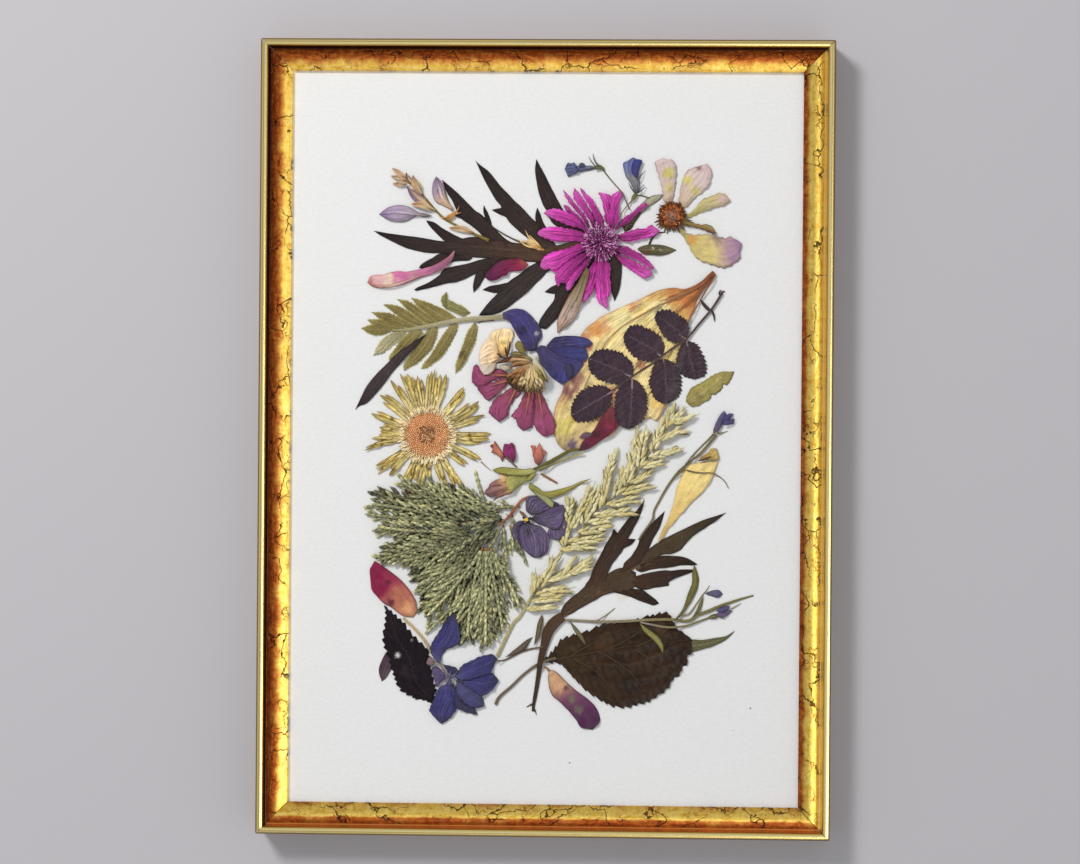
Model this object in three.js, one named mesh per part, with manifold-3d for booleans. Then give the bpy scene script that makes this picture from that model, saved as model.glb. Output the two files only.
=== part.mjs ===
// Pressed flower frame: a gilded wooden moulding with dried flowers, leaves and grasses
// glued on a white card. The frame lies on its back, picture face up.
// Millimetres, +X to the picture's right, +Y to its top, +Z out of the picture face.
// The origin is the middle of the frame's back.
import * as THREE from 'three';
import Module from 'manifold-3d';
import * as BufferGeometryUtils from 'three/addons/utils/BufferGeometryUtils.js';

const wasm = await Module();
wasm.setup();

// ---- driving dimensions ----
const FRAME_WIDTH = 224;
const FRAME_HEIGHT = 311;
const MOULDING_FACE = 12;
const REBATE_WIDTH = 5;
const REBATE_DEPTH = 9.5;
const MITRE_GAP = 0.3;
const SHEET_CLEARANCE = 0.5;
const CARD_THICKNESS = 0.6;
const BOARD_THICKNESS = 3;
const STACK_GAP = 0.05;
const SPECIMEN_THICKNESS = 0.42;
const LAYER_STEP = 0.5;

const REBATE_X = FRAME_WIDTH / 2 - MOULDING_FACE + REBATE_WIDTH;
const REBATE_Y = FRAME_HEIGHT / 2 - MOULDING_FACE + REBATE_WIDTH;
const CARD_TOP = REBATE_DEPTH - STACK_GAP;
const BOARD_TOP = CARD_TOP - CARD_THICKNESS - STACK_GAP;
const BOARD_BACK = BOARD_TOP - BOARD_THICKNESS;

const picture = new THREE.Group();

// ---- solids ----
function toSolid(geometry) {
  const bare = geometry.clone();
  bare.deleteAttribute('normal');
  bare.deleteAttribute('uv');
  const merged = BufferGeometryUtils.mergeVertices(bare);
  return new wasm.Manifold(new wasm.Mesh({
    numProp: 3,
    vertProperties: new Float32Array(merged.attributes.position.array),
    triVerts: new Uint32Array(merged.index.array),
  }));
}

function toGeometry(solid) {
  const mesh = solid.getMesh();
  const geometry = new THREE.BufferGeometry();
  geometry.setAttribute('position', new THREE.BufferAttribute(mesh.vertProperties, 3));
  geometry.setIndex(new THREE.BufferAttribute(mesh.triVerts, 1));
  geometry.computeVertexNormals();
  return geometry;
}

function addPart(name, solid, finish) {
  const mesh = new THREE.Mesh(toGeometry(solid), new THREE.MeshStandardMaterial(finish));
  mesh.name = name;
  picture.add(mesh);
}

// A slab is an outline in the picture plane, given as x, y, x, y ..., between two heights.
function slab(numbers, bottom, top) {
  const corners = [];
  for (let i = 0; i < numbers.length; i += 2) {
    corners.push(new THREE.Vector2(numbers[i], numbers[i + 1]));
  }
  const shape = new THREE.Shape(corners);
  const geometry = new THREE.ExtrudeGeometry(shape, { depth: top - bottom, bevelEnabled: false });
  return toSolid(geometry.translate(0, 0, bottom));
}

function box(x0, x1, y0, y1, bottom, top) {
  return slab([x0, y0, x1, y0, x1, y1, x0, y1], bottom, top);
}

// ---- moulding: four mitred rails of one section ----
// The section runs from the outer edge (0) to the sight edge (12), and from the back (0) up:
// a polished lip, a cove beside it, a low hump that falls to the sight edge, and the rebate.
const SECTION = [
  0, 0, 0, 14.7, 0.35, 15.45, 1.0, 15.9, 1.8, 16, 2.5, 15.7, 3.0, 14.9, 3.15, 13.2, 3.7, 12.5,
  4.4, 12.6, 5.4, 13.3, 6.6, 13.75, 7.8, 13.75, 9.0, 13.3, 10.2, 12.5, 11.3, 11.6, 12, 10.9,
  12, 9.5, 7, 9.5, 7, 0,
];
const GILDED = { color: 0xc99a3e, roughness: 0.38, metalness: 0.75 };

function straightMoulding(length) {
  const corners = [];
  for (let i = 0; i < SECTION.length; i += 2) {
    corners.push(new THREE.Vector2(SECTION[i], SECTION[i + 1]));
  }
  const shape = new THREE.Shape(corners);
  const geometry = new THREE.ExtrudeGeometry(shape, { depth: length, bevelEnabled: false });
  // the section's across runs along +X, its height along +Z, and the rail along -Y
  return toSolid(geometry.rotateX(Math.PI / 2).translate(0, length / 2, 0));
}

function mitredRail(length, turns) {
  const end = length / 2 - MITRE_GAP / 2;
  const past = MOULDING_FACE + 1;
  const plan = slab([0, -end, past, past - end, past, end - past, 0, end], -1, 20);
  return straightMoulding(length).intersect(plan).rotate([0, 0, turns * 90]);
}

// ---- framing points: flat steel tabs driven into the rebate wall behind the board ----
const POINT_LENGTH = 10;
const POINT_WIDTH = 6;
const POINT_THICKNESS = 0.5;
const POINT_IN_WOOD = 3.5;
const POINT_CLEARANCE = 0.3;
const POINT_TOP = BOARD_BACK - STACK_GAP;
const POINT_PLACES = [
  { side: 'left', at: -100 }, { side: 'left', at: 0 }, { side: 'left', at: 100 },
  { side: 'right', at: -100 }, { side: 'right', at: 0 }, { side: 'right', at: 100 },
  { side: 'top', at: 0 }, { side: 'bottom', at: 0 },
];
const POINT_STEEL = { color: 0x9a9c9e, roughness: 0.45, metalness: 0.9 };

// Where a point lies, grown by a clearance for the slot that it is driven into.
function pointBody(place, grow) {
  const across = POINT_WIDTH / 2 + grow;
  const outer = POINT_IN_WOOD + grow;
  const inner = POINT_LENGTH - POINT_IN_WOOD;
  const bottom = POINT_TOP - POINT_THICKNESS - grow;
  const top = POINT_TOP + grow;
  const [a, b] = [place.at - across, place.at + across];
  if (place.side === 'left') return box(-REBATE_X - outer, -REBATE_X + inner, a, b, bottom, top);
  if (place.side === 'right') return box(REBATE_X - inner, REBATE_X + outer, a, b, bottom, top);
  if (place.side === 'top') return box(a, b, REBATE_Y - inner, REBATE_Y + outer, bottom, top);
  return box(a, b, -REBATE_Y - outer, -REBATE_Y + inner, bottom, top);
}

const RAILS = [
  { side: 'left', length: FRAME_HEIGHT, turns: 0, x: -FRAME_WIDTH / 2, y: 0 },
  { side: 'bottom', length: FRAME_WIDTH, turns: 1, x: 0, y: -FRAME_HEIGHT / 2 },
  { side: 'right', length: FRAME_HEIGHT, turns: 2, x: FRAME_WIDTH / 2, y: 0 },
  { side: 'top', length: FRAME_WIDTH, turns: 3, x: 0, y: FRAME_HEIGHT / 2 },
];
for (const rail of RAILS) {
  let solid = mitredRail(rail.length, rail.turns).translate([rail.x, rail.y, 0]);
  for (const place of POINT_PLACES) {
    if (place.side === rail.side) solid = solid.subtract(pointBody(place, POINT_CLEARANCE));
  }
  addPart(`rail_${rail.side}`, solid, GILDED);
}
POINT_PLACES.forEach((place, index) => {
  addPart(`framing_point_${index + 1}`, pointBody(place, 0), POINT_STEEL);
});

// ---- card, backing board and hanger ----
const SHEET_X = REBATE_X - SHEET_CLEARANCE;
const SHEET_Y = REBATE_Y - SHEET_CLEARANCE;
const RIVET_X = 16;
const RIVET_Y = 112;
const RIVET_HOLE = 1.7;
const RIVET_SHANK = 1.4;
const RIVET_CLEARANCE = 0.4;
const RIVET_HEAD = 3;
const RIVET_SIDES = 8;
const BOARD_SKIN = 0.5;

function post(radius, x, y, bottom, top) {
  const numbers = [];
  for (let i = 0; i < RIVET_SIDES; i += 1) {
    const angle = (i / RIVET_SIDES) * 2 * Math.PI;
    numbers.push(x + radius * Math.cos(angle), y + radius * Math.sin(angle));
  }
  return slab(numbers, bottom, top);
}

addPart(
  'mount_card',
  box(-SHEET_X, SHEET_X, -SHEET_Y, SHEET_Y, CARD_TOP - CARD_THICKNESS, CARD_TOP),
  { color: 0xeeeeec, roughness: 0.95, metalness: 0 },
);

let board = box(-SHEET_X, SHEET_X, -SHEET_Y, SHEET_Y, BOARD_BACK, BOARD_TOP);
for (const x of [-RIVET_X, RIVET_X]) {
  board = board.subtract(post(RIVET_HOLE, x, RIVET_Y, 0, BOARD_TOP - BOARD_SKIN));
}
addPart('backing_board', board, { color: 0x8a6a48, roughness: 0.9, metalness: 0 });

// A hat-shaped strip of steel: flat ears riveted to the board, and a bridge that stands off it
// with a row of teeth, which sits on a nail.
const HANGER_WIDTH = 12;
const HANGER_STEEL = 0.8;
const HANGER_TOP = BOARD_BACK - STACK_GAP;
const BRIDGE_DROP = 3;
const HAT_SIDE = [
  -21, 0, -10, 0, -7.5, -BRIDGE_DROP, 7.5, -BRIDGE_DROP, 10, 0, 21, 0,
  21, -HANGER_STEEL, 10.4, -HANGER_STEEL, 7.9, -BRIDGE_DROP - HANGER_STEEL,
  -7.9, -BRIDGE_DROP - HANGER_STEEL, -10.4, -HANGER_STEEL, -21, -HANGER_STEEL,
];
const TOOTH_COUNT = 5;
const TOOTH_PITCH = 2.6;
const TOOTH_DEPTH = 1.4;
const TOOTH_TIP = 0.4;

function hangerPlate() {
  const corners = [];
  for (let i = 0; i < HAT_SIDE.length; i += 2) {
    corners.push(new THREE.Vector2(HAT_SIDE[i], HAT_SIDE[i + 1]));
  }
  const strip = new THREE.ExtrudeGeometry(new THREE.Shape(corners), {
    depth: HANGER_WIDTH, bevelEnabled: false,
  });
  strip.rotateX(Math.PI / 2).translate(0, RIVET_Y + HANGER_WIDTH / 2, HANGER_TOP);
  let plate = toSolid(strip);
  const edge = RIVET_Y - HANGER_WIDTH / 2;
  for (let i = 0; i < TOOTH_COUNT; i += 1) {
    const x = (i - (TOOTH_COUNT - 1) / 2) * TOOTH_PITCH;
    const half = (TOOTH_PITCH - TOOTH_TIP) / 2;
    const notch = [x - half, edge - 1, x + half, edge - 1, x, edge + TOOTH_DEPTH];
    plate = plate.subtract(slab(notch, 0, BOARD_BACK - BRIDGE_DROP / 2));
  }
  for (const x of [-RIVET_X, RIVET_X]) {
    plate = plate.subtract(post(RIVET_HOLE, x, RIVET_Y, 0, BOARD_BACK));
  }
  return plate;
}
addPart('hanger_plate', hangerPlate(), POINT_STEEL);

// A rivet's domed head bears on the ear, and its shank goes up into the board.
function rivet(x) {
  const under = HANGER_TOP - HANGER_STEEL - STACK_GAP;
  const end = BOARD_TOP - BOARD_SKIN - RIVET_CLEARANCE;
  const profile = [
    [0, under - 1.2], [1.4, under - 1.05], [2.5, under - 0.6], [RIVET_HEAD, under],
    [RIVET_SHANK, under], [RIVET_SHANK, end], [0, end],
  ].map(([radius, height]) => new THREE.Vector2(radius, height));
  const head = new THREE.LatheGeometry(profile, RIVET_SIDES).rotateX(Math.PI / 2);
  return toSolid(head.translate(x, RIVET_Y, 0));
}
addPart('hanger_rivet_left', rivet(-RIVET_X), POINT_STEEL);
addPart('hanger_rivet_right', rivet(RIVET_X), POINT_STEEL);

// ---- pressed specimens ----
// Each plant is one plate, glued down in the order in which they overlap: layer 0 lies on the
// card, and each higher layer clears the one below it.
function layerBottom(layer) {
  return CARD_TOP + STACK_GAP + layer * LAYER_STEP;
}

// A blade is a leaf, petal or stem: breadths across a spine that runs x, y, x, y ...
function blade(spine, breadths) {
  const left = [];
  const right = [];
  const last = breadths.length - 1;
  breadths.forEach((breadth, i) => {
    const [a, b] = [Math.max(i - 1, 0) * 2, Math.min(i + 1, last) * 2];
    const [dx, dy] = [spine[b] - spine[a], spine[b + 1] - spine[a + 1]];
    const half = breadth / 2 / Math.hypot(dx, dy);
    const [x, y] = [spine[2 * i], spine[2 * i + 1]];
    left.push(x - dy * half, y + dx * half);
    if (breadth > 0) right.unshift(x + dy * half, y - dx * half);
  });
  return [...left, ...right];
}

// A ray, bud or spikelet: straight, widest past its middle, and pointed at its tip.
function ray(x0, y0, x1, y1, breadth) {
  const [x, y] = [x0 + (x1 - x0) * 0.6, y0 + (y1 - y0) * 0.6];
  return blade([x0, y0, x, y, x1, y1], [breadth * 0.6, breadth, 0]);
}

function specimen(name, layer, color, outlines, mounds = []) {
  const bottom = layerBottom(layer);
  const plates = outlines.map((outline) => slab(outline, bottom, bottom + SPECIMEN_THICKNESS));
  const solid = [...plates, ...mounds].reduce((whole, piece) => whole.add(piece));
  addPart(name, solid, { color, roughness: 0.85, metalness: 0 });
}

// The raised middle of a flower head: a low dome on the same layer as its petals.
const MOUND_SIDES = 12;
function mound(x, y, radius, height, layer) {
  const bottom = layerBottom(layer);
  const profile = [
    [0, 0], [radius, 0], [radius, height * 0.45], [radius * 0.8, height * 0.8], [0, height],
  ].map(([across, up]) => new THREE.Vector2(across, up));
  const dome = new THREE.LatheGeometry(profile, MOUND_SIDES).rotateX(Math.PI / 2);
  return toSolid(dome.translate(x, y, bottom));
}

// Upper divided leaf: a rachis with long dark lobes to both sides.
specimen('divided_leaf_upper', 0, 0x32282c, [
  blade([29, 73, 15, 75.5, 5, 72, -8, 72.5, -20, 74, -34, 74.5], [2, 4, 5, 6, 6, 5]),
  [-28, 77, -40, 76.9, -50, 78.4, -62, 79.9, -67.9, 80.9, -65, 79, -60, 76.5, -55, 74.2,
    -50, 72.9, -41.2, 72.2, -28, 71.5],
  [-30, 75, -39.7, 76.8, -44, 80.8, -46, 83, -47.3, 85.1, -44, 84.3, -41, 82.2, -35, 78.9,
    -26, 76],
  [-22, 75.5, -27, 81, -33, 85.4, -36, 86.8, -34.5, 89.8, -38.9, 95.5, -41.2, 101.1, -38, 98.5,
    -32, 93, -28, 89, -25.7, 86.6, -24.7, 91, -23, 86.5, -20, 81.8, -15, 77.3, -11, 75],
  [-8, 74, -12, 82, -15, 85, -19, 87.3, -21.4, 89.2, -16.5, 90, -20, 93.2, -24, 100, -27, 106.3,
    -28.1, 108.6, -23, 104.5, -18, 98.5, -10, 90.6, -5.2, 85.5, -3.8, 90.2, -2.3, 87.5,
    -0.8, 83, 2.5, 76.5, 6, 72],
  [17, 75, 6, 83, 1, 85, -0.5, 90, -3.3, 96.5, -4.7, 105, -4.2, 109.3, -1, 103.5, 3, 95.7,
    7, 88.8, 12, 83, 20, 77],
  [-26, 73, -36, 71, -41, 72.3, -45, 70.2, -48.5, 68.2, -50, 66.5, -45, 65.5, -40, 66.8,
    -36, 69, -26, 71],
  [-10, 71, -18, 71, -25, 70, -31, 68.2, -40, 66.5, -38.3, 64.8, -46, 60.8, -51.7, 57.8,
    -46, 58.5, -37.7, 60.8, -36.7, 59.7, -31, 62.5, -27, 64.3, -28.4, 57, -24, 62.8, -20, 67],
  [5, 73, -4.2, 68.7, -10, 64.5, -18, 60.2, -25, 58.2, -18.3, 56.5, -26.3, 48, -20, 48.5,
    -12, 53.3, -5, 59.5, 3, 67, 13, 73],
  [14, 76, 10, 66, 5, 60.6, -0.5, 57.3, 5.5, 57, 0, 50, -2.7, 43.8, 0, 42.8, 6, 49, 12, 60,
    19, 75],
  [23, 74, 24.5, 68, 25.5, 58, 26.8, 53.8, 29, 60, 29.5, 70, 28, 74],
]);

// Small pieces at the top left: a spray of pale buds, two lilac buds and loose petals.
specimen('bud_spray', 1, 0xb9a06a, [
  blade([-22.5, 77.3, -30, 80.5, -40, 85.7, -47, 93, -55.8, 101.8], [1, 1.1, 1.1, 1.2, 1.2]),
  ray(-55, 101, -60.8, 105.3, 2.6),
  ray(-54.6, 100.4, -61.3, 102.2, 2),
  ray(-53.5, 99.4, -60.5, 99.2, 2.2),
  ray(-52.5, 98.3, -55.2, 103.5, 2.4),
  ray(-49.4, 95.4, -52.5, 102.4, 3.4),
  ray(-47, 92.5, -54.8, 98, 3.6),
  ray(-44, 89.6, -53.2, 91.2, 2.6),
  ray(-28.5, 79.9, -38.3, 82, 2.8),
]);
specimen('lilac_bud_left', 0, 0xa78aa8, [
  [-65.8, 87.3, -63.5, 89.2, -60.5, 90.6, -57, 91, -54, 90.3, -50, 88.1, -44.8, 87.2,
    -44.6, 86.2, -48, 86.1, -52.5, 85.6, -57, 84.4, -60, 84.6, -62.5, 85.3],
]);
specimen('lilac_bud_upright', 2, 0xb59aa6, [
  [-43.4, 102.3, -44.6, 100, -45, 96.5, -44, 92.8, -41, 90.9, -40, 85.8, -35.3, 88.5,
    -37.8, 91.5, -39.5, 95.5, -40.3, 99, -42, 101],
]);
specimen('pink_petal', 1, 0xc27aa0, [
  [-70.2, 60.5, -69, 63, -64, 63.8, -58, 65.2, -52, 65.4, -46, 66.8, -40, 69.8, -36.3, 73.2,
    -35.5, 72.7, -38, 68, -43, 64.8, -50, 62.2, -58, 59.2, -65, 58.3, -68, 58.9],
]);
specimen('crimson_petal', 1, 0x8c2a52, [
  [-23.7, 61.8, -19, 62, -15.3, 63.6, -14.7, 65, -9, 65.7, -7, 67.8, -9, 70, -14, 70.1,
    -18.5, 69, -23, 65.3],
]);
specimen('dried_bud', 1, 0xc8a46c, [
  [-11, 78, -8, 78.6, -5, 78.3, -0.8, 74.2, -4, 74, -7.5, 75],
]);

// Cornflower: toothed ray florets around a mop of thread-like florets.
specimen('cornflower', 1, 0xb42f9a, [
  ray(19, 78, -1.6, 88.4, 6),
  ray(19, 77.5, -3.6, 80, 6.6),
  [17, 76, 11, 75.3, 3, 73, -1.8, 69.5, -2.3, 67.2, 1.2, 66, 5, 65.5, 11, 70, 17, 74],
  [18, 75, 11, 70.8, 5, 66, 3.4, 62.5, 4.5, 59.5, 8.5, 57.6, 12, 61.5, 17, 69],
  [18.5, 74, 17, 66, 15, 60, 13.6, 55, 14.9, 53, 18.8, 57.5, 20, 54, 23.8, 51, 25.3, 59.5,
    23.5, 69, 24, 74],
  [26, 76, 29.5, 69.5, 34, 65.3, 38, 62.8, 41.5, 64.2, 37, 68.3, 31, 73],
  [27, 77, 30, 72.5, 38, 68.7, 42.3, 67.2, 39.3, 70.3, 34, 73.8, 29, 77],
  [26, 81, 34, 81.5, 40.7, 83.8, 44.4, 82, 38, 78.6, 30, 77.3],
  [26, 82, 34, 89, 38.5, 92.5, 39.3, 91, 33, 85.5, 28, 80],
  [22, 81, 22.5, 88, 20.1, 96.2, 21.2, 96.8, 25, 94.9, 27.8, 97.1, 30, 95.8, 28.3, 92,
    28.2, 84, 26, 80],
  [24, 80, 19, 91.3, 16, 95, 13.1, 98.1, 12.2, 95.5, 10.7, 98, 9.8, 93.5, 6.3, 97.3, 8.8, 91.5,
    6.7, 91, 11, 86, 18, 79],
], [mound(21.5, 77, 6.8, 2.6, 1)]);

// Beside the cornflower: a pale-tipped willow leaf, an olive leaf, and two lobelia flowers.
specimen('willow_leaf', 0, 0x6b6450, [
  [30, 79.5, 28.5, 83.5, 33, 88, 40, 94.6, 42, 95.4, 44.7, 95.7, 45, 94.8, 42, 92, 36.5, 87.5,
    33, 82],
]);
specimen('olive_leaf', 0, 0x54512f, [
  [35.5, 74.3, 39.5, 76, 42, 76.1, 48, 75.2, 51, 74, 47, 72.2, 41.5, 72, 37, 73],
  blade([40.8, 75, 41, 78.5, 42.3, 80], [0.9, 0.8, 0.6]),
]);
specimen('lobelia_left', 2, 0x4f5573, [
  [6.8, 106.8, 8, 107.9, 10.8, 108, 11.4, 106.6, 14, 107.4, 19.5, 106.8, 22.3, 105, 18.5, 104.9,
    12.5, 104.2, 7.2, 102.2, 8, 104.6],
  blade([21.5, 105.4, 24, 102.5, 29.2, 96.4, 31.2, 92.4, 32.5, 89.6], [1.4, 0.6, 0.6, 0.6, 0.6]),
]);
specimen('lobelia_right', 3, 0x474a86, [
  [29.7, 107.8, 33, 110, 35.3, 109.2, 37.3, 108.7, 35.9, 104, 36.3, 99, 35.4, 95.5, 33.6, 92.9,
    33, 93.5, 34.3, 96.4, 31, 102.3],
  blade([33.5, 93.4, 30.5, 90, 28.3, 86.2], [1, 0.6, 0.5]),
  blade([35, 95.4, 37.5, 95.1, 40, 94.3], [0.7, 0.5, 0.5]),
]);

// Cosmos: five loose petals held round a dark disc by its bracts.
specimen('cosmos', 0, 0xb59a72, [
  [47.5, 88, 45.7, 93, 44.8, 99, 42.5, 106, 42.2, 108.2, 44.5, 110, 48.8, 109.5, 50.3, 106,
    50.5, 100, 49.5, 92, 50, 88],
  [49.5, 88, 52.6, 100, 55.2, 105.2, 62.5, 107.8, 64.2, 105.3, 64, 101.5, 61, 97, 54.6, 90.8,
    51.5, 87],
  [51, 88.5, 57, 89.3, 60.8, 94, 67, 96.2, 70.2, 95, 71.7, 93.5, 69, 91.3, 59, 88, 51, 85.5],
  [52, 86, 60, 84.1, 63.5, 84, 66.2, 81, 63, 81.4, 57, 83, 50, 84],
  [49, 85, 55, 79.3, 64.4, 79.7, 68, 79.3, 70, 78.2, 75.5, 79.2, 76.9, 75.2, 75.3, 71.5, 75.6, 70.4,
    70, 67.2, 64, 68.5, 59, 71, 55.8, 75.5, 53.3, 79.3, 46.5, 83],
  [43, 90.5, 42, 87.7, 42.6, 84.8, 47.5, 80, 53.5, 81, 56, 83, 54.8, 90, 50.5, 93, 45.9, 92.7],
], [mound(49, 87.5, 5.4, 3.2, 0)]);

// Silverweed: toothed leaflets on a woolly rachis.
specimen('silverweed_leaf', 1, 0x6f6c3e, [
  blade([-15.5, 47.6, -25, 46.7, -35, 45.8, -45, 43.5, -56, 42, -66, 42.5], [2.6, 2, 1.8, 2, 3, 2]),
  [-28, 46.5, -35, 49, -38.8, 50.5, -38.7, 57, -41.2, 54.5, -43, 51.5, -53, 54.8, -58.5, 54.2,
    -55, 51, -64, 52, -62, 49, -68.5, 49, -66.5, 47, -70, 45.5, -72.5, 42.5, -66, 39.8, -58, 41.5,
    -64, 38.5, -67.5, 32, -63, 33, -58, 37, -61.3, 30.5, -54, 35.5, -50, 40, -55.5, 26.2,
    -46.5, 32.5, -42.7, 39, -41.8, 43.2, -33, 45.3],
  [-38, 46, -42, 40.5, -45, 32.5, -48.7, 27, -42.5, 30, -37, 37, -34.3, 44, -35, 46.5],
  [-29, 47, -32.3, 37, -35.2, 25.2, -30.5, 31, -27.5, 38, -26.7, 46.5],
  [-26, 47, -30, 49.2, -38, 53.6, -39, 50.5, -30, 46.8],
]);
specimen('dark_lance_leaf', 2, 0x3a3034, [
  [-74.6, 10.5, -70, 20, -62, 29, -54.5, 35.5, -46.5, 40.7, -50, 36.5, -57, 28.7, -63.5, 20.5,
    -67.3, 16],
]);

// Zinnia: ruffled cream petals, a straw-coloured middle and five plum petals.
specimen('zinnia', 0, 0x8e5a68, [
  [-12, 28, -17.5, 33, -20.5, 37, -21.6, 40, -19, 44.4, -16, 45.4, -13.3, 42, -14, 37, -14.5, 33,
    -9, 29],
  [-12, 31, -18, 33, -21.5, 40, -25, 34, -26.7, 29, -24, 25.3, -20, 27.3, -13, 26],
  [-13, 33.8, -11, 38.3, -8.5, 36, -3, 33, -2.6, 31, -1, 26, 1.2, 21.5, -3, 18.8, -8, 17.8,
    -14, 21, -16, 27, -14, 31],
  [-13, 26.2, -23, 25, -26.5, 28.4, -28, 28.3, -28.7, 21.5, -24.5, 20, -19, 23, -12, 24],
  [-12, 24.5, -19, 22.2, -26.5, 19.3, -22.8, 14.6, -18.5, 17.3, -12, 22.5],
  [-10, 21, -17, 17.3, -21, 13, -22.1, 10.3, -17.8, 6.3, -14.3, 9.3, -13.3, 13, -9, 18],
  [-6.5, 20, -9.3, 15, -13.2, 8.7, -11.3, 7.6, -10.8, 5, -7, 2.8, -4.8, 6, -4.2, 12, -4.2, 20],
  [-4.4, 20, -4, 13, -4.3, 5, -2, 1.8, 2.2, 0.7, 3, 3, 2.8, 8, 0.5, 14, -2.3, 20],
], [mound(-6.8, 24, 5.4, 3.4, 0)]);
specimen('larkspur_petal_left', 2, 0x35376e, [
  [-17, 48.8, -13, 50.6, -9, 50.4, -4.3, 46.5, -1.5, 42, -1.8, 38.8, -3, 36, -6, 33.8, -11, 40,
    -14.5, 46],
]);
specimen('larkspur_petals_right', 1, 0x35377a, [
  [-3.8, 34.6, -2.7, 36.2, 0, 36.8, 1.7, 36, 3.1, 39.3, 8, 40.2, 15, 39.6, 18.4, 37.5,
    15.5, 35.5, 16.7, 31.5, 10.5, 28.8, 10.8, 26, 9.7, 23.3, 8.2, 24.3, 7, 21.2, 4.5, 21.5,
    1, 23.2, -2.8, 30.5],
]);
specimen('withered_sheath', 2, 0x8a7a66, [
  [15, 64, 13, 61, 10, 55, 5.5, 49, 4, 46.5, 4.8, 43, 5, 40.6, 6, 40.6, 6.5, 42, 10.8, 46, 12.2, 52,
    14, 58.5, 15.8, 63],
]);

// Tulip petal: the largest piece, with the rose leaf laid over its middle.
specimen('tulip_petal', 0, 0xd9b668, [
  [66.6, 64.4, 63.4, 65.8, 58, 60.3, 54, 58.8, 50, 59.3, 41, 56.9, 30, 51.8, 22, 48, 16, 43.5, 13, 39,
    8, 24, 4.5, 14, 3.6, 9, 4.4, 3.5, 5, -1.5, 7.2, -4.8, 13.4, -4.4, 18.5, -1.8, 21, 0.2, 26, 1.3,
    29, 5, 36, 6, 43, 7.3, 47.5, 13.5, 50.5, 26, 54, 40, 57.5, 50, 61, 57.6],
]);
specimen('rose_leaf', 2, 0x30242c, [
  blade([69, 57.6, 66, 52.8, 60, 45.3, 55, 39.3, 45.5, 32.5, 34.5, 24.5, 26, 18.8],
    [1.8, 1.2, 0.9, 0.9, 0.8, 0.7, 0.7]),
  ray(65, 50.5, 60.2, 54.9, 1.8),
  ray(65.2, 52, 66, 46.2, 1.4),
  [55.2, 39.4, 56, 44.2, 54.5, 46.8, 49, 50.2, 46, 50.8, 42.3, 47.3, 46.3, 40.2, 49, 38, 54, 38.4],
  [45.9, 32.4, 46.4, 36.8, 43, 41.5, 36.5, 44.4, 33.3, 44.3, 30.3, 39.3, 35, 32, 41, 30.3],
  [34.8, 24.6, 34, 29.5, 28, 34.3, 22, 35, 18, 32.8, 17, 27.5, 23, 22.3, 29, 21.3, 33.8, 23.8],
  [26.4, 19, 22, 21, 17, 20.2, 12.3, 16.8, 10, 10, 12, 6.8, 18.5, 6.9, 23.5, 10.3, 26, 16],
  [33.8, 24.4, 31.5, 22.2, 27.7, 17.5, 27.3, 10, 29.5, 5, 33, 4, 35.5, 5, 39.6, 10.5, 39.5, 18,
    36, 22.7],
  [46, 32.8, 43, 30, 40.5, 22.5, 42.3, 16.8, 47, 13.9, 52, 16.5, 53.3, 22, 51.5, 28, 49, 30.6],
  [54.6, 39, 53, 36.5, 51.4, 31, 52, 27.5, 56.3, 23.3, 61.7, 23.8, 63, 28, 61.2, 34, 57.5, 38],
]);
specimen('nibbled_leaf', 0, 0x8b7f3e, [
  [55.3, 16, 57, 20, 63, 23.5, 69, 26.6, 73.8, 26.5, 70, 20.3, 68.9, 22.5, 69.4, 20, 65.5, 16.8,
    64.3, 17.8, 64.6, 16, 59.5, 13, 55.5, 13.8],
]);

// Daisy: split straw-coloured rays round a wide flat disc.
const DAISY_X = -46;
const DAISY_Y = 1;
const DAISY_RAYS = [
  [-43.2, 27, 5.2], [-38.8, 25, 1.6], [-31.3, 19.5, 2.8], [-26, 14.5, 4], [-23, 8.4, 2.4],
  [-20.9, 0.9, 2.8], [-21.5, -1.3, 2.8], [-25, -9.2, 2.4], [-30.3, -10.8, 2.4], [-31.5, -20, 2.6],
  [-34.4, -19, 2.4], [-38, -21, 2.6], [-45.2, -17.6, 2.4], [-49.2, -19.6, 2.4], [-51.5, -17, 2.6],
  [-56.6, -20.4, 3], [-61.5, -14.8, 2.4], [-66, -14.3, 2.6], [-66.8, -12.2, 2], [-71, -5, 1.8],
  [-67.6, -2.3, 2], [-68.2, 0, 2.2], [-65, 3.8, 4], [-68, 10, 2.8], [-65, 16.6, 4], [-60.2, 23, 2.6],
  [-56.5, 25.3, 2.4], [-53.5, 25.3, 2.6], [-50, 24.3, 3.4],
];
specimen(
  'daisy', 0, 0xb8a048,
  DAISY_RAYS.map(([x, y, breadth]) => ray(DAISY_X, DAISY_Y, x, y, breadth)),
  [mound(DAISY_X, DAISY_Y, 10.4, 1.4, 0), mound(DAISY_X, DAISY_Y, 8.3, 2.2, 0)],
);

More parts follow.
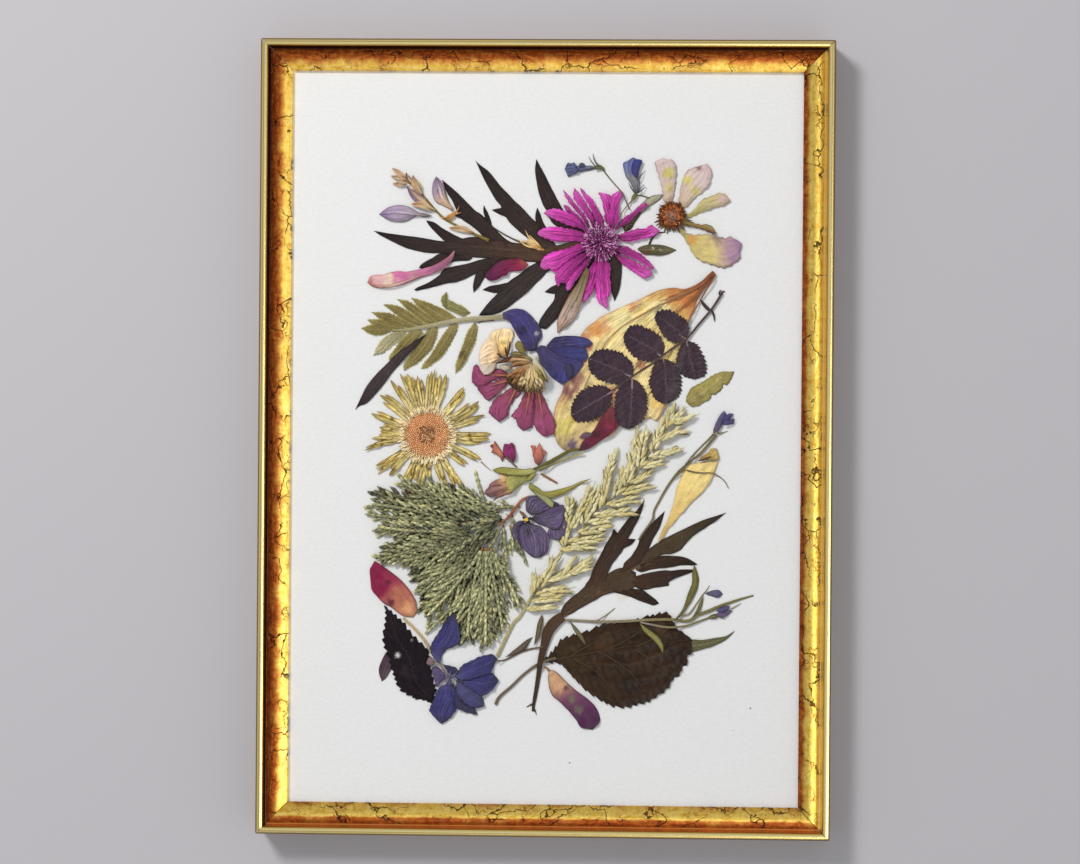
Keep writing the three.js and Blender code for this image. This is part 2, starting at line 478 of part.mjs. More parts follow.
// Small florets under the daisy, and a campion flower with its leaves.
specimen('floret_crimson', 0, 0x7c2a48, [
  [-21.5, -3.3, -19.7, -0.8, -16.8, -4.3, -16, -2.3, -13, -1.5, -12, -2.5, -11.5, -7.8, -11.8, -9.3,
    -14.5, -8, -17.2, -9, -19, -6.3, -21, -5.7],
]);
specimen('floret_orange', 0, 0xb86a50, [
  [-5.2, -2.8, -3.4, -2.8, -2.2, -1.6, -1.5, -3.2, 0.3, -4.8, -1.5, -9.4, -3.2, -9.4, -4.8, -5.5],
]);
specimen('campion', 3, 0x7d8038, [
  [-20.3, -12.5, -15, -11.3, -5, -12, -2.4, -12.6, -3, -15.5, -7, -17.7, -13, -21.8, -20, -24.6,
    -22.8, -23.4, -23.2, -20.5, -20, -17, -15, -14.2],
  blade([-3.5, -13, 0, -11, 5, -8, 10, -5.3, 13.5, -4.3], [1.8, 1.6, 1.6, 1.6, 1.2]),
  blade([-3.5, -13.4, 5, -9.8, 15, -6], [1.2, 1.2, 1]),
  blade([-6, -17, -3, -18.9, 0, -20.6, 5, -20.4, 10, -18.5, 18.3, -15.6], [1.6, 1.8, 2, 2.2, 1.6, 0]),
  blade([-6, -18, -2, -21.5, 4.5, -25.8], [1.6, 1.8, 1.4]),
  blade([-2.8, -13.6, 5, -17.5], [0.6, 0.5]),
]);

// Grass panicle: one stem with its branches of narrow spikelets.
const GRASS_AXIS = [
  -16.8, -83.6, -9, -69.5, -3, -60, 5, -49, 10, -41.5, 18, -31, 30, -20.5, 39, -9.5, 46, 2, 51, 9,
];
const GRASS_BUNCHES = [
  [-5, -64, 9.5, -61.5, 3.4], [-3, -61, 12.8, -58, 4],
  [0, -56, 20.3, -49.6, 3.4], [11, -52.4, 20.6, -45.6, 3], [7.5, -53.8, 12.2, -45.4, 2.2],
  [-4.5, -62, -3.2, -50.6, 2.2], [-2, -59, 6, -45, 5], [6, -43.5, 21.5, -41.6, 3],
  [9, -41, 25.6, -38, 4.6], [13, -37, 27.6, -33.4, 4], [17, -33, 28.6, -30.6, 3.4],
  [8, -43, 10.5, -20.5, 5.4], [10.5, -36, 20, -16.4, 5], [15, -34, 23.5, -17.4, 5],
  [19, -30, 36.5, -28, 4], [24, -26, 39, -22.8, 5], [22, -27.5, 27.4, -3.6, 5],
  [27, -23, 32.6, -9, 5], [29, -21.5, 43.5, -17.6, 5], [33, -17.5, 44.2, -12, 5],
  [32, -18.5, 37, 4.6, 5.4], [37, -11.5, 39.5, 6.2, 6], [37, -11, 49.2, -8.4, 3.4],
  [40.5, -7.5, 54.8, -3, 4.4], [42, -5, 48, 10.6, 5], [44.5, -1, 55.6, 5.4, 5],
  [48, 4, 49.8, 14.6, 3.6], [49.5, 6.5, 55.2, 13.2, 3.2], [49, 6, 60.6, 10.2, 3],
];
specimen('grass_panicle', 1, 0xb8b07a, [
  blade(GRASS_AXIS, [1.8, 1.8, 2.4, 2.6, 2.6, 2.6, 2.4, 2.2, 1.6, 1]),
  ...GRASS_BUNCHES.map((bunch) => ray(...bunch)),
]);

// Cypress: flat sprays of scaly twigs on a bare red-brown stem.
const CYPRESS_SPRAYS = [
  [-22, -29, -27.8, -13.8, 2.4], [-20, -29, -34, -19.8, 6], [-22, -31, -42, -19.6, 6],
  [-26, -33, -47, -19.8, 8], [-30, -33, -55, -18.2, 8], [-32, -34, -65, -22.4, 8],
  [-34, -35, -69, -28.8, 6], [-50, -33.5, -66.2, -37.6, 4], [-30, -36, -64, -39.6, 9],
  [-28, -38, -64.4, -47.4, 10], [-27, -39, -58, -53, 11], [-26, -41, -48, -56, 10],
  [-25, -42, -49.6, -61.6, 10], [-25, -43, -45.8, -66.4, 9], [-24, -43, -41.4, -71, 10],
  [-24, -43, -33, -76, 11], [-23, -43, -27.6, -78.4, 11], [-22.5, -43, -22.4, -80, 9],
  [-22, -43, -15, -74, 8], [-21.5, -43, -9, -65, 6], [-16, -34, -15, -50, 3],
  [-12.5, -30, -12, -42.8, 3], [-9.5, -27, -22, -27, 6],
];
specimen('cypress_sprig', 1, 0x7a7a52, [
  blade([-5.6, -22.8, -9, -24.4, -12, -28.4, -18, -34.8, -23, -39.5], [1, 1.8, 2, 2.2, 3]),
  blade([-10, -26.5, -17, -31, -23, -38, -25, -45, -24, -52], [2, 8, 13, 13, 10]),
  ...CYPRESS_SPRAYS.map((spray) => ray(...spray)),
]);
specimen('viola', 2, 0x4a3f66, [
  [-7.2, -24, -4, -22.3, 0, -23.3, 5, -24, 8, -26.6, 7.6, -31, 9.4, -34, 7.5, -39, 5, -39.5,
    2.4, -38.8, 2, -42, 0.5, -45.3, -4, -46.7, -7.5, -44, -9.4, -41, -10.5, -41.3, -12.6, -37.5,
    -11.3, -33.3, -9.6, -32, -9, -29, -6.6, -28.6],
]);

// Lavender-like sprig with a yellow floret, and the yellow petal beneath it.
specimen('lavender_sprig', 1, 0x4d4c40, [
  blade([37, -39.6, 41, -33.5, 43, -28, 47.5, -19.5, 52.5, -12.5, 57, -8.6],
    [0.8, 1, 0.9, 0.9, 1.6, 2]),
  blade([54, -11, 60, -4.2, 66, 2.6], [1.2, 0.7, 1]),
  blade([55.5, -10, 61, -5.4, 64.5, -0.8, 67, 2.4], [1.4, 2.2, 1.4, 1.2]),
  [65.4, 2, 68.5, 6.5, 68.4, 10, 70.4, 11.2, 73.5, 10, 74.2, 8, 73.8, 6, 71, 5.8, 67.6, 2],
  blade([66.6, 2.6, 71.3, 3.4], [0.8, 0.5]),
  [56.5, -10, 60.5, -8.9, 65.8, -8, 67.9, -7.6, 67.8, -4.3, 66.3, -3.3, 64, -4.8, 60, -6.6],
  blade([54, -11.4, 58.5, -12.8, 65.3, -13.1, 70.5, -16.3, 72, -19.2], [1, 0.7, 0.7, 0.7, 0.5]),
]);
specimen('yellow_petal', 0, 0xdcc06c, [
  [45, -39.4, 46.5, -35, 48.5, -31, 51.5, -20, 55.5, -11, 58, -9.5, 67.8, -8.3, 66.5, -12.5,
    61, -21.5, 53, -30, 48, -36.4],
]);

// Lower divided leaf: a stout petiole with a joint, and long lobes like the upper leaf's.
specimen('divided_leaf_lower', 0, 0x35241c, [
  blade([-3.6, -107, -2.5, -98, -1, -87, 0.8, -81, 3, -75.5, 6, -71, 7, -67.5],
    [0.9, 1.7, 2, 3, 5, 5.4, 3.4]),
  blade([-6, -105.2, -3.3, -102.8], [0.9, 1.6]),
  [5.6, -69.6, 7.5, -66, 13.5, -60.3, 18, -54.7, 21.5, -46.5, 23.8, -42.3, 25, -42, 27.2, -35.5,
    28.2, -37.4, 33, -31, 39, -23.6, 37.5, -30, 35.5, -34, 32.3, -39.5, 35.8, -39.3, 32, -42.5,
    27.5, -48, 24, -54.5, 29, -51.5, 31.6, -50.8, 31.3, -48.5, 35, -44.5, 37, -39.5, 41, -34,
    47, -28.2, 45, -35, 40.5, -43.8, 44, -41.2, 48, -38.3, 55, -34.8, 71, -28.5, 63, -34.5,
    58, -38, 53.5, -41.2, 55.3, -42.2, 50, -44.7, 46, -45.2, 54, -45.8, 60, -48.8, 54, -48.8,
    49, -49.9, 40, -51.2, 36, -53.3, 42, -52, 47.3, -50.2, 46.5, -52, 54, -50.8, 58.8, -50.6,
    51, -54.5, 48.5, -56.3, 49, -57.3, 38, -58.8, 42, -61, 45, -64.4, 37, -62.7, 28, -60,
    20, -63.3, 8.6, -69.6],
]);

// Hydrangea-like leaf with its petiole, a green leaf under its tip and a flax sprig over it.
specimen('hydrangea_leaf', 1, 0x33231a, [
  blade([-18.6, -104.6, -17, -101.5, -8, -93, 0, -87.6, 6, -85.4], [1.5, 1.3, 1.4, 1.7, 2]),
  [0.5, -87, 3.5, -83.5, 7.5, -78.5, 15, -75.8, 22, -73, 35, -71, 42, -69, 48, -67.8, 50.4, -69,
    47.4, -69.8, 52, -72.3, 50.4, -72.9, 53, -74.9, 57.7, -77.8, 58, -83.5, 55.2, -86.3, 56.8, -87,
    52, -90.5, 53, -92.8, 48.6, -95, 49.3, -96.6, 45.2, -98, 46.5, -99.5, 41, -101.2, 41.5, -102.5,
    33, -104.9, 25, -103.5, 17, -98.5, 10, -91.5, 5, -87.8],
]);
specimen('green_leaf_tip', 0, 0x5a6030, [
  [54, -79.5, 62, -78.3, 71, -76.8, 75.2, -74.4, 73, -76.8, 66, -80.8, 54, -84.5],
]);
specimen('flax_sprig', 2, 0x6f6a3a, [
  blade([8.8, -71, 30, -71.4, 50, -70.4, 58, -70.3, 64, -67.2, 76, -62.6, 82, -60.8],
    [1, 1, 1.1, 1.4, 2, 1.6, 0]),
  blade([10, -71, 13, -75, 16.6, -80.6], [1, 1.8, 0.7]),
  blade([51, -70.4, 55, -65.5, 58, -59.5, 59.4, -54, 58.8, -49.2], [1, 2, 2.6, 2.4, 0]),
  blade([53.5, -70, 58, -67, 60.8, -63, 64.4, -59.8, 70, -60.4], [0.6, 0.6, 0.6, 2, 2.4]),
  blade([58, -70.2, 60.6, -66.4, 62.8, -61], [1.6, 2.2, 0.8]),
  blade([37.5, -71.2, 44, -72.9, 55, -73.1, 64.5, -69.6], [0.9, 0.7, 0.7, 1.2]),
  blade([64, -69.6, 67.6, -68.2, 72.8, -66.2, 77, -63.8], [1.8, 3, 3, 0.8]),
  blade([37.5, -71.2, 41.5, -75.4, 45.8, -80.2, 46.8, -83.6], [1, 2, 2.2, 0.7]),
]);
specimen('brown_twig', 0, 0x4e3c36, [
  blade([-16.4, -87, -8, -83.5, -1.3, -81.6], [0.9, 1.2, 0.9]),
  [-15, -87, -12, -83.5, -6.5, -79, -4, -77.8, -5.5, -80.5, -8, -83.8],
  [-4, -82.6, -2.9, -77, -2.4, -73, -0.5, -68.6, 0, -73, -1, -76.4, -3.2, -81.8],
]);

// Bottom left: a serrated black leaf, a purple leaf, a two-coloured petal and a larkspur.
specimen('black_leaf', 1, 0x1c1718, [
  [-62.8, -65.9, -62, -70, -63, -78, -61.5, -84, -59, -92, -56, -99, -50, -102.5, -44, -104,
    -42, -99, -43, -95, -44.5, -83.6, -46, -82, -47.7, -82.2, -48, -80, -53, -75.5, -58, -70],
]);
specimen('purple_leaf', 0, 0x4a2a40, [
  [-60, -84, -63.5, -88, -64.5, -92, -64.3, -94.5, -62.3, -96.3, -60, -92, -56, -86],
]);
specimen('two_coloured_petal', 2, 0x9a3a4c, [
  [-66.5, -48.7, -68.3, -52.5, -68, -58, -65, -63, -60, -66.5, -54.5, -70.2, -51.5, -70.3,
    -49.5, -67.8, -50.5, -63.5, -56, -56, -61.2, -52],
]);
specimen('larkspur_flower', 2, 0x34346e, [
  blade([-53.6, -71.6, -50.5, -75, -45, -82.5, -36, -94], [1.2, 1.6, 1.2, 1.4]),
  [-44.3, -83, -40.5, -75.5, -36, -69.3, -34.2, -68.8, -32.4, -78, -35, -82, -39.5, -85.5,
    -39.8, -88.5, -44, -89.3, -45.6, -87],
  [-43.5, -90.3, -41, -89.6, -36.5, -93.5, -39, -97.8, -41.5, -97.8],
  [-40, -88.4, -33.5, -90.8, -28, -87.3, -22, -85, -19.5, -84.8, -17.9, -86.2, -20.5, -92,
    -17.3, -94.7, -20, -99, -23.6, -101, -23, -105, -25.6, -105.4, -25.2, -108.5, -30, -107.3,
    -33.2, -105.2, -35, -108.5, -40, -112.3, -44.4, -106.8, -42.5, -102, -41, -98.5, -37, -94],
]);

// Bottom middle: a petal that goes from tan to purple on a thread of a stalk.
specimen('purple_petal', 0, 0x6a4060, [
  [1.2, -90.2, 2, -94, 4, -101, 10, -106.5, 15, -113, 18.5, -114, 22.4, -111, 21.8, -107, 17, -101.3,
    9, -95, 4, -90.8],
]);

export default picture;
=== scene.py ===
"""Pressed flower frame: dried flowers and leaves glued on a white card in a gilded frame."""
import math
import random

import bmesh
import bpy
import numpy as np
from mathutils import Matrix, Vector


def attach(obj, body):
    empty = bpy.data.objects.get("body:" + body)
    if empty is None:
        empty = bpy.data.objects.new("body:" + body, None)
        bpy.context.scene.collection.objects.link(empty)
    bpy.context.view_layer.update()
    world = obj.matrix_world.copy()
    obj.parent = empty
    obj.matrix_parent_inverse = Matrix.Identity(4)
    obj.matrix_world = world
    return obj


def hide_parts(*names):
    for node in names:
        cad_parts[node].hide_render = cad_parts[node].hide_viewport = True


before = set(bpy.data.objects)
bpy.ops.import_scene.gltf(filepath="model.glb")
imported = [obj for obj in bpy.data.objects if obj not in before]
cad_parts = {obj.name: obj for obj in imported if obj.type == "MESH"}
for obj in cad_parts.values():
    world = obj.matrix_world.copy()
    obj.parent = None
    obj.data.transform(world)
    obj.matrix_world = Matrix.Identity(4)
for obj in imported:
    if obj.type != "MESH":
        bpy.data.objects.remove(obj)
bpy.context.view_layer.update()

# ---------------------------------------------------------------- camera, light and floor
# The frame lies on a pale floor and is seen from straight above. A large soft lamp stands at
# its upper left, and a wide reflector at its lower right shows in the gilding.
MM = 0.001
scene = bpy.context.scene
scene.view_settings.view_transform = "Standard"


def linear(red, green, blue):
    """A colour given as 0 to 255 display values, as linear RGBA."""
    shares = [value / 255 for value in (red, green, blue)]
    return (*[v / 12.92 if v <= 0.04045 else ((v + 0.055) / 1.055) ** 2.4 for v in shares], 1.0)


def add(tree, kind, inputs=None, **settings):
    """Adds a node. Inputs are values, or the sockets that feed them, by name or number."""
    made = tree.nodes.new(kind)
    for key, value in settings.items():
        setattr(made, key, value)
    for key, value in (inputs or {}).items():
        if isinstance(value, bpy.types.NodeSocket):
            tree.links.new(value, made.inputs[key])
        else:
            made.inputs[key].default_value = value
    return made


def maths(tree, operation, *values):
    """The result of a Math node on these values or sockets."""
    return add(tree, "ShaderNodeMath", dict(enumerate(values)), operation=operation).outputs[0]


def times(tree, first, second):
    return maths(tree, "MULTIPLY", first, second)


def plus(tree, first, second):
    return maths(tree, "ADD", first, second)


def less(tree, first, second):
    return maths(tree, "SUBTRACT", first, second)


def blend(tree, factor, first, second, mode="MIX"):
    """The colour that a Mix node makes of two colours."""
    made = add(tree, "ShaderNodeMix", {0: factor, 6: first, 7: second}, data_type="RGBA",
               blend_type=mode)
    return made.outputs[2]


def ramp(tree, factor, stops):
    """A colour ramp with stops of (position, colour)."""
    made = add(tree, "ShaderNodeValToRGB", {0: factor})
    while len(made.color_ramp.elements) < len(stops):
        made.color_ramp.elements.new(0.5)
    for element, (position, colour) in zip(made.color_ramp.elements, stops):
        element.position = position
        element.color = colour
    return made.outputs[0]


def fade(tree, value, low, high):
    """0 below low, 1 above high, and a smooth change between them."""
    made = add(tree, "ShaderNodeMapRange", {"Value": value, "From Min": low, "From Max": high},
               interpolation_type="SMOOTHSTEP")
    return made.outputs[0]


def fade_out(tree, value, low, high):
    """1 below low and 0 above high."""
    return less(tree, 1.0, fade(tree, value, low, high))


def noise(tree, vector, scale, detail=2.0, roughness=0.5):
    """A noise texture: its value, then its colour."""
    return add(tree, "ShaderNodeTexNoise",
               {"Vector": vector, "Scale": scale, "Detail": detail, "Roughness": roughness}).outputs


def bump(tree, into, height, distance, strength):
    """Raises the material's surface by a height of up to distance."""
    made = add(tree, "ShaderNodeBump", {"Height": height, "Distance": distance, "Strength": strength})
    tree.links.new(made.outputs[0], into["Normal"])


def material(name, **constants):
    """A new material: its node tree, and its Principled BSDF's inputs set to constants."""
    made = bpy.data.materials.new(name)
    made.use_nodes = True
    shader = made.node_tree.nodes["Principled BSDF"]
    for key, value in constants.items():
        shader.inputs[key.replace("_", " ").title().replace("Ior", "IOR")].default_value = value
    return made, made.node_tree, shader.inputs


def stand(name, data):
    """A new object with this data, in the scene."""
    made = bpy.data.objects.new(name, data)
    scene.collection.objects.link(made)
    return made


def lamp(name, place, target, size, power, colour, **sight):
    data = bpy.data.lights.new(name, "AREA")
    data.shape, data.size, data.energy, data.color = "SQUARE", size, power, colour
    made = stand(name, data)
    made.location = place
    towards = Vector(target) - Vector(place)
    made.rotation_euler = towards.to_track_quat("-Z", "Y").to_euler()
    for key, value in sight.items():
        setattr(made, key, value)


view = bpy.data.cameras.new("camera")
view.lens, view.sensor_width = 85, 36
camera = stand("camera", view)
camera.location = (0.02834, 0.00732, 1.0077)
camera.rotation_euler = [math.radians(turn) for turn in (-0.264, 1.739, 0.461)]
scene.camera = camera

world = bpy.data.worlds.new("studio")
world.use_nodes = True
world.node_tree.nodes["Background"].inputs["Color"].default_value = (0.95, 0.97, 1.0, 1.0)
world.node_tree.nodes["Background"].inputs["Strength"].default_value = 0.5
scene.world = world
lamp("key", (-0.75, 0.85, 1.15), (0, 0, 0), 0.35, 15.6, (1.0, 0.99, 0.97), visible_glossy=False)
lamp("reflector", (0.8, -0.6, 0.75), (0, 0, 0), 1.3, 28, (1.0, 0.97, 0.88), visible_diffuse=False)

floor_points = [(x, y, 0) for x, y in ((-2, -2), (2, -2), (2, 2), (-2, 2))]
floor_mesh = bpy.data.meshes.new("floor")
floor_mesh.from_pydata(floor_points, [], [(0, 1, 2, 3)])
floor = stand("floor", floor_mesh)
floor_paint, _, floor_in = material("floor", roughness=0.9)
floor_in["Base Color"].default_value = linear(196, 193, 197)
floor_mesh.materials.append(floor_paint)

# ---------------------------------------------------------------- moulding
# Four mitred rails of one wooden moulding: a polished lip, a cove, and a low hump that
# falls to the sight edge. It is gilded over red bole, and the hump's leaf has crackled and
# worn. The colours also carry painted light and shade. The lip has painted highlight bands.
# The cove is painted dark on the left and top rails and painted bright on the right and
# bottom. The dark bole is laid where each rail's gilding is in shade, so it is partly wear
# and partly painted shade. The back and the rebate are bare wood.
FRAME_WIDTH, FRAME_HEIGHT = 224, 311
MOULDING_WIDTH = 12
MITRE_GAP = 0.3
LIP_AND_HUMP = [0, 14.7, 0.35, 15.45, 1.0, 15.9, 1.8, 16, 2.5, 15.7, 3.0, 14.9, 3.15, 13.4, 3.7, 12.5,
                4.4, 12.6, 5.4, 13.3, 6.6, 13.75, 7.8, 13.75, 9.0, 13.3, 10.2, 12.5, 11.3, 11.6, 12,
                10.9]
BACK_AND_REBATE = [(MOULDING_WIDTH, 9.5), (7, 9.5), (7, 0), (0, 0)]
FACE_POINTS = 64
STATIONS = 90
# Each rail starts this much further along the pattern, so no two rails crack alike.
RAIL_APART = 37


def smooth_line(numbers, count):
    """count points at even steps along a smooth curve through x, y, x, y ..."""
    given = np.array(numbers, float).reshape(-1, 2)
    ends = np.vstack([2 * given[0] - given[1], given, 2 * given[-1] - given[-2]])
    t = np.linspace(0, 1, 12, endpoint=False)[:, None]
    fine = []
    for a, b, c, d in zip(ends, ends[1:], ends[2:], ends[3:]):
        square, cube = 2 * a - 5 * b + 4 * c - d, 3 * b - a - 3 * c + d
        fine.append(0.5 * (2 * b + (c - a) * t + square * t ** 2 + cube * t ** 3))
    fine = np.vstack([*fine, given[-1:]])
    reach = np.concatenate([[0], np.cumsum(np.hypot(*np.diff(fine, axis=0).T))])
    steps = np.linspace(0, reach[-1], count)
    return np.column_stack([np.interp(steps, reach, fine[:, k]) for k in (0, 1)])


def chart(mesh, places):
    """The mesh's UV map, with one place for each of its points."""
    corner = np.empty(len(mesh.loops), dtype=np.int32)
    mesh.loops.foreach_get("vertex_index", corner)
    mesh.uv_layers.new(name="UVMap").data.foreach_set("uv", places[corner].reshape(-1))


def walls(rows, around, start=0):
    """The faces between closed rings of points that are counted from start, ring after ring."""
    return [(start + i * around + j, start + i * around + (j + 1) % around,
             start + (i + 1) * around + (j + 1) % around, start + (i + 1) * around + j)
            for i in range(rows - 1) for j in range(around)]


def group(name, inputs, outputs):
    """A shader node group: its tree, the sockets it is given and the sockets it puts out."""
    tree = bpy.data.node_groups.new(name, "ShaderNodeTree")
    for label, value in inputs.items():
        kind = "NodeSocketVector" if value is None else "NodeSocketFloat"
        socket = tree.interface.new_socket(label, in_out="INPUT", socket_type=kind)
        if value is not None:
            socket.default_value = value
    for label in outputs:
        tree.interface.new_socket(label, in_out="OUTPUT", socket_type="NodeSocketFloat")
    given = tree.nodes.new("NodeGroupInput").outputs
    return tree, given, tree.nodes.new("NodeGroupOutput").inputs


# Blotches and grain, which every surface here has at its own size.
mottle_tree, given, put = group("mottle", {"Vector": None, "Size": 2.0}, ["Blotch", "Grain"])
size_in = maths(mottle_tree, "DIVIDE", 1000.0, given["Size"])
blotch = noise(mottle_tree, given["Vector"], size_in, 4.0, 0.6)[0]
grain = noise(mottle_tree, given["Vector"], times(mottle_tree, size_in, 5.0), 3.0)[0]
mottle_tree.links.new(fade(mottle_tree, blotch, 0.3, 0.7), put["Blotch"])
mottle_tree.links.new(grain, put["Grain"])


def mottle(tree, vector, size):
    """The blotches and the grain at these places."""
    made = add(tree, "ShaderNodeGroup", {"Vector": vector, "Size": size}, node_tree=mottle_tree)
    return made.outputs["Blotch"], made.outputs["Grain"]


def gilding(side, bole_and_shade_stops, cove_painted_light):
    """Gold leaf over red bole. Across the moulding, U is 0 at the outer edge and 1 at the sight
    edge, and V runs along it. bole_and_shade_stops say how much bole is laid at each place
    across, which is partly worn gilding and partly painted shade. cove_painted_light is the
    colour painted into the hollow behind the lip: painted shade on some rails and a painted
    reflection on others."""
    made, tree, into = material(f"gilding_{side}", metallic=0.8)
    uv = add(tree, "ShaderNodeUVMap", uv_map="UVMap").outputs[0]
    across = add(tree, "ShaderNodeSeparateXYZ", {0: uv}).outputs[0]
    drawn_out = add(tree, "ShaderNodeMapping", {"Vector": uv, "Scale": (1.0, 0.42, 1.0)}).outputs[0]
    wobble = noise(tree, uv, 1.3, 3.0)
    shifted = add(tree, "ShaderNodeVectorMath", {0: wobble[1], 3: 0.9}, operation="SCALE")
    jagged = noise(tree, uv, 9.0, 3.0)
    shaken = add(tree, "ShaderNodeVectorMath", {0: jagged[1], 3: 0.08}, operation="SCALE")
    worn = add(tree, "ShaderNodeVectorMath", {0: drawn_out, 1: shifted.outputs[0]}).outputs[0]
    worn = add(tree, "ShaderNodeVectorMath", {0: worn, 1: shaken.outputs[0]}).outputs[0]
    cells = add(tree, "ShaderNodeTexVoronoi", {"Vector": worn, "Scale": 1.3},
                feature="DISTANCE_TO_EDGE").outputs["Distance"]
    small_cells = add(tree, "ShaderNodeTexVoronoi", {"Vector": worn, "Scale": 3.6},
                      feature="DISTANCE_TO_EDGE").outputs["Distance"]
    broad = noise(tree, uv, 0.6)[0]
    fine = noise(tree, uv, 6.0, 8.0, 0.7)[0]
    brushed = add(tree, "ShaderNodeMapping", {"Vector": uv, "Scale": (11.0, 1.6, 1.0)}).outputs[0]
    rubbed = noise(tree, brushed, 1.0, 6.0, 0.7)[0]
    crack = times(tree, fade_out(tree, cells, 0.006, 0.026), fade(tree, broad, 0.38, 0.46))
    hair = times(tree, fade_out(tree, small_cells, 0.006, 0.045), fade(tree, wobble[0], 0.48, 0.6))
    hump = fade(tree, across, 0.3, 0.36)
    cracks = times(tree, hump, maths(tree, "MAXIMUM", crack, times(tree, hair, 0.7)))
    grains = plus(tree, times(tree, fine, 0.5), times(tree, rubbed, 0.5))
    leaf = ramp(tree, grains,
                [(0.36, linear(190, 134, 40)), (0.48, linear(230, 192, 84)),
                 (0.62, linear(254, 234, 140))])
    bole = ramp(tree, grains,
                [(0.34, linear(96, 38, 10)), (0.5, linear(160, 74, 22)), (0.64, linear(222, 146, 58))])
    # Where the dark bole is laid, per rail: partly worn leaf and partly painted shade.
    bole_shade_share = ramp(tree, across, [(place, (share, share, share, 1)) for place, share in bole_and_shade_stops])
    bole_shade_share = plus(tree, bole_shade_share, times(tree, less(tree, wobble[0], 0.5), 1.1))
    bole_shade_share = plus(tree, bole_shade_share, times(tree, less(tree, rubbed, 0.5), 1.2))
    bole_shade_share = fade(tree, bole_shade_share, 0.1, 0.9)
    worn_shaded_gold = blend(tree, bole_shade_share, leaf, bole)
    worn_shaded_gold = blend(tree, times(tree, cracks, 0.9), worn_shaded_gold, linear(58, 26, 8))
    pitted = times(tree, fade(tree, fine, 0.58, 0.66), 0.7)
    worn_shaded_gold = blend(tree, pitted, worn_shaded_gold, linear(88, 42, 12))
    # The lip's bright bands are painted highlights, and its dark outer edge and dark lines are painted
    # shade, across a smooth profile.
    lip = ramp(tree, across,
               [(0.0, linear(78, 50, 16)), (0.04, linear(150, 112, 44)), (0.08, linear(242, 224, 152)),
                (0.115, linear(194, 160, 84)), (0.145, linear(252, 240, 182)),
                (0.2, linear(236, 206, 120)), (0.235, linear(150, 108, 40)), (0.262, linear(*cove_painted_light)),
                (0.32, linear(*cove_painted_light))])
    tree.links.new(blend(tree, hump, lip, worn_shaded_gold), into["Base Color"])
    rough = plus(tree, 0.26, times(tree, hump, 0.22))
    rough = plus(tree, rough, times(tree, times(tree, bole_shade_share, hump), 0.16))
    tree.links.new(plus(tree, rough, times(tree, cracks, 0.3)), into["Roughness"])
    relief = less(tree, times(tree, times(tree, grains, hump), 0.5), times(tree, cracks, 0.5))
    bump(tree, into, relief, 0.0006, 0.8)
    return made


def bare_wood():
    made, tree, into = material("bare_wood", roughness=0.8)
    place = add(tree, "ShaderNodeTexCoord").outputs["Object"]
    blotches, grains = mottle(tree, place, 12.0)
    lines = add(tree, "ShaderNodeTexWave",
                {"Vector": place, "Scale": 90.0, "Distortion": 6.0, "Detail": 2.0},
                bands_direction="Z").outputs[1]
    pale = blend(tree, times(tree, lines, 0.5), linear(196, 160, 112), linear(158, 118, 74))
    tree.links.new(blend(tree, times(tree, blotches, 0.3), pale, linear(140, 104, 68)),
                   into["Base Color"])
    bump(tree, into, grains, 0.0003, 0.4)
    return made


face = smooth_line(LIP_AND_HUMP, FACE_POINTS)
section = np.vstack([[(0, 7.0)], face, BACK_AND_REBATE])
face_across = np.concatenate([[-0.6], face[:, 0] / MOULDING_WIDTH, [1, 1, 1, 1]])
back_wood = bare_wood()
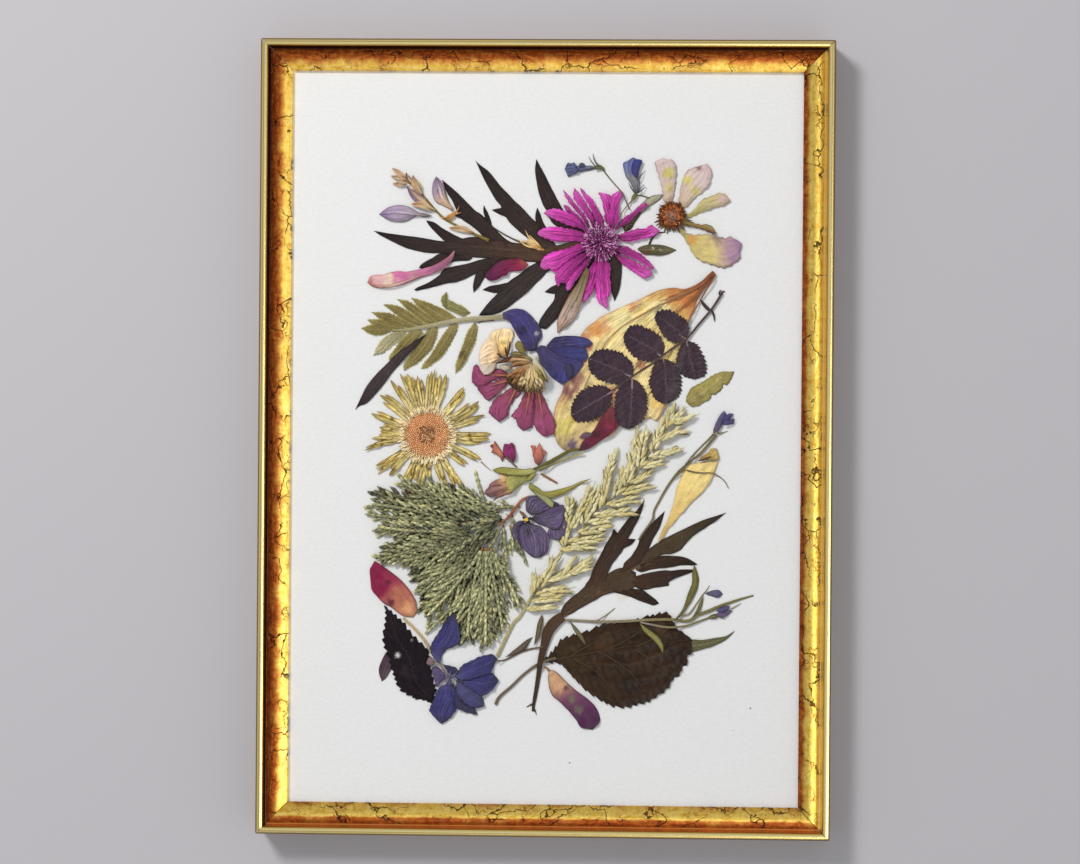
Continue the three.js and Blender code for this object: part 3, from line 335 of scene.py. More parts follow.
# Per rail, the bole stops and the cove colour paint the moulding's light and shade: dark bole and a dark
# cove on the left and top rails as painted shade, and a bright cove on the right and bottom rails as a
# painted reflection.
for turns, (side, length, middle, bole_and_shade_stops, cove_painted_light) in enumerate(
        (("left", FRAME_HEIGHT, (-FRAME_WIDTH / 2, 0),
          [(0.34, 1.0), (0.5, 0.95), (0.7, 0.6), (0.84, 0.2), (1, 0.05)], (48, 22, 8)),
         ("bottom", FRAME_WIDTH, (0, -FRAME_HEIGHT / 2),
          [(0.34, 0.9), (0.55, 0.8), (0.64, 0.1), (0.84, 0.25), (1, 0.5)], (226, 150, 76)),
         ("right", FRAME_HEIGHT, (FRAME_WIDTH / 2, 0),
          [(0.34, 0.1), (0.42, 0.05), (0.78, 0.2), (0.9, 0.8), (1, 1.0)], (250, 214, 128)),
         ("top", FRAME_WIDTH, (0, FRAME_HEIGHT / 2),
          [(0.34, 1.0), (0.58, 0.9), (0.78, 0.5), (0.9, 0.25), (1, 0.3)], (44, 20, 8)))):
    around = len(section)
    shares = np.linspace(1, -1, STATIONS)
    reach = shares[:, None] * (length / 2 - section[None, :, 0] - MITRE_GAP / 2)
    u = np.broadcast_to(section[:, 0], reach.shape)
    z = np.broadcast_to(section[:, 1], reach.shape)
    turn = math.pi / 2 * turns
    x = u * math.cos(turn) - reach * math.sin(turn) + middle[0]
    y = u * math.sin(turn) + reach * math.cos(turn) + middle[1]
    rail_points = np.stack([x, y, z], axis=-1).reshape(-1, 3) * MM
    rail_faces = [(first, *rest[::-1]) for first, *rest in walls(STATIONS, around)]
    rail_faces += [tuple(range(around)),
                   tuple(reversed(range(len(rail_points) - around, len(rail_points))))]
    mesh = bpy.data.meshes.new(f"gilded_rail_{side}")
    mesh.from_pydata(rail_points.tolist(), [], rail_faces)
    along = (reach / MOULDING_WIDTH + RAIL_APART * turns).reshape(-1)
    chart(mesh, np.column_stack([np.tile(face_across, STATIONS), along]))
    mesh.materials.append(gilding(side, bole_and_shade_stops, cove_painted_light))
    mesh.materials.append(back_wood)
    gilded = [0 if j <= FACE_POINTS else 1 for _ in range(STATIONS - 1) for j in range(around)] + [1, 1]
    mesh.polygons.foreach_set("material_index", gilded)
    mesh.polygons.foreach_set("use_smooth", [True] * len(mesh.polygons))
    mesh.set_sharp_from_angle(angle=math.radians(40))
    rail = stand(f"gilded_rail_{side}", mesh)
    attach(rail, "root")
    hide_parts(f"rail_{side}")

# ---------------------------------------------------------------- card, board and fittings
# A white sheet of rag paper carries the flowers, and a hardboard back holds it in the rebate
# behind flat steel points. The hanger is a strip of steel with teeth, on two rivets.


def paint(node, made):
    for material_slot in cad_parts[node].material_slots:
        material_slot.material = made


card_paper, tree, into = material("card_paper", roughness=0.92, specular_ior_level=0.2)
place = add(tree, "ShaderNodeTexCoord").outputs["Object"]
stretch = add(tree, "ShaderNodeMapping", {"Vector": place, "Scale": (620.0, 1000.0, 620.0)})
tooth = noise(tree, stretch.outputs[0], 1.0, 3.0, 0.55)[0]
paper = ramp(tree, tooth, [(0.3, linear(237, 237, 236)), (0.7, linear(242, 242, 241))])
STAIN = (0.0305, -0.0613, 0.00945)
SPECKS = [(0.0107, -0.127, 0.00945, 0.00035), (0.0812, -0.1048, 0.00945, 0.0004),
          (0.0745, -0.1135, 0.00945, 0.0002)]
spread = add(tree, "ShaderNodeVectorMath", {0: place, 1: STAIN}, operation="DISTANCE").outputs[1]
spread = plus(tree, spread, times(tree, tooth, 0.0015))
stained = less(tree, 0.5, times(tree, fade(tree, spread, 0.002, 0.0042), 0.5))
paper = blend(tree, stained, paper, linear(232, 226, 206))
for x, y, z, radius in SPECKS:
    away = add(tree, "ShaderNodeVectorMath", {0: place, 1: (x, y, z)}, operation="DISTANCE").outputs[1]
    dark = fade_out(tree, away, radius * 0.6, radius)
    paper = blend(tree, dark, paper, linear(110, 88, 70))
tree.links.new(paper, into["Base Color"])
bump(tree, into, tooth, 0.0002, 0.55)
paint("mount_card", card_paper)

hardboard, tree, into = material("hardboard", roughness=0.75)
place = add(tree, "ShaderNodeTexCoord").outputs["Object"]
blotches, fibres = mottle(tree, place, 3.0)
board_colour = ramp(tree, fibres, [(0.3, linear(104, 74, 46)), (0.7, linear(148, 112, 74))])
tree.links.new(blend(tree, times(tree, blotches, 0.35), board_colour, linear(92, 64, 40)),
               into["Base Color"])
bump(tree, into, fibres, 0.0003, 0.5)
paint("backing_board", hardboard)

zinc, tree, into = material("zinc_plate", metallic=0.95)
place = add(tree, "ShaderNodeTexCoord").outputs["Object"]
blotches, scratches = mottle(tree, place, 4.0)
tree.links.new(ramp(tree, blotches, [(0.0, linear(176, 178, 182)), (1.0, linear(206, 208, 210))]),
               into["Base Color"])
tree.links.new(plus(tree, 0.3, times(tree, scratches, 0.25)), into["Roughness"])
bump(tree, into, scratches, 0.0001, 0.3)
for node in [*[f"framing_point_{n}" for n in range(1, 9)], "hanger_plate", "hanger_rivet_left",
             "hanger_rivet_right"]:
    paint(node, zinc)

# ---------------------------------------------------------------- how the plants are laid
# The plants are dried flat, so each is thin sheets and strands that rest on the card or drape
# over what was glued down before them. BED holds the height of what already lies at each
# place, in cells of half a millimetre. GLUE is the film under each piece, and a sheet thins
# over its last THIN_EDGE.
CARD_TOP = 9.45
BED_CELL = 0.5
BED_X, BED_Y = -84.0, -119.0
BED = np.full((480, 350), CARD_TOP)
GLUE = 0.04
THIN_EDGE = 0.8
# The press flattens a layer more the higher it lies: PILE mm up, it keeps 1 / e of its height.
PILE, LEAST_SHARE = 2.0, 0.12


def cells(x, y):
    """The rows and columns of the bed at these places."""
    row = np.clip(((y - BED_Y) / BED_CELL).round().astype(int), 0, BED.shape[0] - 1)
    col = np.clip(((x - BED_X) / BED_CELL).round().astype(int), 0, BED.shape[1] - 1)
    return row, col


def polar(x, y, angle, reach):
    """The place this far from x, y in this direction."""
    return x + math.cos(angle) * reach, y + math.sin(angle) * reach


def neighbours(field, join):
    """Each cell joined with the eight around it."""
    edged = np.pad(field, 1, mode="edge")
    rows, cols = field.shape
    around = [edged[i:i + rows, j:j + cols] for i in range(3) for j in range(3)]
    return join(np.stack(around), axis=0)


def resting_height(x, y, easing, bed):
    """The height of what lies under each point, its steps eased as a limp leaf eases them."""
    margin = 8
    low = np.array([(y.min() - BED_Y) / BED_CELL, (x.min() - BED_X) / BED_CELL]).astype(int) - margin
    top = np.array([(y.max() - BED_Y) / BED_CELL, (x.max() - BED_X) / BED_CELL]).astype(int) + margin + 1
    (a, b), (c, d) = np.maximum(low, 0), np.minimum(top, bed.shape)
    ground = neighbours(bed[a:c, b:d], np.max)
    eased = neighbours(ground, np.max)
    for _ in range(easing):
        eased = neighbours(eased, np.mean)
    eased = np.maximum(eased, ground)
    row = np.clip((y - BED_Y) / BED_CELL - a, 0, c - a - 1.001)
    col = np.clip((x - BED_X) / BED_CELL - b, 0, d - b - 1.001)
    i, j = row.astype(int), col.astype(int)
    s, t = row - i, col - j
    near = eased[i, j] * (1 - t) + eased[i, j + 1] * t
    far = eased[i + 1, j] * (1 - t) + eased[i + 1, j + 1] * t
    return near * (1 - s) + far * s


def squashed(rest):
    """The share of its thickness that a layer on this height keeps."""
    return np.maximum(np.exp((CARD_TOP - rest) / PILE), LEAST_SHARE)


def press(points):
    """Raises the bed to a grid of points that has been laid on it."""
    for axis in (0, 1, 0, 1):
        rows = np.moveaxis(points, axis, 0)
        finer = np.empty((2 * len(rows) - 1, *rows.shape[1:]))
        finer[::2], finer[1::2] = rows, (rows[:-1] + rows[1:]) / 2
        points = np.moveaxis(finer, 0, axis)
    np.maximum.at(BED, cells(points[..., 0], points[..., 1]), points[..., 2])


def rumple(x, y, size, seed):
    """Smooth unevenness from about -1 to 1, whose bumps are size mm apart."""
    dice = random.Random(seed)
    total = 0.0
    for octave in range(5):
        turn, shift = dice.uniform(0, math.pi), dice.uniform(0, 9)
        pace = 2 * math.pi / size * dice.uniform(0.7, 1.5)
        across = x * math.cos(turn) + y * math.sin(turn)
        total = total + np.sin(across * pace + shift + 0.8 * np.sin(y * pace * 0.6 + octave))
    return total / 2.6


class Plant:
    """One pressed plant as a single mesh, built up in the order in which its parts lie. The
    lobes of a single leaf grow into each other, so they all lie on what was there before it."""

    def __init__(self, name, *materials, single=False):
        self.name, self.materials = name, materials
        self.bed = BED.copy() if single else BED
        self.rings, self.seed = [], sum(map(ord, name))

    def loft(self, rings, uv, tint, finish):
        """Closed rings of points from one end to the other, with both ends capped."""
        self.rings.append((rings, uv, tint, finish))
        self.seed += 1

    def tints(self, x, y, along, edge, tint, rim, spots):
        """Colour along the piece, browned towards its rim and stained in places."""
        stops = tint if isinstance(tint, list) else [(0, tint)]
        places = [place for place, _ in stops]
        colours = np.array([linear(*colour)[:3] for _, colour in stops])
        shade = np.stack([np.interp(along, places, colours[:, k]) for k in range(3)], axis=-1)
        if rim:
            colour, width = rim
            share = np.clip(1 - edge / width, 0, 1)[..., None] ** 1.5
            shade = shade * (1 - share) + np.array(linear(*colour)[:3]) * share
        for spot_x, spot_y, radius, colour in spots:
            away = np.hypot(x - spot_x, y - spot_y) / radius
            away = away + 0.28 * rumple(x, y, radius * 1.1, int(spot_x * 7) + self.seed)
            share = (1 / (1 + np.exp((away - 0.85) * 7)))[..., None]
            shade = shade * (1 - share) + np.array(linear(*colour)[:3]) * share
        return shade

    def sheet(self, base, left, right, tip, tint, rim=None, spots=(), thick=0.22, crown=0.3,
              uneven=0.12, folds=(0, 0.0), lift=0.0, teeth=None, step=0.75, finish=0, easing=5):
        """A leaf or petal between its two edges, each listed from the base to the tip."""
        edges = [[*base, *side, *tip] for side in (left, right)]
        ring = np.vstack([np.reshape(edges[0], (-1, 2)), np.reshape(edges[1], (-1, 2))[::-1]])
        turned = np.sum(ring[:, 0] * np.roll(ring[:, 1], -1) - np.roll(ring[:, 0], -1) * ring[:, 1])
        if turned > 0:
            edges.reverse()
        spans = [np.hypot(*np.diff(np.array(e).reshape(-1, 2), axis=0).T).sum() for e in edges]
        rows = max(6, int(max(spans) / step) + 1)
        a, b = smooth_line(edges[0], rows), smooth_line(edges[1], rows)
        if teeth:
            a, b = notch(a, b, *teeth, self.seed)
        width = np.hypot(*(b - a).T)
        cols = max(4, int(width.max() / step) + 2)
        v = np.linspace(0, 1, cols)[None, :]
        flat = a[:, None, :] * (1 - v[..., None]) + b[:, None, :] * v[..., None]
        x, y = flat[..., 0], flat[..., 1]
        along = np.broadcast_to(np.linspace(0, 1, rows)[:, None], x.shape)
        side = 2 * v - 1
        edge = (1 - np.abs(side)) * width[:, None] / 2
        broad = width[:, None] / max(width.max(), 0.01)
        relief = crown * (1 - side ** 2) * broad + uneven * (1 + rumple(x, y, 4.5, self.seed))
        waves = np.sin(math.pi * folds[0] * side + 1.5 * np.sin(along * 5 + self.seed))
        relief = relief + folds[1] * broad * (1 + waves) + lift * along ** 3
        taper = np.clip(edge / THIN_EDGE, 0.25, 1)
        body = thick * np.broadcast_to(taper, x.shape)
        rest = resting_height(x, y, easing, self.bed)
        bottom = rest + (GLUE + relief - min(relief.min(), 0)) * squashed(rest)
        top = bottom + body * squashed(rest)
        press(np.stack([x, y, top], axis=-1))
        rings = np.concatenate(
            [np.stack([x, y, top], axis=-1), np.stack([x, y, bottom], axis=-1)[:, ::-1]], axis=1)
        across = np.broadcast_to(v, x.shape)
        uv = np.concatenate([np.stack([across, along], axis=-1)] * 2, axis=1)
        uv[:, cols:, 0] = uv[:, cols:, 0][:, ::-1]
        shade = self.tints(x, y, along, edge, tint, rim, spots)
        self.loft(rings, uv, np.concatenate([shade, shade[:, ::-1]], axis=1), finish)

    def strand(self, line, breadths, tint, flat=0.6, sides=8, step=0.8, finish=0, raised=0.0,
               easing=3):
        """A stem, rib or bud along a line, with its breadths from one end to the other."""
        spine = np.array(line, float).reshape(-1, 2)
        span = np.hypot(*np.diff(spine, axis=0).T).sum()
        rows = max(4, int(span / step) + 1)
        spine = smooth_line(line, rows)
        along = np.linspace(0, 1, rows)
        half = np.interp(along, np.linspace(0, 1, len(breadths)), breadths) / 2
        ahead = np.gradient(spine, axis=0)
        ahead /= np.maximum(np.hypot(*ahead.T), 1e-9)[:, None]
        beside = np.stack([ahead[:, 1], -ahead[:, 0]], axis=-1)
        turn = (np.arange(sides) + 0.5) / sides * 2 * math.pi
        out, up = -np.cos(turn), np.sin(turn)
        flat_x = spine[:, None, 0] + beside[:, None, 0] * out * half[:, None]
        flat_y = spine[:, None, 1] + beside[:, None, 1] * out * half[:, None]
        rest = resting_height(spine[:, 0], spine[:, 1], easing, self.bed)
        flat = flat * squashed(rest)
        middle = rest + (GLUE + raised) * squashed(rest) + half * flat
        z = middle[:, None] + up * (half * flat)[:, None]
        rings = np.stack([flat_x, flat_y, z], axis=-1)
        press(rings[:, :sides // 2])
        lengthways = np.broadcast_to(along[:, None], flat_x.shape)
        around = np.broadcast_to((out + 1) / 2, flat_x.shape)
        shade = self.tints(flat_x, flat_y, lengthways, None, tint, None, ())
        self.loft(rings, np.stack([around, lengthways], axis=-1), shade, finish)

    def done(self):
        """Makes the mesh, sews its seams, and fixes it in the frame in its node's place."""
        points, faces, charts, shades, finishes = [], [], [], [], []
        for rings, uv, tint, finish in self.rings:
            rows, around = rings.shape[:2]
            start = len(points)
            points += (rings.reshape(-1, 3) * MM).tolist()
            charts.append(uv.reshape(-1, 2))
            shades.append(tint.reshape(-1, 3))
            here = walls(rows, around, start)
            last = start + (rows - 1) * around
            for j in range(around // 2 - 1):
                here.append((start + around - 1 - j, start + around - 2 - j, start + j + 1, start + j))
                here.append((last + j, last + j + 1, last + around - 2 - j, last + around - 1 - j))
            faces += here
            finishes += [finish] * len(here)
        mesh = bpy.data.meshes.new(self.name)
        mesh.from_pydata(points, [], faces)
        chart(mesh, np.vstack(charts))
        mesh.polygons.foreach_set("material_index", finishes)
        shade = np.column_stack([np.vstack(shades), np.ones(len(points))])
        colours = mesh.color_attributes.new("Tint", "FLOAT_COLOR", "POINT")
        colours.data.foreach_set("color", shade.reshape(-1))
        sewn = bmesh.new()
        sewn.from_mesh(mesh)
        bmesh.ops.remove_doubles(sewn, verts=sewn.verts, dist=1e-6)
        bmesh.ops.recalc_face_normals(sewn, faces=sewn.faces)
        sewn.to_mesh(mesh)
        sewn.free()
        for made in self.materials:
            mesh.materials.append(made)
        mesh.polygons.foreach_set("use_smooth", [True] * len(mesh.polygons))
        mesh.set_sharp_from_angle(angle=math.radians(55))
        piece = stand(self.name, mesh)
        fix(piece, self.name)


def fix(piece, node):
    """A glued plant never moves, and stands for its plain plate in the frame."""
    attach(piece, "root")
    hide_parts(node)


def notch(left, right, pitch, depth, seed):
    """Cuts forward-pointing teeth, uneven as on a real leaf, into both edges of a leaf."""
    dice = random.Random(seed)
    cut = []
    for edge, inner in ((left, right), (right, left)):
        reach = np.concatenate([[0], np.cumsum(np.hypot(*np.diff(edge, axis=0).T))])
        starts = [0.0]
        while starts[-1] < reach[-1]:
            starts.append(starts[-1] + pitch * dice.uniform(0.7, 1.35))
        which = np.searchsorted(starts, reach, side="right") - 1
        starts = np.array(starts)
        rise = (reach - starts[which]) / (starts[which + 1] - starts[which])
        outward = edge - inner
        span = np.maximum(np.hypot(*outward.T), 1e-6)[:, None]
        ends = np.clip(np.minimum(reach, reach[-1] - reach) / (pitch * 1.5), 0, 1)
        cut.append(edge + outward / span * ((rise - 0.5) * depth * ends)[:, None])
    return cut


# Streaks run from a petal's base to its tip and close up where it narrows.
streak_tree, given, put = group("streaks", {"UV": None, "Count": 14.0}, ["Lines"])
parts = add(streak_tree, "ShaderNodeSeparateXYZ", {0: given["UV"]}).outputs
lined = add(streak_tree, "ShaderNodeCombineXYZ",
            {0: times(streak_tree, parts[0], given["Count"]), 1: times(streak_tree, parts[1], 2.2)})
threads = noise(streak_tree, lined.outputs[0], 1.0, 4.0, 0.65)[0]
streak_tree.links.new(fade(streak_tree, threads, 0.34, 0.66), put["Lines"])

# A leaf's veins: a midrib, and pairs of side veins that slant forward from it.
vein_tree, given, put = group(
    "veins", {"UV": None, "Pairs": 8.0, "Slant": 1.6, "Width": 0.1}, ["Midrib", "Side"])
parts = add(vein_tree, "ShaderNodeSeparateXYZ", {0: given["UV"]}).outputs
aside = times(vein_tree, maths(vein_tree, "ABSOLUTE", less(vein_tree, parts[0], 0.5)), 2.0)
bend = noise(vein_tree, given["UV"], 6.0)[0]
pace = less(vein_tree, times(vein_tree, parts[1], given["Pairs"]),
            times(vein_tree, aside, given["Slant"]))
pace = plus(vein_tree, pace, times(vein_tree, bend, 0.7))
apart = maths(vein_tree, "ABSOLUTE", less(vein_tree, maths(vein_tree, "FRACT", pace), 0.5))
half_width, full_width = [times(vein_tree, given["Width"], share) for share in (0.9, 1.1)]
vein_tree.links.new(fade_out(vein_tree, aside, 0.0, half_width), put["Midrib"])
vein_tree.links.new(fade_out(vein_tree, apart, 0.0, full_width), put["Side"])


def tissue(name, streaks=(0, 0.0), veins=None, blotches=(3.0, 0.25), relief=0.5, dark=0.55,
           vein_colour=None, grain=0.22, gloss=0.2, roughness=0.7, sheen=0.0):
    """Dried plant tissue: its own tint, with streaks or veins, blotches, grain and relief. What
    the streaks and blotches darken, the rest of it makes up for."""
    makeup = 1.12 / ((1 - 0.5 * blotches[1] * (1 - dark)) * (1 - 0.55 * streaks[1] * (1 - dark)))
    brown = (dark, dark * 0.94, dark * 0.86, 1)
    made, tree, into = material(name, roughness=roughness, sheen_weight=sheen, specular_ior_level=gloss)
    uv = add(tree, "ShaderNodeUVMap", uv_map="UVMap").outputs[0]
    place = add(tree, "ShaderNodeTexCoord").outputs["Object"]
    colour = add(tree, "ShaderNodeAttribute", attribute_name="Tint").outputs["Color"]
    patches, grains = mottle(tree, place, blotches[0])
    patches = times(tree, patches, blotches[1])
    colour = blend(tree, patches, colour, brown, "MULTIPLY")
    height = times(tree, grains, 0.5)
    if streaks[0]:
        lines = add(tree, "ShaderNodeGroup", {"UV": uv, "Count": streaks[0]},
                    node_tree=streak_tree).outputs[0]
        share = times(tree, less(tree, 1.0, lines), streaks[1])
        colour = blend(tree, share, colour, brown, "MULTIPLY")
        height = plus(tree, height, lines)
    if veins:
        given = {"UV": uv, "Pairs": veins[0], "Slant": veins[1], "Width": veins[2]}
        midrib, side_veins = add(tree, "ShaderNodeGroup", given, node_tree=vein_tree).outputs
        ribs = maths(tree, "MAXIMUM", midrib, times(tree, side_veins, 0.45))
        shade, share = vein_colour or ((255, 255, 255), 0.15)
        colour = blend(tree, times(tree, ribs, share), colour, linear(*shade))
        height = plus(tree, height, times(tree, ribs, 0.5))
    speckled = ramp(tree, grains,
                    [(place, (level * makeup, level * makeup, level * makeup, 1))
                     for place, level in ((0.3, 1 - grain), (0.7, 1 + grain))])
    tree.links.new(blend(tree, 1.0, colour, speckled, "MULTIPLY"), into["Base Color"])
    bump(tree, into, height, 0.00045, relief)
    return made

# ---------------------------------------------------------------- upper divided leaf
# A deeply divided leaf dried to near black. It went under the flowers at the top: long
# pointed lobes to both sides of a flat rachis with pale brown ribs.
AUBERGINE = [(0, (76, 56, 46)), (0.22, (54, 43, 40)), (1, (44, 36, 38))]
SHRIVELLED = ((36, 29, 31), 0.9)
divided_tissue = tissue(
    "divided_leaf_tissue", streaks=(4, 0.3), veins=(5, 1.8, 0.09), vein_colour=((104, 80, 66), 0.22),
    blotches=(3.0, 0.45), relief=0.9, roughness=0.62)
leaf = Plant("divided_leaf_upper", divided_tissue, single=True)
leaf.sheet((31, 73), [22, 76.5, 12, 77.5, 4, 75.6, -8, 76, -20, 77.6, -30, 78.6],
           [23, 71.4, 12, 69.4, 4, 68.6, -8, 69.2, -20, 70.2, -30, 71], (-43, 75),
           [(0, (66, 48, 40)), (0.45, (86, 62, 48)), (0.8, (60, 46, 41)), (1, (48, 39, 39))],
           rim=SHRIVELLED, folds=(3, 0.12))
for base, left, tip, right in (
        ((-26, 75), [-33, 77.6, -40, 76.9, -50, 78.4, -55, 79, -62, 79.9], (-67.9, 80.9),
         [-32, 71.4, -41.2, 72.2, -46, 72.3, -50, 72.9, -55, 74.2, -60, 76.5, -65, 79]),
        ((-26, 74), [-36, 75.2, -39.7, 76.8, -42, 78.8, -44, 80.8, -46, 83], (-47.3, 85.1),
         [-25, 76.6, -31, 77.5, -35, 78.9, -38, 80.5, -41, 82.2, -44, 84.3]),
        ((-15, 74),
         [-23, 77.4, -27, 81, -30, 83.4, -33, 85.4, -35, 88.2, -37, 92.7, -38.9, 95.5, -40, 98],
         (-41.2, 101.1),
         [-12, 75.7, -16, 78, -20, 81.8, -23, 85.2, -26, 87.8, -28, 89, -30, 91, -32, 93, -35, 95.9,
          -38, 98.5]), ((-27, 83), [-31, 84.4, -34, 86], (-36.4, 86.9), [-30, 87, -33, 88.3]),
        ((-22, 82), [-23.6, 85, -24.8, 88.5], (-24.7, 91.2), [-21.5, 84, -23, 88]),
        ((-2, 74),
         [-7, 78, -9, 79.5, -12, 82, -15, 85, -17.6, 89.4, -18, 90.9, -20, 93.2, -22, 96.5, -24, 100,
          -25.5, 103, -27, 106.3], (-28.1, 108.6),
         [4, 74, 2, 78, -2, 82.6, -6, 86.4, -10, 90.6, -13, 93.3, -15, 95.5, -18, 98.5, -20, 101, -23,
          104.5, -26, 106.7]),
        ((-12, 85), [-16, 86.6, -19, 87.8], (-21.6, 89.3), [-15, 90.2, -18.5, 90]),
        ((-1, 78), [-4, 84, -4.4, 87.6], (-3.7, 90.4), [2.6, 78, -1, 84, -2.6, 88]),
        ((15, 76),
         [9.5, 80.5, 5, 82.6, 2, 84.6, 0, 89, -1.3, 91, -2.5, 94, -3.3, 96.5, -4, 100, -4.7, 105],
         (-4.2, 109.3), [17, 80, 12, 83, 7, 88.8, 5, 92, 3, 95.7, 1, 99.5, -1, 103.5, -3, 107]),
        ((-28, 73), [-36, 71.4, -41, 72.3, -45, 70.2, -48.5, 68.2], (-50, 66.5),
         [-30, 69.6, -36, 69, -40, 66.8, -45, 65.5]),
        ((-8, 71.5), [-18, 71, -25, 70, -31, 68.2, -36, 67.2, -40, 66, -42, 63.6, -46, 60.8, -50, 59],
         (-51.7, 57.8),
         [-20, 66, -27, 64.5, -31, 62.5, -35, 61, -39, 60.4, -43, 59.3, -46, 58.5, -50.5, 57.5]),
        ((-22, 68), [-27, 65, -28.6, 60], (-28.4, 56.8), [-20, 67, -24, 62.8, -26, 59.5]),
        ((8, 72), [-1, 70, -7, 67, -10, 64.5, -14, 61.8, -17, 58.8, -20, 55.6, -23, 52.4], (-26.3, 48),
         [8, 68, 1.5, 65.8, -1.5, 63, -5, 59.5, -8, 56.5, -12, 53.3, -16, 50.3, -20, 48.5, -24, 48]),
        ((-13, 61.5), [-18, 60.2, -22, 59.5], (-25, 58), [-15, 58, -20, 56.8]),
        ((16, 74), [10, 67, 5, 60.6, 3.6, 57, 3, 54, 0, 50, -2.5, 46], (-2.7, 43.4),
         [19, 70, 13, 62, 10, 56, 8, 53, 6, 49, 4, 46.5, 2, 44.5, 0, 42.8]),
        ((7, 62), [4, 60.2, 2, 59.3], (-0.6, 57.3), [7, 58, 3, 56.6]),
        ((26, 75), [24.2, 70, 24.6, 64, 25.5, 58], (26.8, 53.8), [29, 72, 29.6, 66, 29, 60, 28, 56.5])):
    leaf.sheet(base, left, right, tip, AUBERGINE, rim=SHRIVELLED, crown=0.35, uneven=0.16)
for line in ([30, 73, 15, 74.6, 5, 72.4, -8, 73, -20, 74.6, -34, 76, -50, 77.8],
             [24, 73.6, 10, 73.4, 0, 71.4, -14, 71, -26, 68.6, -40, 63.6],
             [16, 74.4, 4, 73.4, -8, 76, -18, 80.6, -28, 88, -36, 95],
             [12, 73.4, 2, 70, -8, 64, -17, 55]):
    leaf.strand(line, [1.1, 0.8, 0.6, 0.4, 0.2],
                [(0, (100, 74, 58)), (0.5, (112, 84, 64)), (1, (60, 48, 46))], flat=0.5, raised=0.25)
leaf.done()

# ---------------------------------------------------------------- buds and petals, top left
# A spray of straw-coloured buds on a thin stem, two lilac buds with silky streaks, a long
# pink petal with a browned rim, a crumpled crimson one, and a chaffy bud.
bud_tissue = tissue("bud_tissue", streaks=(9, 0.55), blotches=(1.4, 0.3), relief=0.45, sheen=0.15)
stem_tissue = tissue("stem_tissue", streaks=(7, 0.4), blotches=(2.0, 0.3), relief=0.35)
petal_tissue = tissue("petal_tissue", streaks=(18, 0.3), blotches=(3.0, 0.2), relief=0.4, grain=0.1,
                      roughness=0.6, sheen=0.1)

BEIGE = [(0, (176, 128, 72)), (0.4, (214, 182, 142)), (1, (186, 158, 138))]
spray = Plant("bud_spray", stem_tissue, bud_tissue)
spray.strand([-22.5, 77.3, -26, 78.8, -30, 80.5, -35, 83, -40, 85.7, -44, 89.5, -47, 93, -48.8, 95, -52,
              98.3, -55.5, 101.5], [1.3, 1.0, 0.9, 1.0, 0.9, 0.6],
             [(0, (122, 102, 50)), (0.5, (134, 120, 62)), (1, (120, 96, 66))])
for line, breadth, tint in (
        ([-55.5, 101.5, -58.5, 103.8, -60.8, 105.3], 2.6, BEIGE),
        ([-55, 100.5, -58, 101.6, -61.3, 102.2], 1.9, BEIGE),
        ([-54.8, 99.2, -57.5, 99.3, -60.5, 99.2], 2.1, BEIGE),
        ([-52.5, 98.5, -54.2, 101, -55.2, 103.5], 2.3, [(0, (160, 120, 76)), (1, (92, 74, 84))]),
        ([-49.2, 95, -51.2, 98.5, -52.5, 102.4], 3.7,
         [(0, (190, 148, 92)), (0.6, (214, 180, 138)), (1, (96, 78, 96))]),
        ([-46, 90.5, -51, 94, -54.8, 98], 4.0,
         [(0, (206, 176, 130)), (0.4, (150, 124, 140)), (1, (96, 80, 112))]),
        ([-44, 88.8, -48.5, 91, -53.2, 91.2], 3.0,
         [(0, (170, 120, 62)), (0.4, (222, 194, 152)), (1, (206, 150, 92))]),
        ([-28.5, 80.3, -33, 81.8, -38.3, 82], 2.7,
         [(0, (176, 124, 66)), (0.5, (222, 190, 150)), (1, (196, 150, 96))])):
    spray.strand(line, [0.4, breadth * 0.8, breadth, breadth * 0.7, 0.2], tint, flat=0.42, step=0.5,
                 finish=1, raised=0.3)
    spray.strand([value + 0.25 for value in line], [0.3, breadth * 0.35, breadth * 0.3, 0.1],
                 [(0, (224, 200, 164)), (1, (150, 112, 84))], flat=0.4, step=0.5, finish=1, raised=0.3)
spray.done()

lilac = Plant("lilac_bud_left", bud_tissue)
lilac.sheet((-44.6, 86.7),
            [-47, 87.6, -50, 88.1, -51.5, 89, -54, 90.3, -57, 91, -60.5, 90.6, -63.5, 89.2],
            [-48, 86.2, -50.5, 86.8, -52.5, 85.8, -55, 84.7, -57, 84.4, -60, 84.6, -62.5, 85.3],
            (-65.8, 87.3),
            [(0, (124, 112, 100)), (0.25, (168, 156, 168)), (0.7, (176, 158, 184)),
             (1, (122, 104, 150))], rim=((112, 92, 116), 0.7), crown=1.3, folds=(4, 0.3))
lilac.strand([-47, 86.9, -52, 87.4, -58, 87.9, -64.5, 87.4], [0.5, 0.9, 0.7, 0.3],
             [(0, (140, 128, 118)), (0.5, (206, 192, 206)), (1, (136, 118, 160))], flat=0.4)
lilac.done()

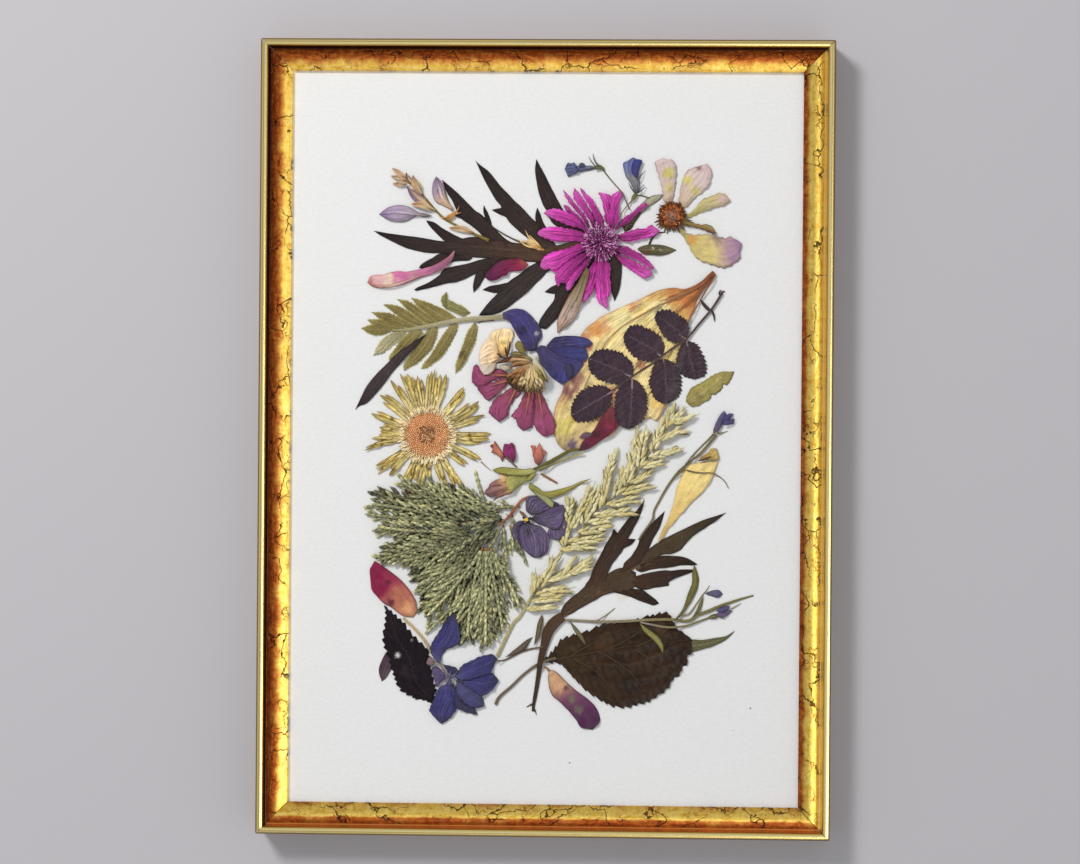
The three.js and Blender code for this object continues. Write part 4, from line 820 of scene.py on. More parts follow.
lilac = Plant("lilac_bud_upright", bud_tissue)
lilac.sheet((-37, 88.6), [-39, 90, -41, 90.9, -43.5, 92.3, -44.5, 94, -45, 96.5, -44.6, 100],
            [-36.6, 90, -37.8, 91.5, -39, 94, -39.8, 96.5, -40.3, 99, -42, 101], (-43.4, 102.3),
            [(0, (196, 150, 104)), (0.35, (214, 186, 160)), (0.6, (172, 150, 172)),
             (1, (104, 86, 120))], rim=((128, 104, 118), 0.6), crown=1.2, folds=(4, 0.3))
lilac.strand([-37.4, 89.6, -40.6, 93.6, -42.2, 98, -43.2, 101.6], [0.5, 1.0, 0.8, 0.3],
             [(0, (216, 178, 130)), (0.6, (222, 204, 200)), (1, (110, 92, 124))], flat=0.4)
lilac.strand([-40, 85.4, -37.4, 86.6, -35.4, 88.6], [0.8, 2.4, 2.0, 0.6],
             [(0, (150, 92, 44)), (0.6, (206, 150, 84)), (1, (186, 130, 70))], flat=0.45)
for line in ([-36, 87.8, -34.8, 89.2, -34.3, 90.8], [-36, 87.2, -34.6, 87.8, -33.4, 88.2],
             [-38, 86.6, -40.5, 86, -42.2, 86.6]):
    lilac.strand(line, [0.7, 0.5, 0.15], (190, 140, 84))
lilac.done()

pink = Plant("pink_petal", petal_tissue)
pink.sheet((-35.7, 73),
           [-36.3, 73.2, -38, 71.3, -40, 69.8, -43, 68, -46, 66.8, -49, 66, -52, 65.4, -55, 64.9, -58,
            65.2, -61, 64.6, -64, 63.8, -67, 63.6, -69, 63],
           [-36.5, 70.3, -38, 68, -40, 66, -43, 64.8, -46, 63.5, -50, 62.2, -54, 60.6, -58, 59.2, -62,
            58.6, -65, 58.3, -68, 58.9], (-70.2, 60.5),
           [(0, (180, 132, 130)), (0.12, (150, 94, 122)), (0.35, (170, 106, 138)),
            (0.6, (202, 146, 154)), (1, (190, 120, 126))], rim=((146, 82, 76), 0.55), crown=0.9,
           folds=(2, 0.25),
           spots=[(-57, 63.4, 4.0, (204, 112, 158)), (-62, 60.6, 3.6, (230, 202, 184)),
                  (-48, 65, 3.0, (200, 120, 156)), (-66, 61.6, 2.6, (222, 176, 176))])
pink.strand([-69.6, 60.4, -66, 59.2, -60, 59.4, -54, 61.4, -48, 63.8], [0.5, 0.8, 0.6, 0.3],
            [(0, (176, 104, 92)), (0.5, (222, 186, 168)), (1, (190, 130, 140))], flat=0.5)
pink.done()

crimson = Plant("crimson_petal", petal_tissue)
crimson.sheet((-23.9, 62.6), [-23.4, 64.6, -20.5, 67.5, -18.5, 69, -16, 69.8, -13, 70.1, -10, 70.2],
              [-21.7, 61.5, -19, 62, -17, 63.3, -15.3, 63.6, -14.5, 65, -12, 65.3, -9, 65.7],
              (-6.9, 68),
              [(0, (84, 26, 62)), (0.4, (116, 30, 78)), (0.75, (138, 38, 72)), (1, (156, 60, 64))],
              rim=((84, 26, 50), 0.6), crown=-0.5, folds=(5, 0.35), uneven=0.3,
              spots=[(-9, 68.8, 1.2, (168, 76, 66))])
crimson.done()

chaff = Plant("dried_bud", bud_tissue)
for line, breadths in (([-0.8, 73.6, -4, 74.8, -7.5, 76.2], [0.5, 1.9, 1.4, 0.3]),
                       ([-2, 74.2, -6, 76.6, -10, 77.2], [0.4, 1.4, 1.1, 0.2]),
                       ([-3, 75, -6.4, 78, -8.4, 81.5], [0.5, 0.9, 0.6, 0.15]),
                       ([-2, 74.4, -5, 77.6, -6.6, 79.4], [0.5, 1.0, 0.7, 0.2]),
                       ([-3.4, 74.2, -8, 75.4, -11.4, 78], [0.4, 0.8, 0.6, 0.15])):
    chaff.strand(line, breadths, [(0, (186, 122, 58)), (0.4, (236, 200, 140)), (1, (212, 176, 122))],
                 flat=0.45, step=0.5)
chaff.done()

# ---------------------------------------------------------------- leaves behind the cornflower
# A willow leaf, dark with a pale sage tip that shows its underside, and a small olive leaf
# with its stalk.
small_leaf_tissue = tissue(
    "small_leaf_tissue", streaks=(5, 0.25), veins=(10, 1.4, 0.12), vein_colour=((196, 190, 160), 0.3),
    blotches=(2.2, 0.35), relief=0.6)
willow = Plant("willow_leaf", small_leaf_tissue, single=True)
willow.sheet((30.5, 81), [29.6, 85, 33, 88, 36, 91], [33, 82, 34.5, 84.5, 36.5, 87.5], (39.6, 91.6),
             [(0, (64, 50, 40)), (0.7, (74, 60, 48)), (1, (90, 84, 66))], rim=((44, 34, 30), 0.7))
willow.sheet((36, 88.4), [35.6, 90.4, 38, 93, 40, 94.6, 42, 95.4],
             [38, 88.9, 40, 90.8, 42, 92, 44, 93.5, 45.2, 94.8], (45.3, 95.8),
             [(0, (150, 148, 122)), (0.4, (176, 172, 148)), (1, (168, 164, 140))],
             rim=((86, 82, 62), 0.5), crown=0.4)
willow.done()

olive = Plant("olive_leaf", small_leaf_tissue, stem_tissue, single=True)
olive.sheet((35.5, 74.3), [37, 75.3, 39.5, 76, 42, 76.1, 45.5, 75.9, 48, 75.2, 50, 74.5],
            [37, 73, 38.2, 72.2, 41.5, 72, 44, 71.8, 47, 72.2, 49, 73], (51, 74),
            [(0, (98, 84, 58)), (0.5, (86, 84, 52)), (1, (112, 106, 76))], rim=((66, 58, 36), 0.5),
            crown=0.6, folds=(3, 0.15),
            spots=[(39, 73, 1.4, (94, 66, 46)), (41.6, 74.6, 0.5, (206, 200, 176)),
                   (44.5, 74, 0.4, (196, 190, 160))])
olive.strand([40, 75.4, 41, 78, 43.5, 80.5, 46.5, 81], [0.9, 0.8, 0.6, 0.4], (58, 48, 36), finish=1)
olive.done()

# ---------------------------------------------------------------- cosmos
# A cosmos head pressed face up: a dome of rust-brown florets in a collar of dark bracts, and
# five papery petals, of which one has curled up and the lowest is toothed.
cosmos_tissue = tissue(
    "cosmos_tissue", streaks=(16, 0.3), blotches=(3.0, 0.15), relief=0.4, grain=0.1, roughness=0.6,
    sheen=0.1)
bract_tissue = tissue("bract_tissue", streaks=(5, 0.5), blotches=(1.2, 0.4), relief=0.45)
cosmos = Plant("cosmos", cosmos_tissue, bract_tissue)
LILAC_CREAM = [(0, (196, 178, 128)), (0.25, (204, 182, 158)), (0.6, (214, 192, 188)), (1, (206, 182, 182))]
for base, left, tip, right, tint, spots, rim, teeth in (
        ((48.5, 88), [45.8, 92.8, 45.3, 96, 44.8, 99, 43.6, 103, 42.5, 106, 42.2, 108.2, 43.5, 109],
         (45.2, 109.8),
         [49.3, 92.8, 49.9, 97, 50.3, 100, 50.5, 103, 50.3, 106, 49.7, 108.3, 48.4, 109.4, 47, 109.2],
         LILAC_CREAM, [(47.6, 104, 2.6, (204, 192, 112)), (47.8, 98.5, 2.0, (206, 190, 132))],
         (168, 140, 150), (2.6, 0.5)),
        ((50.5, 88.5),
         [51.3, 92.8, 51.9, 96, 52.6, 100, 53.8, 103.3, 55.2, 105.2, 57.5, 106.2, 60, 107],
         (62.6, 107.7),
         [54.6, 90.8, 56.5, 92.5, 58.5, 94.8, 61, 97, 63.2, 99.6, 64, 101.5, 64.3, 103.5, 64.1, 105.4],
         LILAC_CREAM,
         [(54.8, 101.3, 2.3, (212, 198, 118)), (58, 97, 2.2, (208, 192, 132)),
          (59.4, 105.9, 1.1, (132, 96, 84))], (166, 136, 132), (2.6, 0.5)),
        ((51.5, 87.2),
         [55.3, 88, 57, 89.3, 58.5, 90.8, 60.5, 93.5, 62.5, 94.5, 65, 95.3, 67, 96.2, 69.5, 96],
         (71.7, 93.5), [55.5, 86.5, 56.5, 86.8, 59, 88, 62.5, 89.5, 66, 90.8, 69, 91.3, 70.4, 92.2],
         [(0, (150, 146, 84)), (0.3, (186, 178, 112)), (0.7, (202, 186, 140)), (1, (198, 172, 156))],
         [(68.6, 93.8, 1.8, (206, 176, 166))], (160, 140, 96), (2.6, 0.5)),
        ((51.5, 85.4), [54.6, 85.8, 57, 84.8, 60, 84.1, 63.5, 84, 65, 82.8], (66.4, 80.8),
         [53.5, 83.6, 57, 83, 60, 82.4, 63, 81.2, 65.2, 80.4],
         [(0, (138, 132, 70)), (0.4, (164, 152, 86)), (1, (152, 128, 84))], [], (118, 78, 54),
         (2.6, 0.5)),
        ((50.5, 83.4), [55, 80.6, 58, 80, 61, 80.2, 64.4, 80.1, 66.5, 79.6, 69.5, 78.9, 72, 79.3],
         (76.2, 77),
         [53.4, 79.3, 54.5, 77.5, 55.8, 75.5, 57, 73, 60, 70, 64, 68.5, 70, 67.2, 75.4, 70.4, 75.6,
          72.6],
         [(0, (158, 146, 84)), (0.3, (202, 186, 112)), (0.55, (212, 190, 132)), (0.75, (176, 142, 156)),
          (1, (158, 118, 156))],
         [(57, 78, 2.0, (210, 156, 92)), (67, 78.6, 2.4, (150, 132, 116)),
          (64, 73, 3.4, (214, 196, 128)), (73, 71.5, 2.6, (168, 132, 158))], (150, 118, 112),
         (3.0, 0.7))):
    cosmos.sheet(base, left, right, tip, tint, rim=(rim, 0.5), spots=spots, crown=0.7, folds=(5, 0.22),
                 uneven=0.22, thick=0.16, lift=0.5, teeth=teeth)
cosmos.strand([51.5, 85.3, 56, 84.2, 61, 83, 65.8, 80.8], [0.9, 1.3, 1.1, 0.5],
              [(0, (126, 118, 60)), (0.6, (148, 116, 72)), (1, (128, 88, 60))], flat=0.7, raised=0.3)
bracts = random.Random(4)
# The bracts lie side by side, so each rests on the petals and not on the bract before it.
cosmos.bed = BED.copy()
BRACTS, BRACTS_X, BRACTS_Y = 34, 49, 87.3
for n in range(BRACTS):
    angle = 2 * math.pi * n / BRACTS + bracts.uniform(-0.08, 0.08)
    low = 1.0 if math.sin(angle) < -0.2 else 0.0
    reach = bracts.uniform(5.2, 6.6) + low * bracts.uniform(0.4, 1.8)
    x, y = polar(BRACTS_X, BRACTS_Y, angle, reach)
    near_x, near_y = polar(BRACTS_X, BRACTS_Y, angle, 3.4)
    shade = bracts.choice([(96, 58, 32), (128, 96, 50), (84, 62, 36), (142, 122, 66), (110, 58, 30)])
    cosmos.strand([near_x, near_y, (near_x + x) / 2 + bracts.uniform(-0.3, 0.3), (near_y + y) / 2, x,
                   y], [1.1, 0.9, 0.25], [(0, shade), (1, (92, 66, 38))], flat=0.6, step=0.6, finish=1,
                  easing=2)
cosmos.done()


# Florets repeat in hundreds: each point carries the way its floret aims, its size and tint.
def floret_shape(name, profile, sides=6, bend=0.0):
    """A small spindle that stands on its base: (height, radius) pairs from 0 to 1."""
    turns = [2 * math.pi * k / sides for k in range(sides)]
    points = [(math.cos(turn) * radius + bend * height ** 2, math.sin(turn) * radius, height)
              for height, radius in profile for turn in turns]
    faces = walls(len(profile), sides)
    faces += [tuple(reversed(range(sides))), tuple(range(len(points) - sides, len(points)))]
    mesh = bpy.data.meshes.new(name)
    mesh.from_pydata(points, [], faces)
    chart(mesh, np.array([((k + 0.5) / sides, height) for height, _ in profile for k in range(sides)]))
    mesh.polygons.foreach_set("use_smooth", [True] * len(mesh.polygons))
    return bpy.data.objects.new(name, mesh)


florets = bpy.data.node_groups.new("florets", "GeometryNodeTree")
for label, kind in (("Geometry", "NodeSocketGeometry"), ("Floret", "NodeSocketObject"),
                    ("Finish", "NodeSocketMaterial"), ("Turn", "NodeSocketFloat"),
                    ("Seed", "NodeSocketInt")):
    florets.interface.new_socket(label, in_out="INPUT", socket_type=kind)
florets.interface.new_socket("Geometry", in_out="OUTPUT", socket_type="NodeSocketGeometry")
given = florets.nodes.new("NodeGroupInput").outputs
aim = add(florets, "GeometryNodeInputNamedAttribute", {"Name": "aim"}, data_type="FLOAT_VECTOR")
size = add(florets, "GeometryNodeInputNamedAttribute", {"Name": "size"}, data_type="FLOAT_VECTOR")
turned = add(florets, "FunctionNodeAlignRotationToVector", {"Vector": aim.outputs[0]}, axis="Z")
dice = add(florets, "FunctionNodeRandomValue", {"Seed": given["Seed"]}, data_type="FLOAT")
roll = add(florets, "ShaderNodeCombineXYZ", {2: times(florets, dice.outputs[1], given["Turn"])})
spun = add(florets, "FunctionNodeEulerToRotation", {0: roll.outputs[0]})
rolled = add(florets, "FunctionNodeRotateRotation",
             {"Rotation": turned.outputs[0], "Rotate By": spun.outputs[0]}, rotation_space="LOCAL")
shape = add(florets, "GeometryNodeObjectInfo", {"Object": given["Floret"]})
placed = add(florets, "GeometryNodeInstanceOnPoints",
             {"Points": given["Geometry"], "Instance": shape.outputs["Geometry"],
              "Rotation": rolled.outputs[0], "Scale": size.outputs[0]})
real = add(florets, "GeometryNodeRealizeInstances", {0: placed.outputs[0]})
finished = add(florets, "GeometryNodeSetMaterial",
               {"Geometry": real.outputs[0], "Material": given["Finish"]})
florets.links.new(finished.outputs[0], florets.nodes.new("NodeGroupOutput").inputs[0])


FULL_TURN, GOLDEN_ANGLE = 6.28, math.radians(137.508)


def sow(name, points, shape, finish, node, seed):
    """Florets at points of (place, aim, size, colour) in millimetres, as one plain mesh."""
    mesh = bpy.data.meshes.new(name)
    mesh.from_pydata([[value * MM for value in place] for place, *_ in points], [], [])
    for k, label in ((1, "aim"), (2, "size")):
        scale = MM if label == "size" else 1.0
        values = np.array([point[k] for point in points], float) * scale
        mesh.attributes.new(label, "FLOAT_VECTOR", "POINT").data.foreach_set(
            "vector", values.reshape(-1))
    tints = np.array([linear(*point[3]) for point in points])
    mesh.attributes.new("Tint", "FLOAT_COLOR", "POINT").data.foreach_set("color", tints.reshape(-1))
    seeds = stand(name, mesh)
    modifier = seeds.modifiers.new("florets", "NODES")
    modifier.node_group = florets
    sockets = {item.name: item.identifier
               for item in florets.interface.items_tree if item.in_out == "INPUT"}
    for label, value in (("Floret", shape), ("Finish", finish), ("Turn", FULL_TURN), ("Seed", seed)):
        modifier[sockets[label]] = value
    evaluated = seeds.evaluated_get(bpy.context.evaluated_depsgraph_get())
    plain = bpy.data.meshes.new_from_object(evaluated)
    plain.name = f"{name}_mesh"
    seeds.modifiers.clear()
    seeds.data = plain
    fix(seeds, node)


def spiral(count, radius):
    """How far out and at what angle a flower head sets each of its florets."""
    return [(radius * math.sqrt((n + 0.5) / count), n * GOLDEN_ANGLE) for n in range(count)]


floret_tissue = tissue("floret_tissue", streaks=(3, 0.3), blotches=(0.8, 0.3), relief=0.15)
tube = floret_shape("tube_floret", [(0, 0.36), (0.5, 0.44), (0.85, 0.5), (1, 0.3)])
DOME_X, DOME_Y = 49.0, 87.5
DOME_FOOT, DOME_RISE, DOME_RADIUS = 10.4, 2.2, 5.0
head, dice = [], random.Random(11)
for reach, angle in spiral(190, 4.7):
    x, y = polar(DOME_X, DOME_Y, angle, reach)
    lean = reach / DOME_RADIUS
    up = DOME_FOOT + DOME_RISE * math.sqrt(max(0.0, 1 - lean ** 2))
    shade = dice.choice([(186, 106, 54), (206, 128, 70), (150, 80, 42), (222, 146, 80), (126, 66, 38)])
    if reach > 3.6:
        shade = dice.choice([(120, 62, 34), (100, 56, 36), (158, 92, 50)])
    head.append(((x, y, up - 0.8), (lean * math.cos(angle), lean * math.sin(angle), 1.0),
                 (0.62, 0.62, dice.uniform(0.9, 1.5)), shade))
sow("cosmos_disc", head, tube, floret_tissue, "cosmos", seed=2)

# ---------------------------------------------------------------- cornflower
# A magenta cornflower: folded, toothed ray florets round a mop of mauve threads, laid over
# the divided leaf and the tips of the leaves beside it.
ray_tissue = tissue("cornflower_tissue", streaks=(11, 0.85), blotches=(2.4, 0.3), relief=0.7,
                    grain=0.12, roughness=0.55, sheen=0.25, dark=0.42)
corn = Plant("cornflower", ray_tissue)
MAGENTA = [(0, (146, 36, 116)), (0.3, (192, 48, 156)), (0.7, (218, 70, 184)), (1, (228, 108, 202))]
DEEP = [(0, (122, 28, 96)), (0.4, (168, 38, 136)), (1, (206, 66, 172))]
PETAL_RIM = ((176, 28, 142), 0.5)
for base, left, tip, right, tint in (
        ((18, 80), [15, 85, 11, 89.5, 8.8, 92, 7.3, 94.5], (6.3, 97.3),
         [15.6, 86, 12.4, 90.4, 10.5, 92.5, 8.5, 95.2], MAGENTA),
        ((17, 80), [13, 84.4, 9.6, 87.8, 8, 88.5, 6.9, 90], (6.6, 91.2),
         [13.6, 86, 10, 89.3, 7.8, 91.2], DEEP),
        ((19, 81), [17, 85, 13.6, 89.6, 11, 93, 10.4, 95], (10.7, 98.1),
         [19, 86, 16, 91, 14, 94, 12.8, 95.8], MAGENTA),
        ((21, 82), [19, 85.8, 17, 90, 14.6, 94, 13.2, 97], (13.1, 98.2),
         [22.4, 84.6, 21.4, 87.6, 20.3, 89.4, 19, 91.6, 17.5, 94.2, 16, 95.2, 14.4, 97], MAGENTA),
        ((16, 80.4), [13, 85.5, 9.5, 87.8, 7, 88.8, 4, 89.8, 1, 89.6], (-1.2, 88),
         [13.5, 82, 10, 82.9, 6, 84.3, 3, 85.5, 0.3, 86.9], MAGENTA),
        ((17, 79), [12, 81.3, 8, 82.1, 4, 82.9, 0, 82.4, -2.4, 81.6], (-3.6, 80.2),
         [15, 76.5, 12, 77, 8, 76.9, 3, 77, 0, 78, -2.6, 79], MAGENTA),
        ((17, 75), [14, 76.4, 11, 75.5, 7, 74, 3, 73, 0, 71.6, -1.8, 69.6], (-2.4, 67.2),
         [14, 73, 11, 70.8, 8, 68.3, 5, 65.4, 3, 65, 1.2, 66.2, -1, 66], MAGENTA),
        ((17.5, 73), [14, 72.2, 11, 70.6, 8, 68.6, 5, 65.8, 3.4, 63], (4, 60.4),
         [16.5, 70, 14, 66.5, 12, 64, 9.5, 61.5, 8.2, 60.4, 6, 60.8, 5, 59.3], DEEP),
        ((18, 71.6), [13, 67, 10, 63.6, 7.8, 60], (8.2, 57.6),
         [16.4, 68, 13.4, 63.6, 11, 60.6, 9.8, 58.4], MAGENTA),
        ((21, 72), [17.3, 67, 16.3, 63, 15, 60, 14.8, 57.5, 13.6, 55], (14.9, 52.8),
         [22, 67, 20.6, 62, 19.2, 58.6, 18, 56.6, 16.2, 54.5], MAGENTA),
        ((22, 72), [19.4, 67, 19.4, 62, 19.6, 57, 20, 54, 22.3, 51.9], (23.8, 50.8),
         [25, 68, 25, 63, 25.4, 59.5, 25, 56.5, 24, 54, 24.4, 52.4], MAGENTA),
        ((26, 73.6), [29.5, 71.8, 34, 70, 37, 68.3, 40.5, 66.2], (41.5, 64.2),
         [29, 69, 32, 66.8, 35, 64.8, 38, 62.8, 40, 63.2], MAGENTA),
        ((26, 75.6), [31, 75.4, 34, 74, 37, 72.3, 39.3, 70.3, 41, 68.6], (42.4, 67),
         [29.5, 72.4, 33, 71, 36.5, 69.4, 39.3, 67.4, 41.5, 66.2], DEEP),
        ((26.5, 79), [31, 80.9, 34, 81.7, 36.5, 82.4, 38.4, 82.2, 40.7, 83.8, 42.2, 83], (44.4, 81.4),
         [31, 77, 34.4, 77.4, 38, 78.4, 41, 79, 43.2, 80.2], MAGENTA),
        ((26.5, 81.5), [29.5, 86, 31.5, 87.3, 34, 89, 36.5, 91.3], (38.8, 92.6),
         [30.5, 83.5, 33, 85.5, 36, 88.5, 39.3, 91], DEEP),
        ((25, 82), [22.6, 85.5, 22.5, 88, 21.8, 92, 21, 94.5, 20.1, 96.2], (22.6, 96),
         [27.2, 85, 26.4, 88, 26, 92, 25, 95], MAGENTA),
        ((26, 82), [23.8, 86, 24.6, 90, 25, 93, 25.4, 95.2], (28.6, 97.3),
         [28.3, 85, 28.3, 88, 28.4, 92, 30.1, 95.6], MAGENTA)):
    corn.sheet(base, left, right, tip, tint, rim=PETAL_RIM, thick=0.2, crown=0.7, uneven=0.35,
               folds=(5, 0.42), lift=0.9, teeth=(2.2, 0.5), step=0.6)
    mean = np.mean(np.array([left[:6], right[:6]]).reshape(-1, 2), axis=0)
    corn.strand([*base, *mean, (mean[0] * 0.35 + tip[0] * 0.65), (mean[1] * 0.35 + tip[1] * 0.65)],
                [0.6, 0.4, 0.12], [(0, (146, 30, 116)), (1, (214, 62, 186))], flat=0.6, raised=0.05)
corn.strand([17.6, 76.6, 21.3, 77, 25.2, 77.4], [5.4, 8.2, 5.4], (92, 34, 76), flat=0.16, raised=0.2)
corn.done()

thread = floret_shape("thread_floret", [(0, 0.3), (0.35, 0.32), (0.7, 0.42), (0.9, 0.55), (1, 0.2)],
                      sides=5, bend=0.35)
MOP_X, MOP_Y = 21.3, 76.9
mop, dice = [], random.Random(21)
for reach, angle in spiral(430, 6.7):
    angle += dice.uniform(-0.25, 0.25)
    x, y = polar(MOP_X, MOP_Y, angle, reach * 0.75)
    rise = 12.0 + 1.3 * (1 - (reach / 7) ** 2) + dice.uniform(-0.3, 0.3)
    lean = 0.5 + reach / 5.0
    way = angle + dice.uniform(-0.5, 0.5)
    shade = dice.choice([(152, 66, 128), (182, 92, 160), (120, 46, 100), (206, 130, 190),
                         (226, 172, 216), (84, 28, 66)])
    mop.append(((x, y, rise - 0.9),
                (lean * math.cos(way), lean * math.sin(way), dice.uniform(0.5, 1.1)),
                (0.42, 0.42, dice.uniform(1.6, 2.9)), shade))
for n in range(46):
    angle = 2 * math.pi * n / 46 + dice.uniform(-0.1, 0.1)
    x, y = polar(MOP_X, MOP_Y, angle, 5.0)
    mop.append(((x, y, 12.1), (math.cos(angle), math.sin(angle), 0.05),
                (0.4, 0.4, dice.uniform(1.8, 3.0)),
                dice.choice([(206, 96, 176), (160, 58, 132), (226, 166, 212)])))
sow("cornflower_threads", mop, thread, floret_tissue, "cornflower", seed=3)

# ---------------------------------------------------------------- lobelias
# Two small lobelia flowers on threadlike stems, one slate blue and one indigo. Their sepals are
# as thin as hairs and are pressed flat round each tube.
blue_tissue = tissue("blue_petal_tissue", streaks=(9, 0.55), blotches=(1.8, 0.4), relief=0.8,
                     roughness=0.55, sheen=0.15, veins=(4, 2.0, 0.07),
                     vein_colour=((130, 128, 176), 0.25))
lobelia = Plant("lobelia_left", blue_tissue, stem_tissue)
lobelia.strand([32.5, 89.6, 31.2, 92.4, 30.2, 94.6, 29.2, 96.4, 27, 99, 24, 102.5, 21.5, 105.8],
               [0.45, 0.5, 0.5, 0.6], [(0, (112, 74, 96)), (0.4, (104, 92, 62)), (1, (96, 90, 60))],
               finish=1)
lobelia.sheet((19.4, 105.8), [17.4, 106.8, 15, 106.8, 12.8, 107], [17, 104.9, 15, 104.7, 12.5, 104.3],
              (10, 105.6), [(0, (96, 98, 92)), (0.5, (110, 116, 150)), (1, (94, 100, 148))],
              rim=((62, 64, 92), 0.4), folds=(3, 0.3), crown=0.7)
lobelia.sheet((12.6, 105.4), [11.4, 106.2, 10.8, 108.2, 9.8, 107.7, 8, 107.9],
              [11.6, 103.6, 10, 103, 8.4, 102.4], (6.9, 105.4),
              [(0, (72, 76, 116)), (0.5, (98, 106, 150)), (1, (88, 94, 140))], rim=((58, 60, 94), 0.4),
              folds=(4, 0.4), crown=0.5, lift=0.5, teeth=(1.4, 0.4))
lobelia.sheet((12.6, 106.2), [12.6, 107.4, 13.8, 108], [13.8, 106, 15, 106.9], (14.4, 107.6), (74, 80, 118))
lobelia.strand([22.4, 105.4, 20.6, 106.2, 18.6, 105.8], [0.9, 2.1, 1.5],
               [(0, (106, 104, 58)), (1, (92, 96, 70))], finish=1)
for line in ([18.9, 106.4, 17.2, 108.6, 16.3, 110.5], [19.5, 107, 18.4, 109.2, 17.9, 111.6],
             [20, 106.8, 19, 108, 18.8, 109]):
    lobelia.strand(line, [0.5, 0.4, 0.15], (76, 80, 72), finish=1)
lobelia.done()

lobelia = Plant("lobelia_right", blue_tissue, stem_tissue)
lobelia.strand([28.3, 86.2, 29, 87.6, 30.5, 90, 33.2, 93], [0.35, 0.45, 0.6], (108, 102, 66), finish=1)
lobelia.strand([40, 94.3, 37.5, 95.1, 35.2, 95.4], [0.4, 0.5, 0.5], (96, 92, 62), finish=1)
lobelia.sheet((34.9, 95.8),
              [34.3, 96.2, 33.6, 98.2, 32.3, 100.6, 31, 102.3, 30.1, 105, 29.7, 107.8, 31.5, 108.8],
              [35.3, 96, 35.8, 97, 36.2, 99, 36.3, 101, 35.7, 102, 35.9, 104, 36.4, 106.3, 37.3, 108.6,
               35.8, 109.1], (33.6, 110.2),
              [(0, (112, 112, 110)), (0.4, (146, 146, 152)), (0.62, (104, 112, 168)),
               (1, (96, 104, 164))], rim=((70, 72, 110), 0.45), folds=(3, 0.4), crown=0.9,
              spots=[(31.4, 106, 1.8, (120, 130, 178))])
lobelia.sheet((34.3, 102.4), [33.2, 103.8, 33, 106.5, 34, 108.9], [35.7, 102.5, 35.9, 105, 37.3, 108.6],
              (35.6, 109.3), [(0, (72, 72, 138)), (1, (62, 66, 148))], rim=((44, 44, 96), 0.5),
              crown=0.4, folds=(3, 0.25))
lobelia.strand([33.1, 92.8, 34, 94.4, 35, 95.8], [0.6, 1.9, 1.5],
               [(0, (120, 116, 60)), (1, (92, 92, 62))], finish=1)
for line in ([35.4, 101, 36.2, 102.2, 37.6, 104, 38.4, 105.2], [34.3, 96.3, 32.9, 98.1, 32, 100.3],
             [35.5, 96.2, 36.8, 98.3, 38, 99.7], [35.6, 96, 37.3, 97.5, 38.9, 98.5]):
    lobelia.strand(line, [0.6, 0.45, 0.15], [(0, (66, 68, 72)), (1, (78, 82, 116))], finish=1)
lobelia.done()

# ---------------------------------------------------------------- tulip petal
# One big tulip petal, dried to cream with an orange base and rust, rose and crimson stains, its
# fibres drawn together where it narrows.
tulip_tissue = tissue("tulip_tissue", streaks=(34, 0.34), blotches=(5.0, 0.26), relief=1.0, grain=0.1,
                      roughness=0.55, sheen=0.15, dark=0.6)
tulip = Plant("tulip_petal", tulip_tissue)
tulip.sheet((65, 66),
            [63.3, 64.5, 61, 62.2, 58, 60.3, 54, 58.8, 50, 59.3, 45, 58.5, 41, 56.9, 36, 54.3, 30, 51.8,
             26, 49.8, 22, 48, 18.5, 45.3, 16, 43.5, 13, 39, 10, 31, 8, 24, 6.5, 18, 4.5, 14, 3.5, 10,
             3.2, 5, 4, 0.5, 5.5, -2.7],
            [66.4, 64.4, 65, 62.5, 63, 60.2, 61, 57.6, 59, 54, 57.5, 50, 56.2, 46.5, 54, 40, 51.5, 32,
             50.5, 26, 49, 19, 47.5, 13.5, 46, 11.5, 44.5, 8.5, 43, 7.3, 41, 8.5, 36, 6, 31, 5.5, 29, 5,
             27, 2, 24, 0.6, 21, 0.2, 18.5, -1.8, 16, -3.3, 13.4, -4.4, 11, -4.6], (8.5, -5),
            [(0, (188, 96, 56)), (0.1, (232, 142, 70)), (0.2, (244, 184, 104)), (0.33, (250, 226, 152)),
             (0.6, (250, 226, 160)), (0.85, (246, 218, 154)), (1, (220, 190, 138))],
            rim=((196, 132, 92), 0.7), folds=(9, 0.24), crown=0.5, uneven=0.45, step=0.9,
            spots=[(56, 55, 5, (224, 140, 74)), (50, 57, 2.6, (226, 146, 86)),
                   (20, 43, 4.0, (226, 158, 92)), (11, 24, 4.4, (160, 106, 100)),
                   (9, 18, 3.4, (148, 94, 92)), (15, 40, 2.4, (206, 150, 116)),
                   (37, 29, 2.2, (190, 130, 100)), (26.5, 18, 3.2, (196, 138, 104)),
                   (28, 12.5, 2.4, (158, 76, 78)), (10.6, -2.4, 2.2, (124, 100, 132)),
                   (13, 30, 3, (200, 132, 104)), (7, 14.6, 2.4, (214, 170, 120)),
                   (24, 45, 3, (232, 176, 124)), (17, 36, 2, (176, 116, 108)),
                   (34, 52, 2.4, (228, 168, 116)), (40, 40, 3, (244, 206, 134)),
                   (47, 12, 2.2, (206, 160, 122)), (44, 50, 4.6, (254, 240, 178)),
                   (30, 46, 5, (254, 238, 172)), (7, 4, 4.2, (244, 226, 128)),
                   (11, 8, 2.0, (226, 196, 82)), (6.5, 12, 2.2, (236, 206, 134)),
                   (44, 16, 4, (246, 206, 112)), (22, 8, 4, (238, 200, 130))])
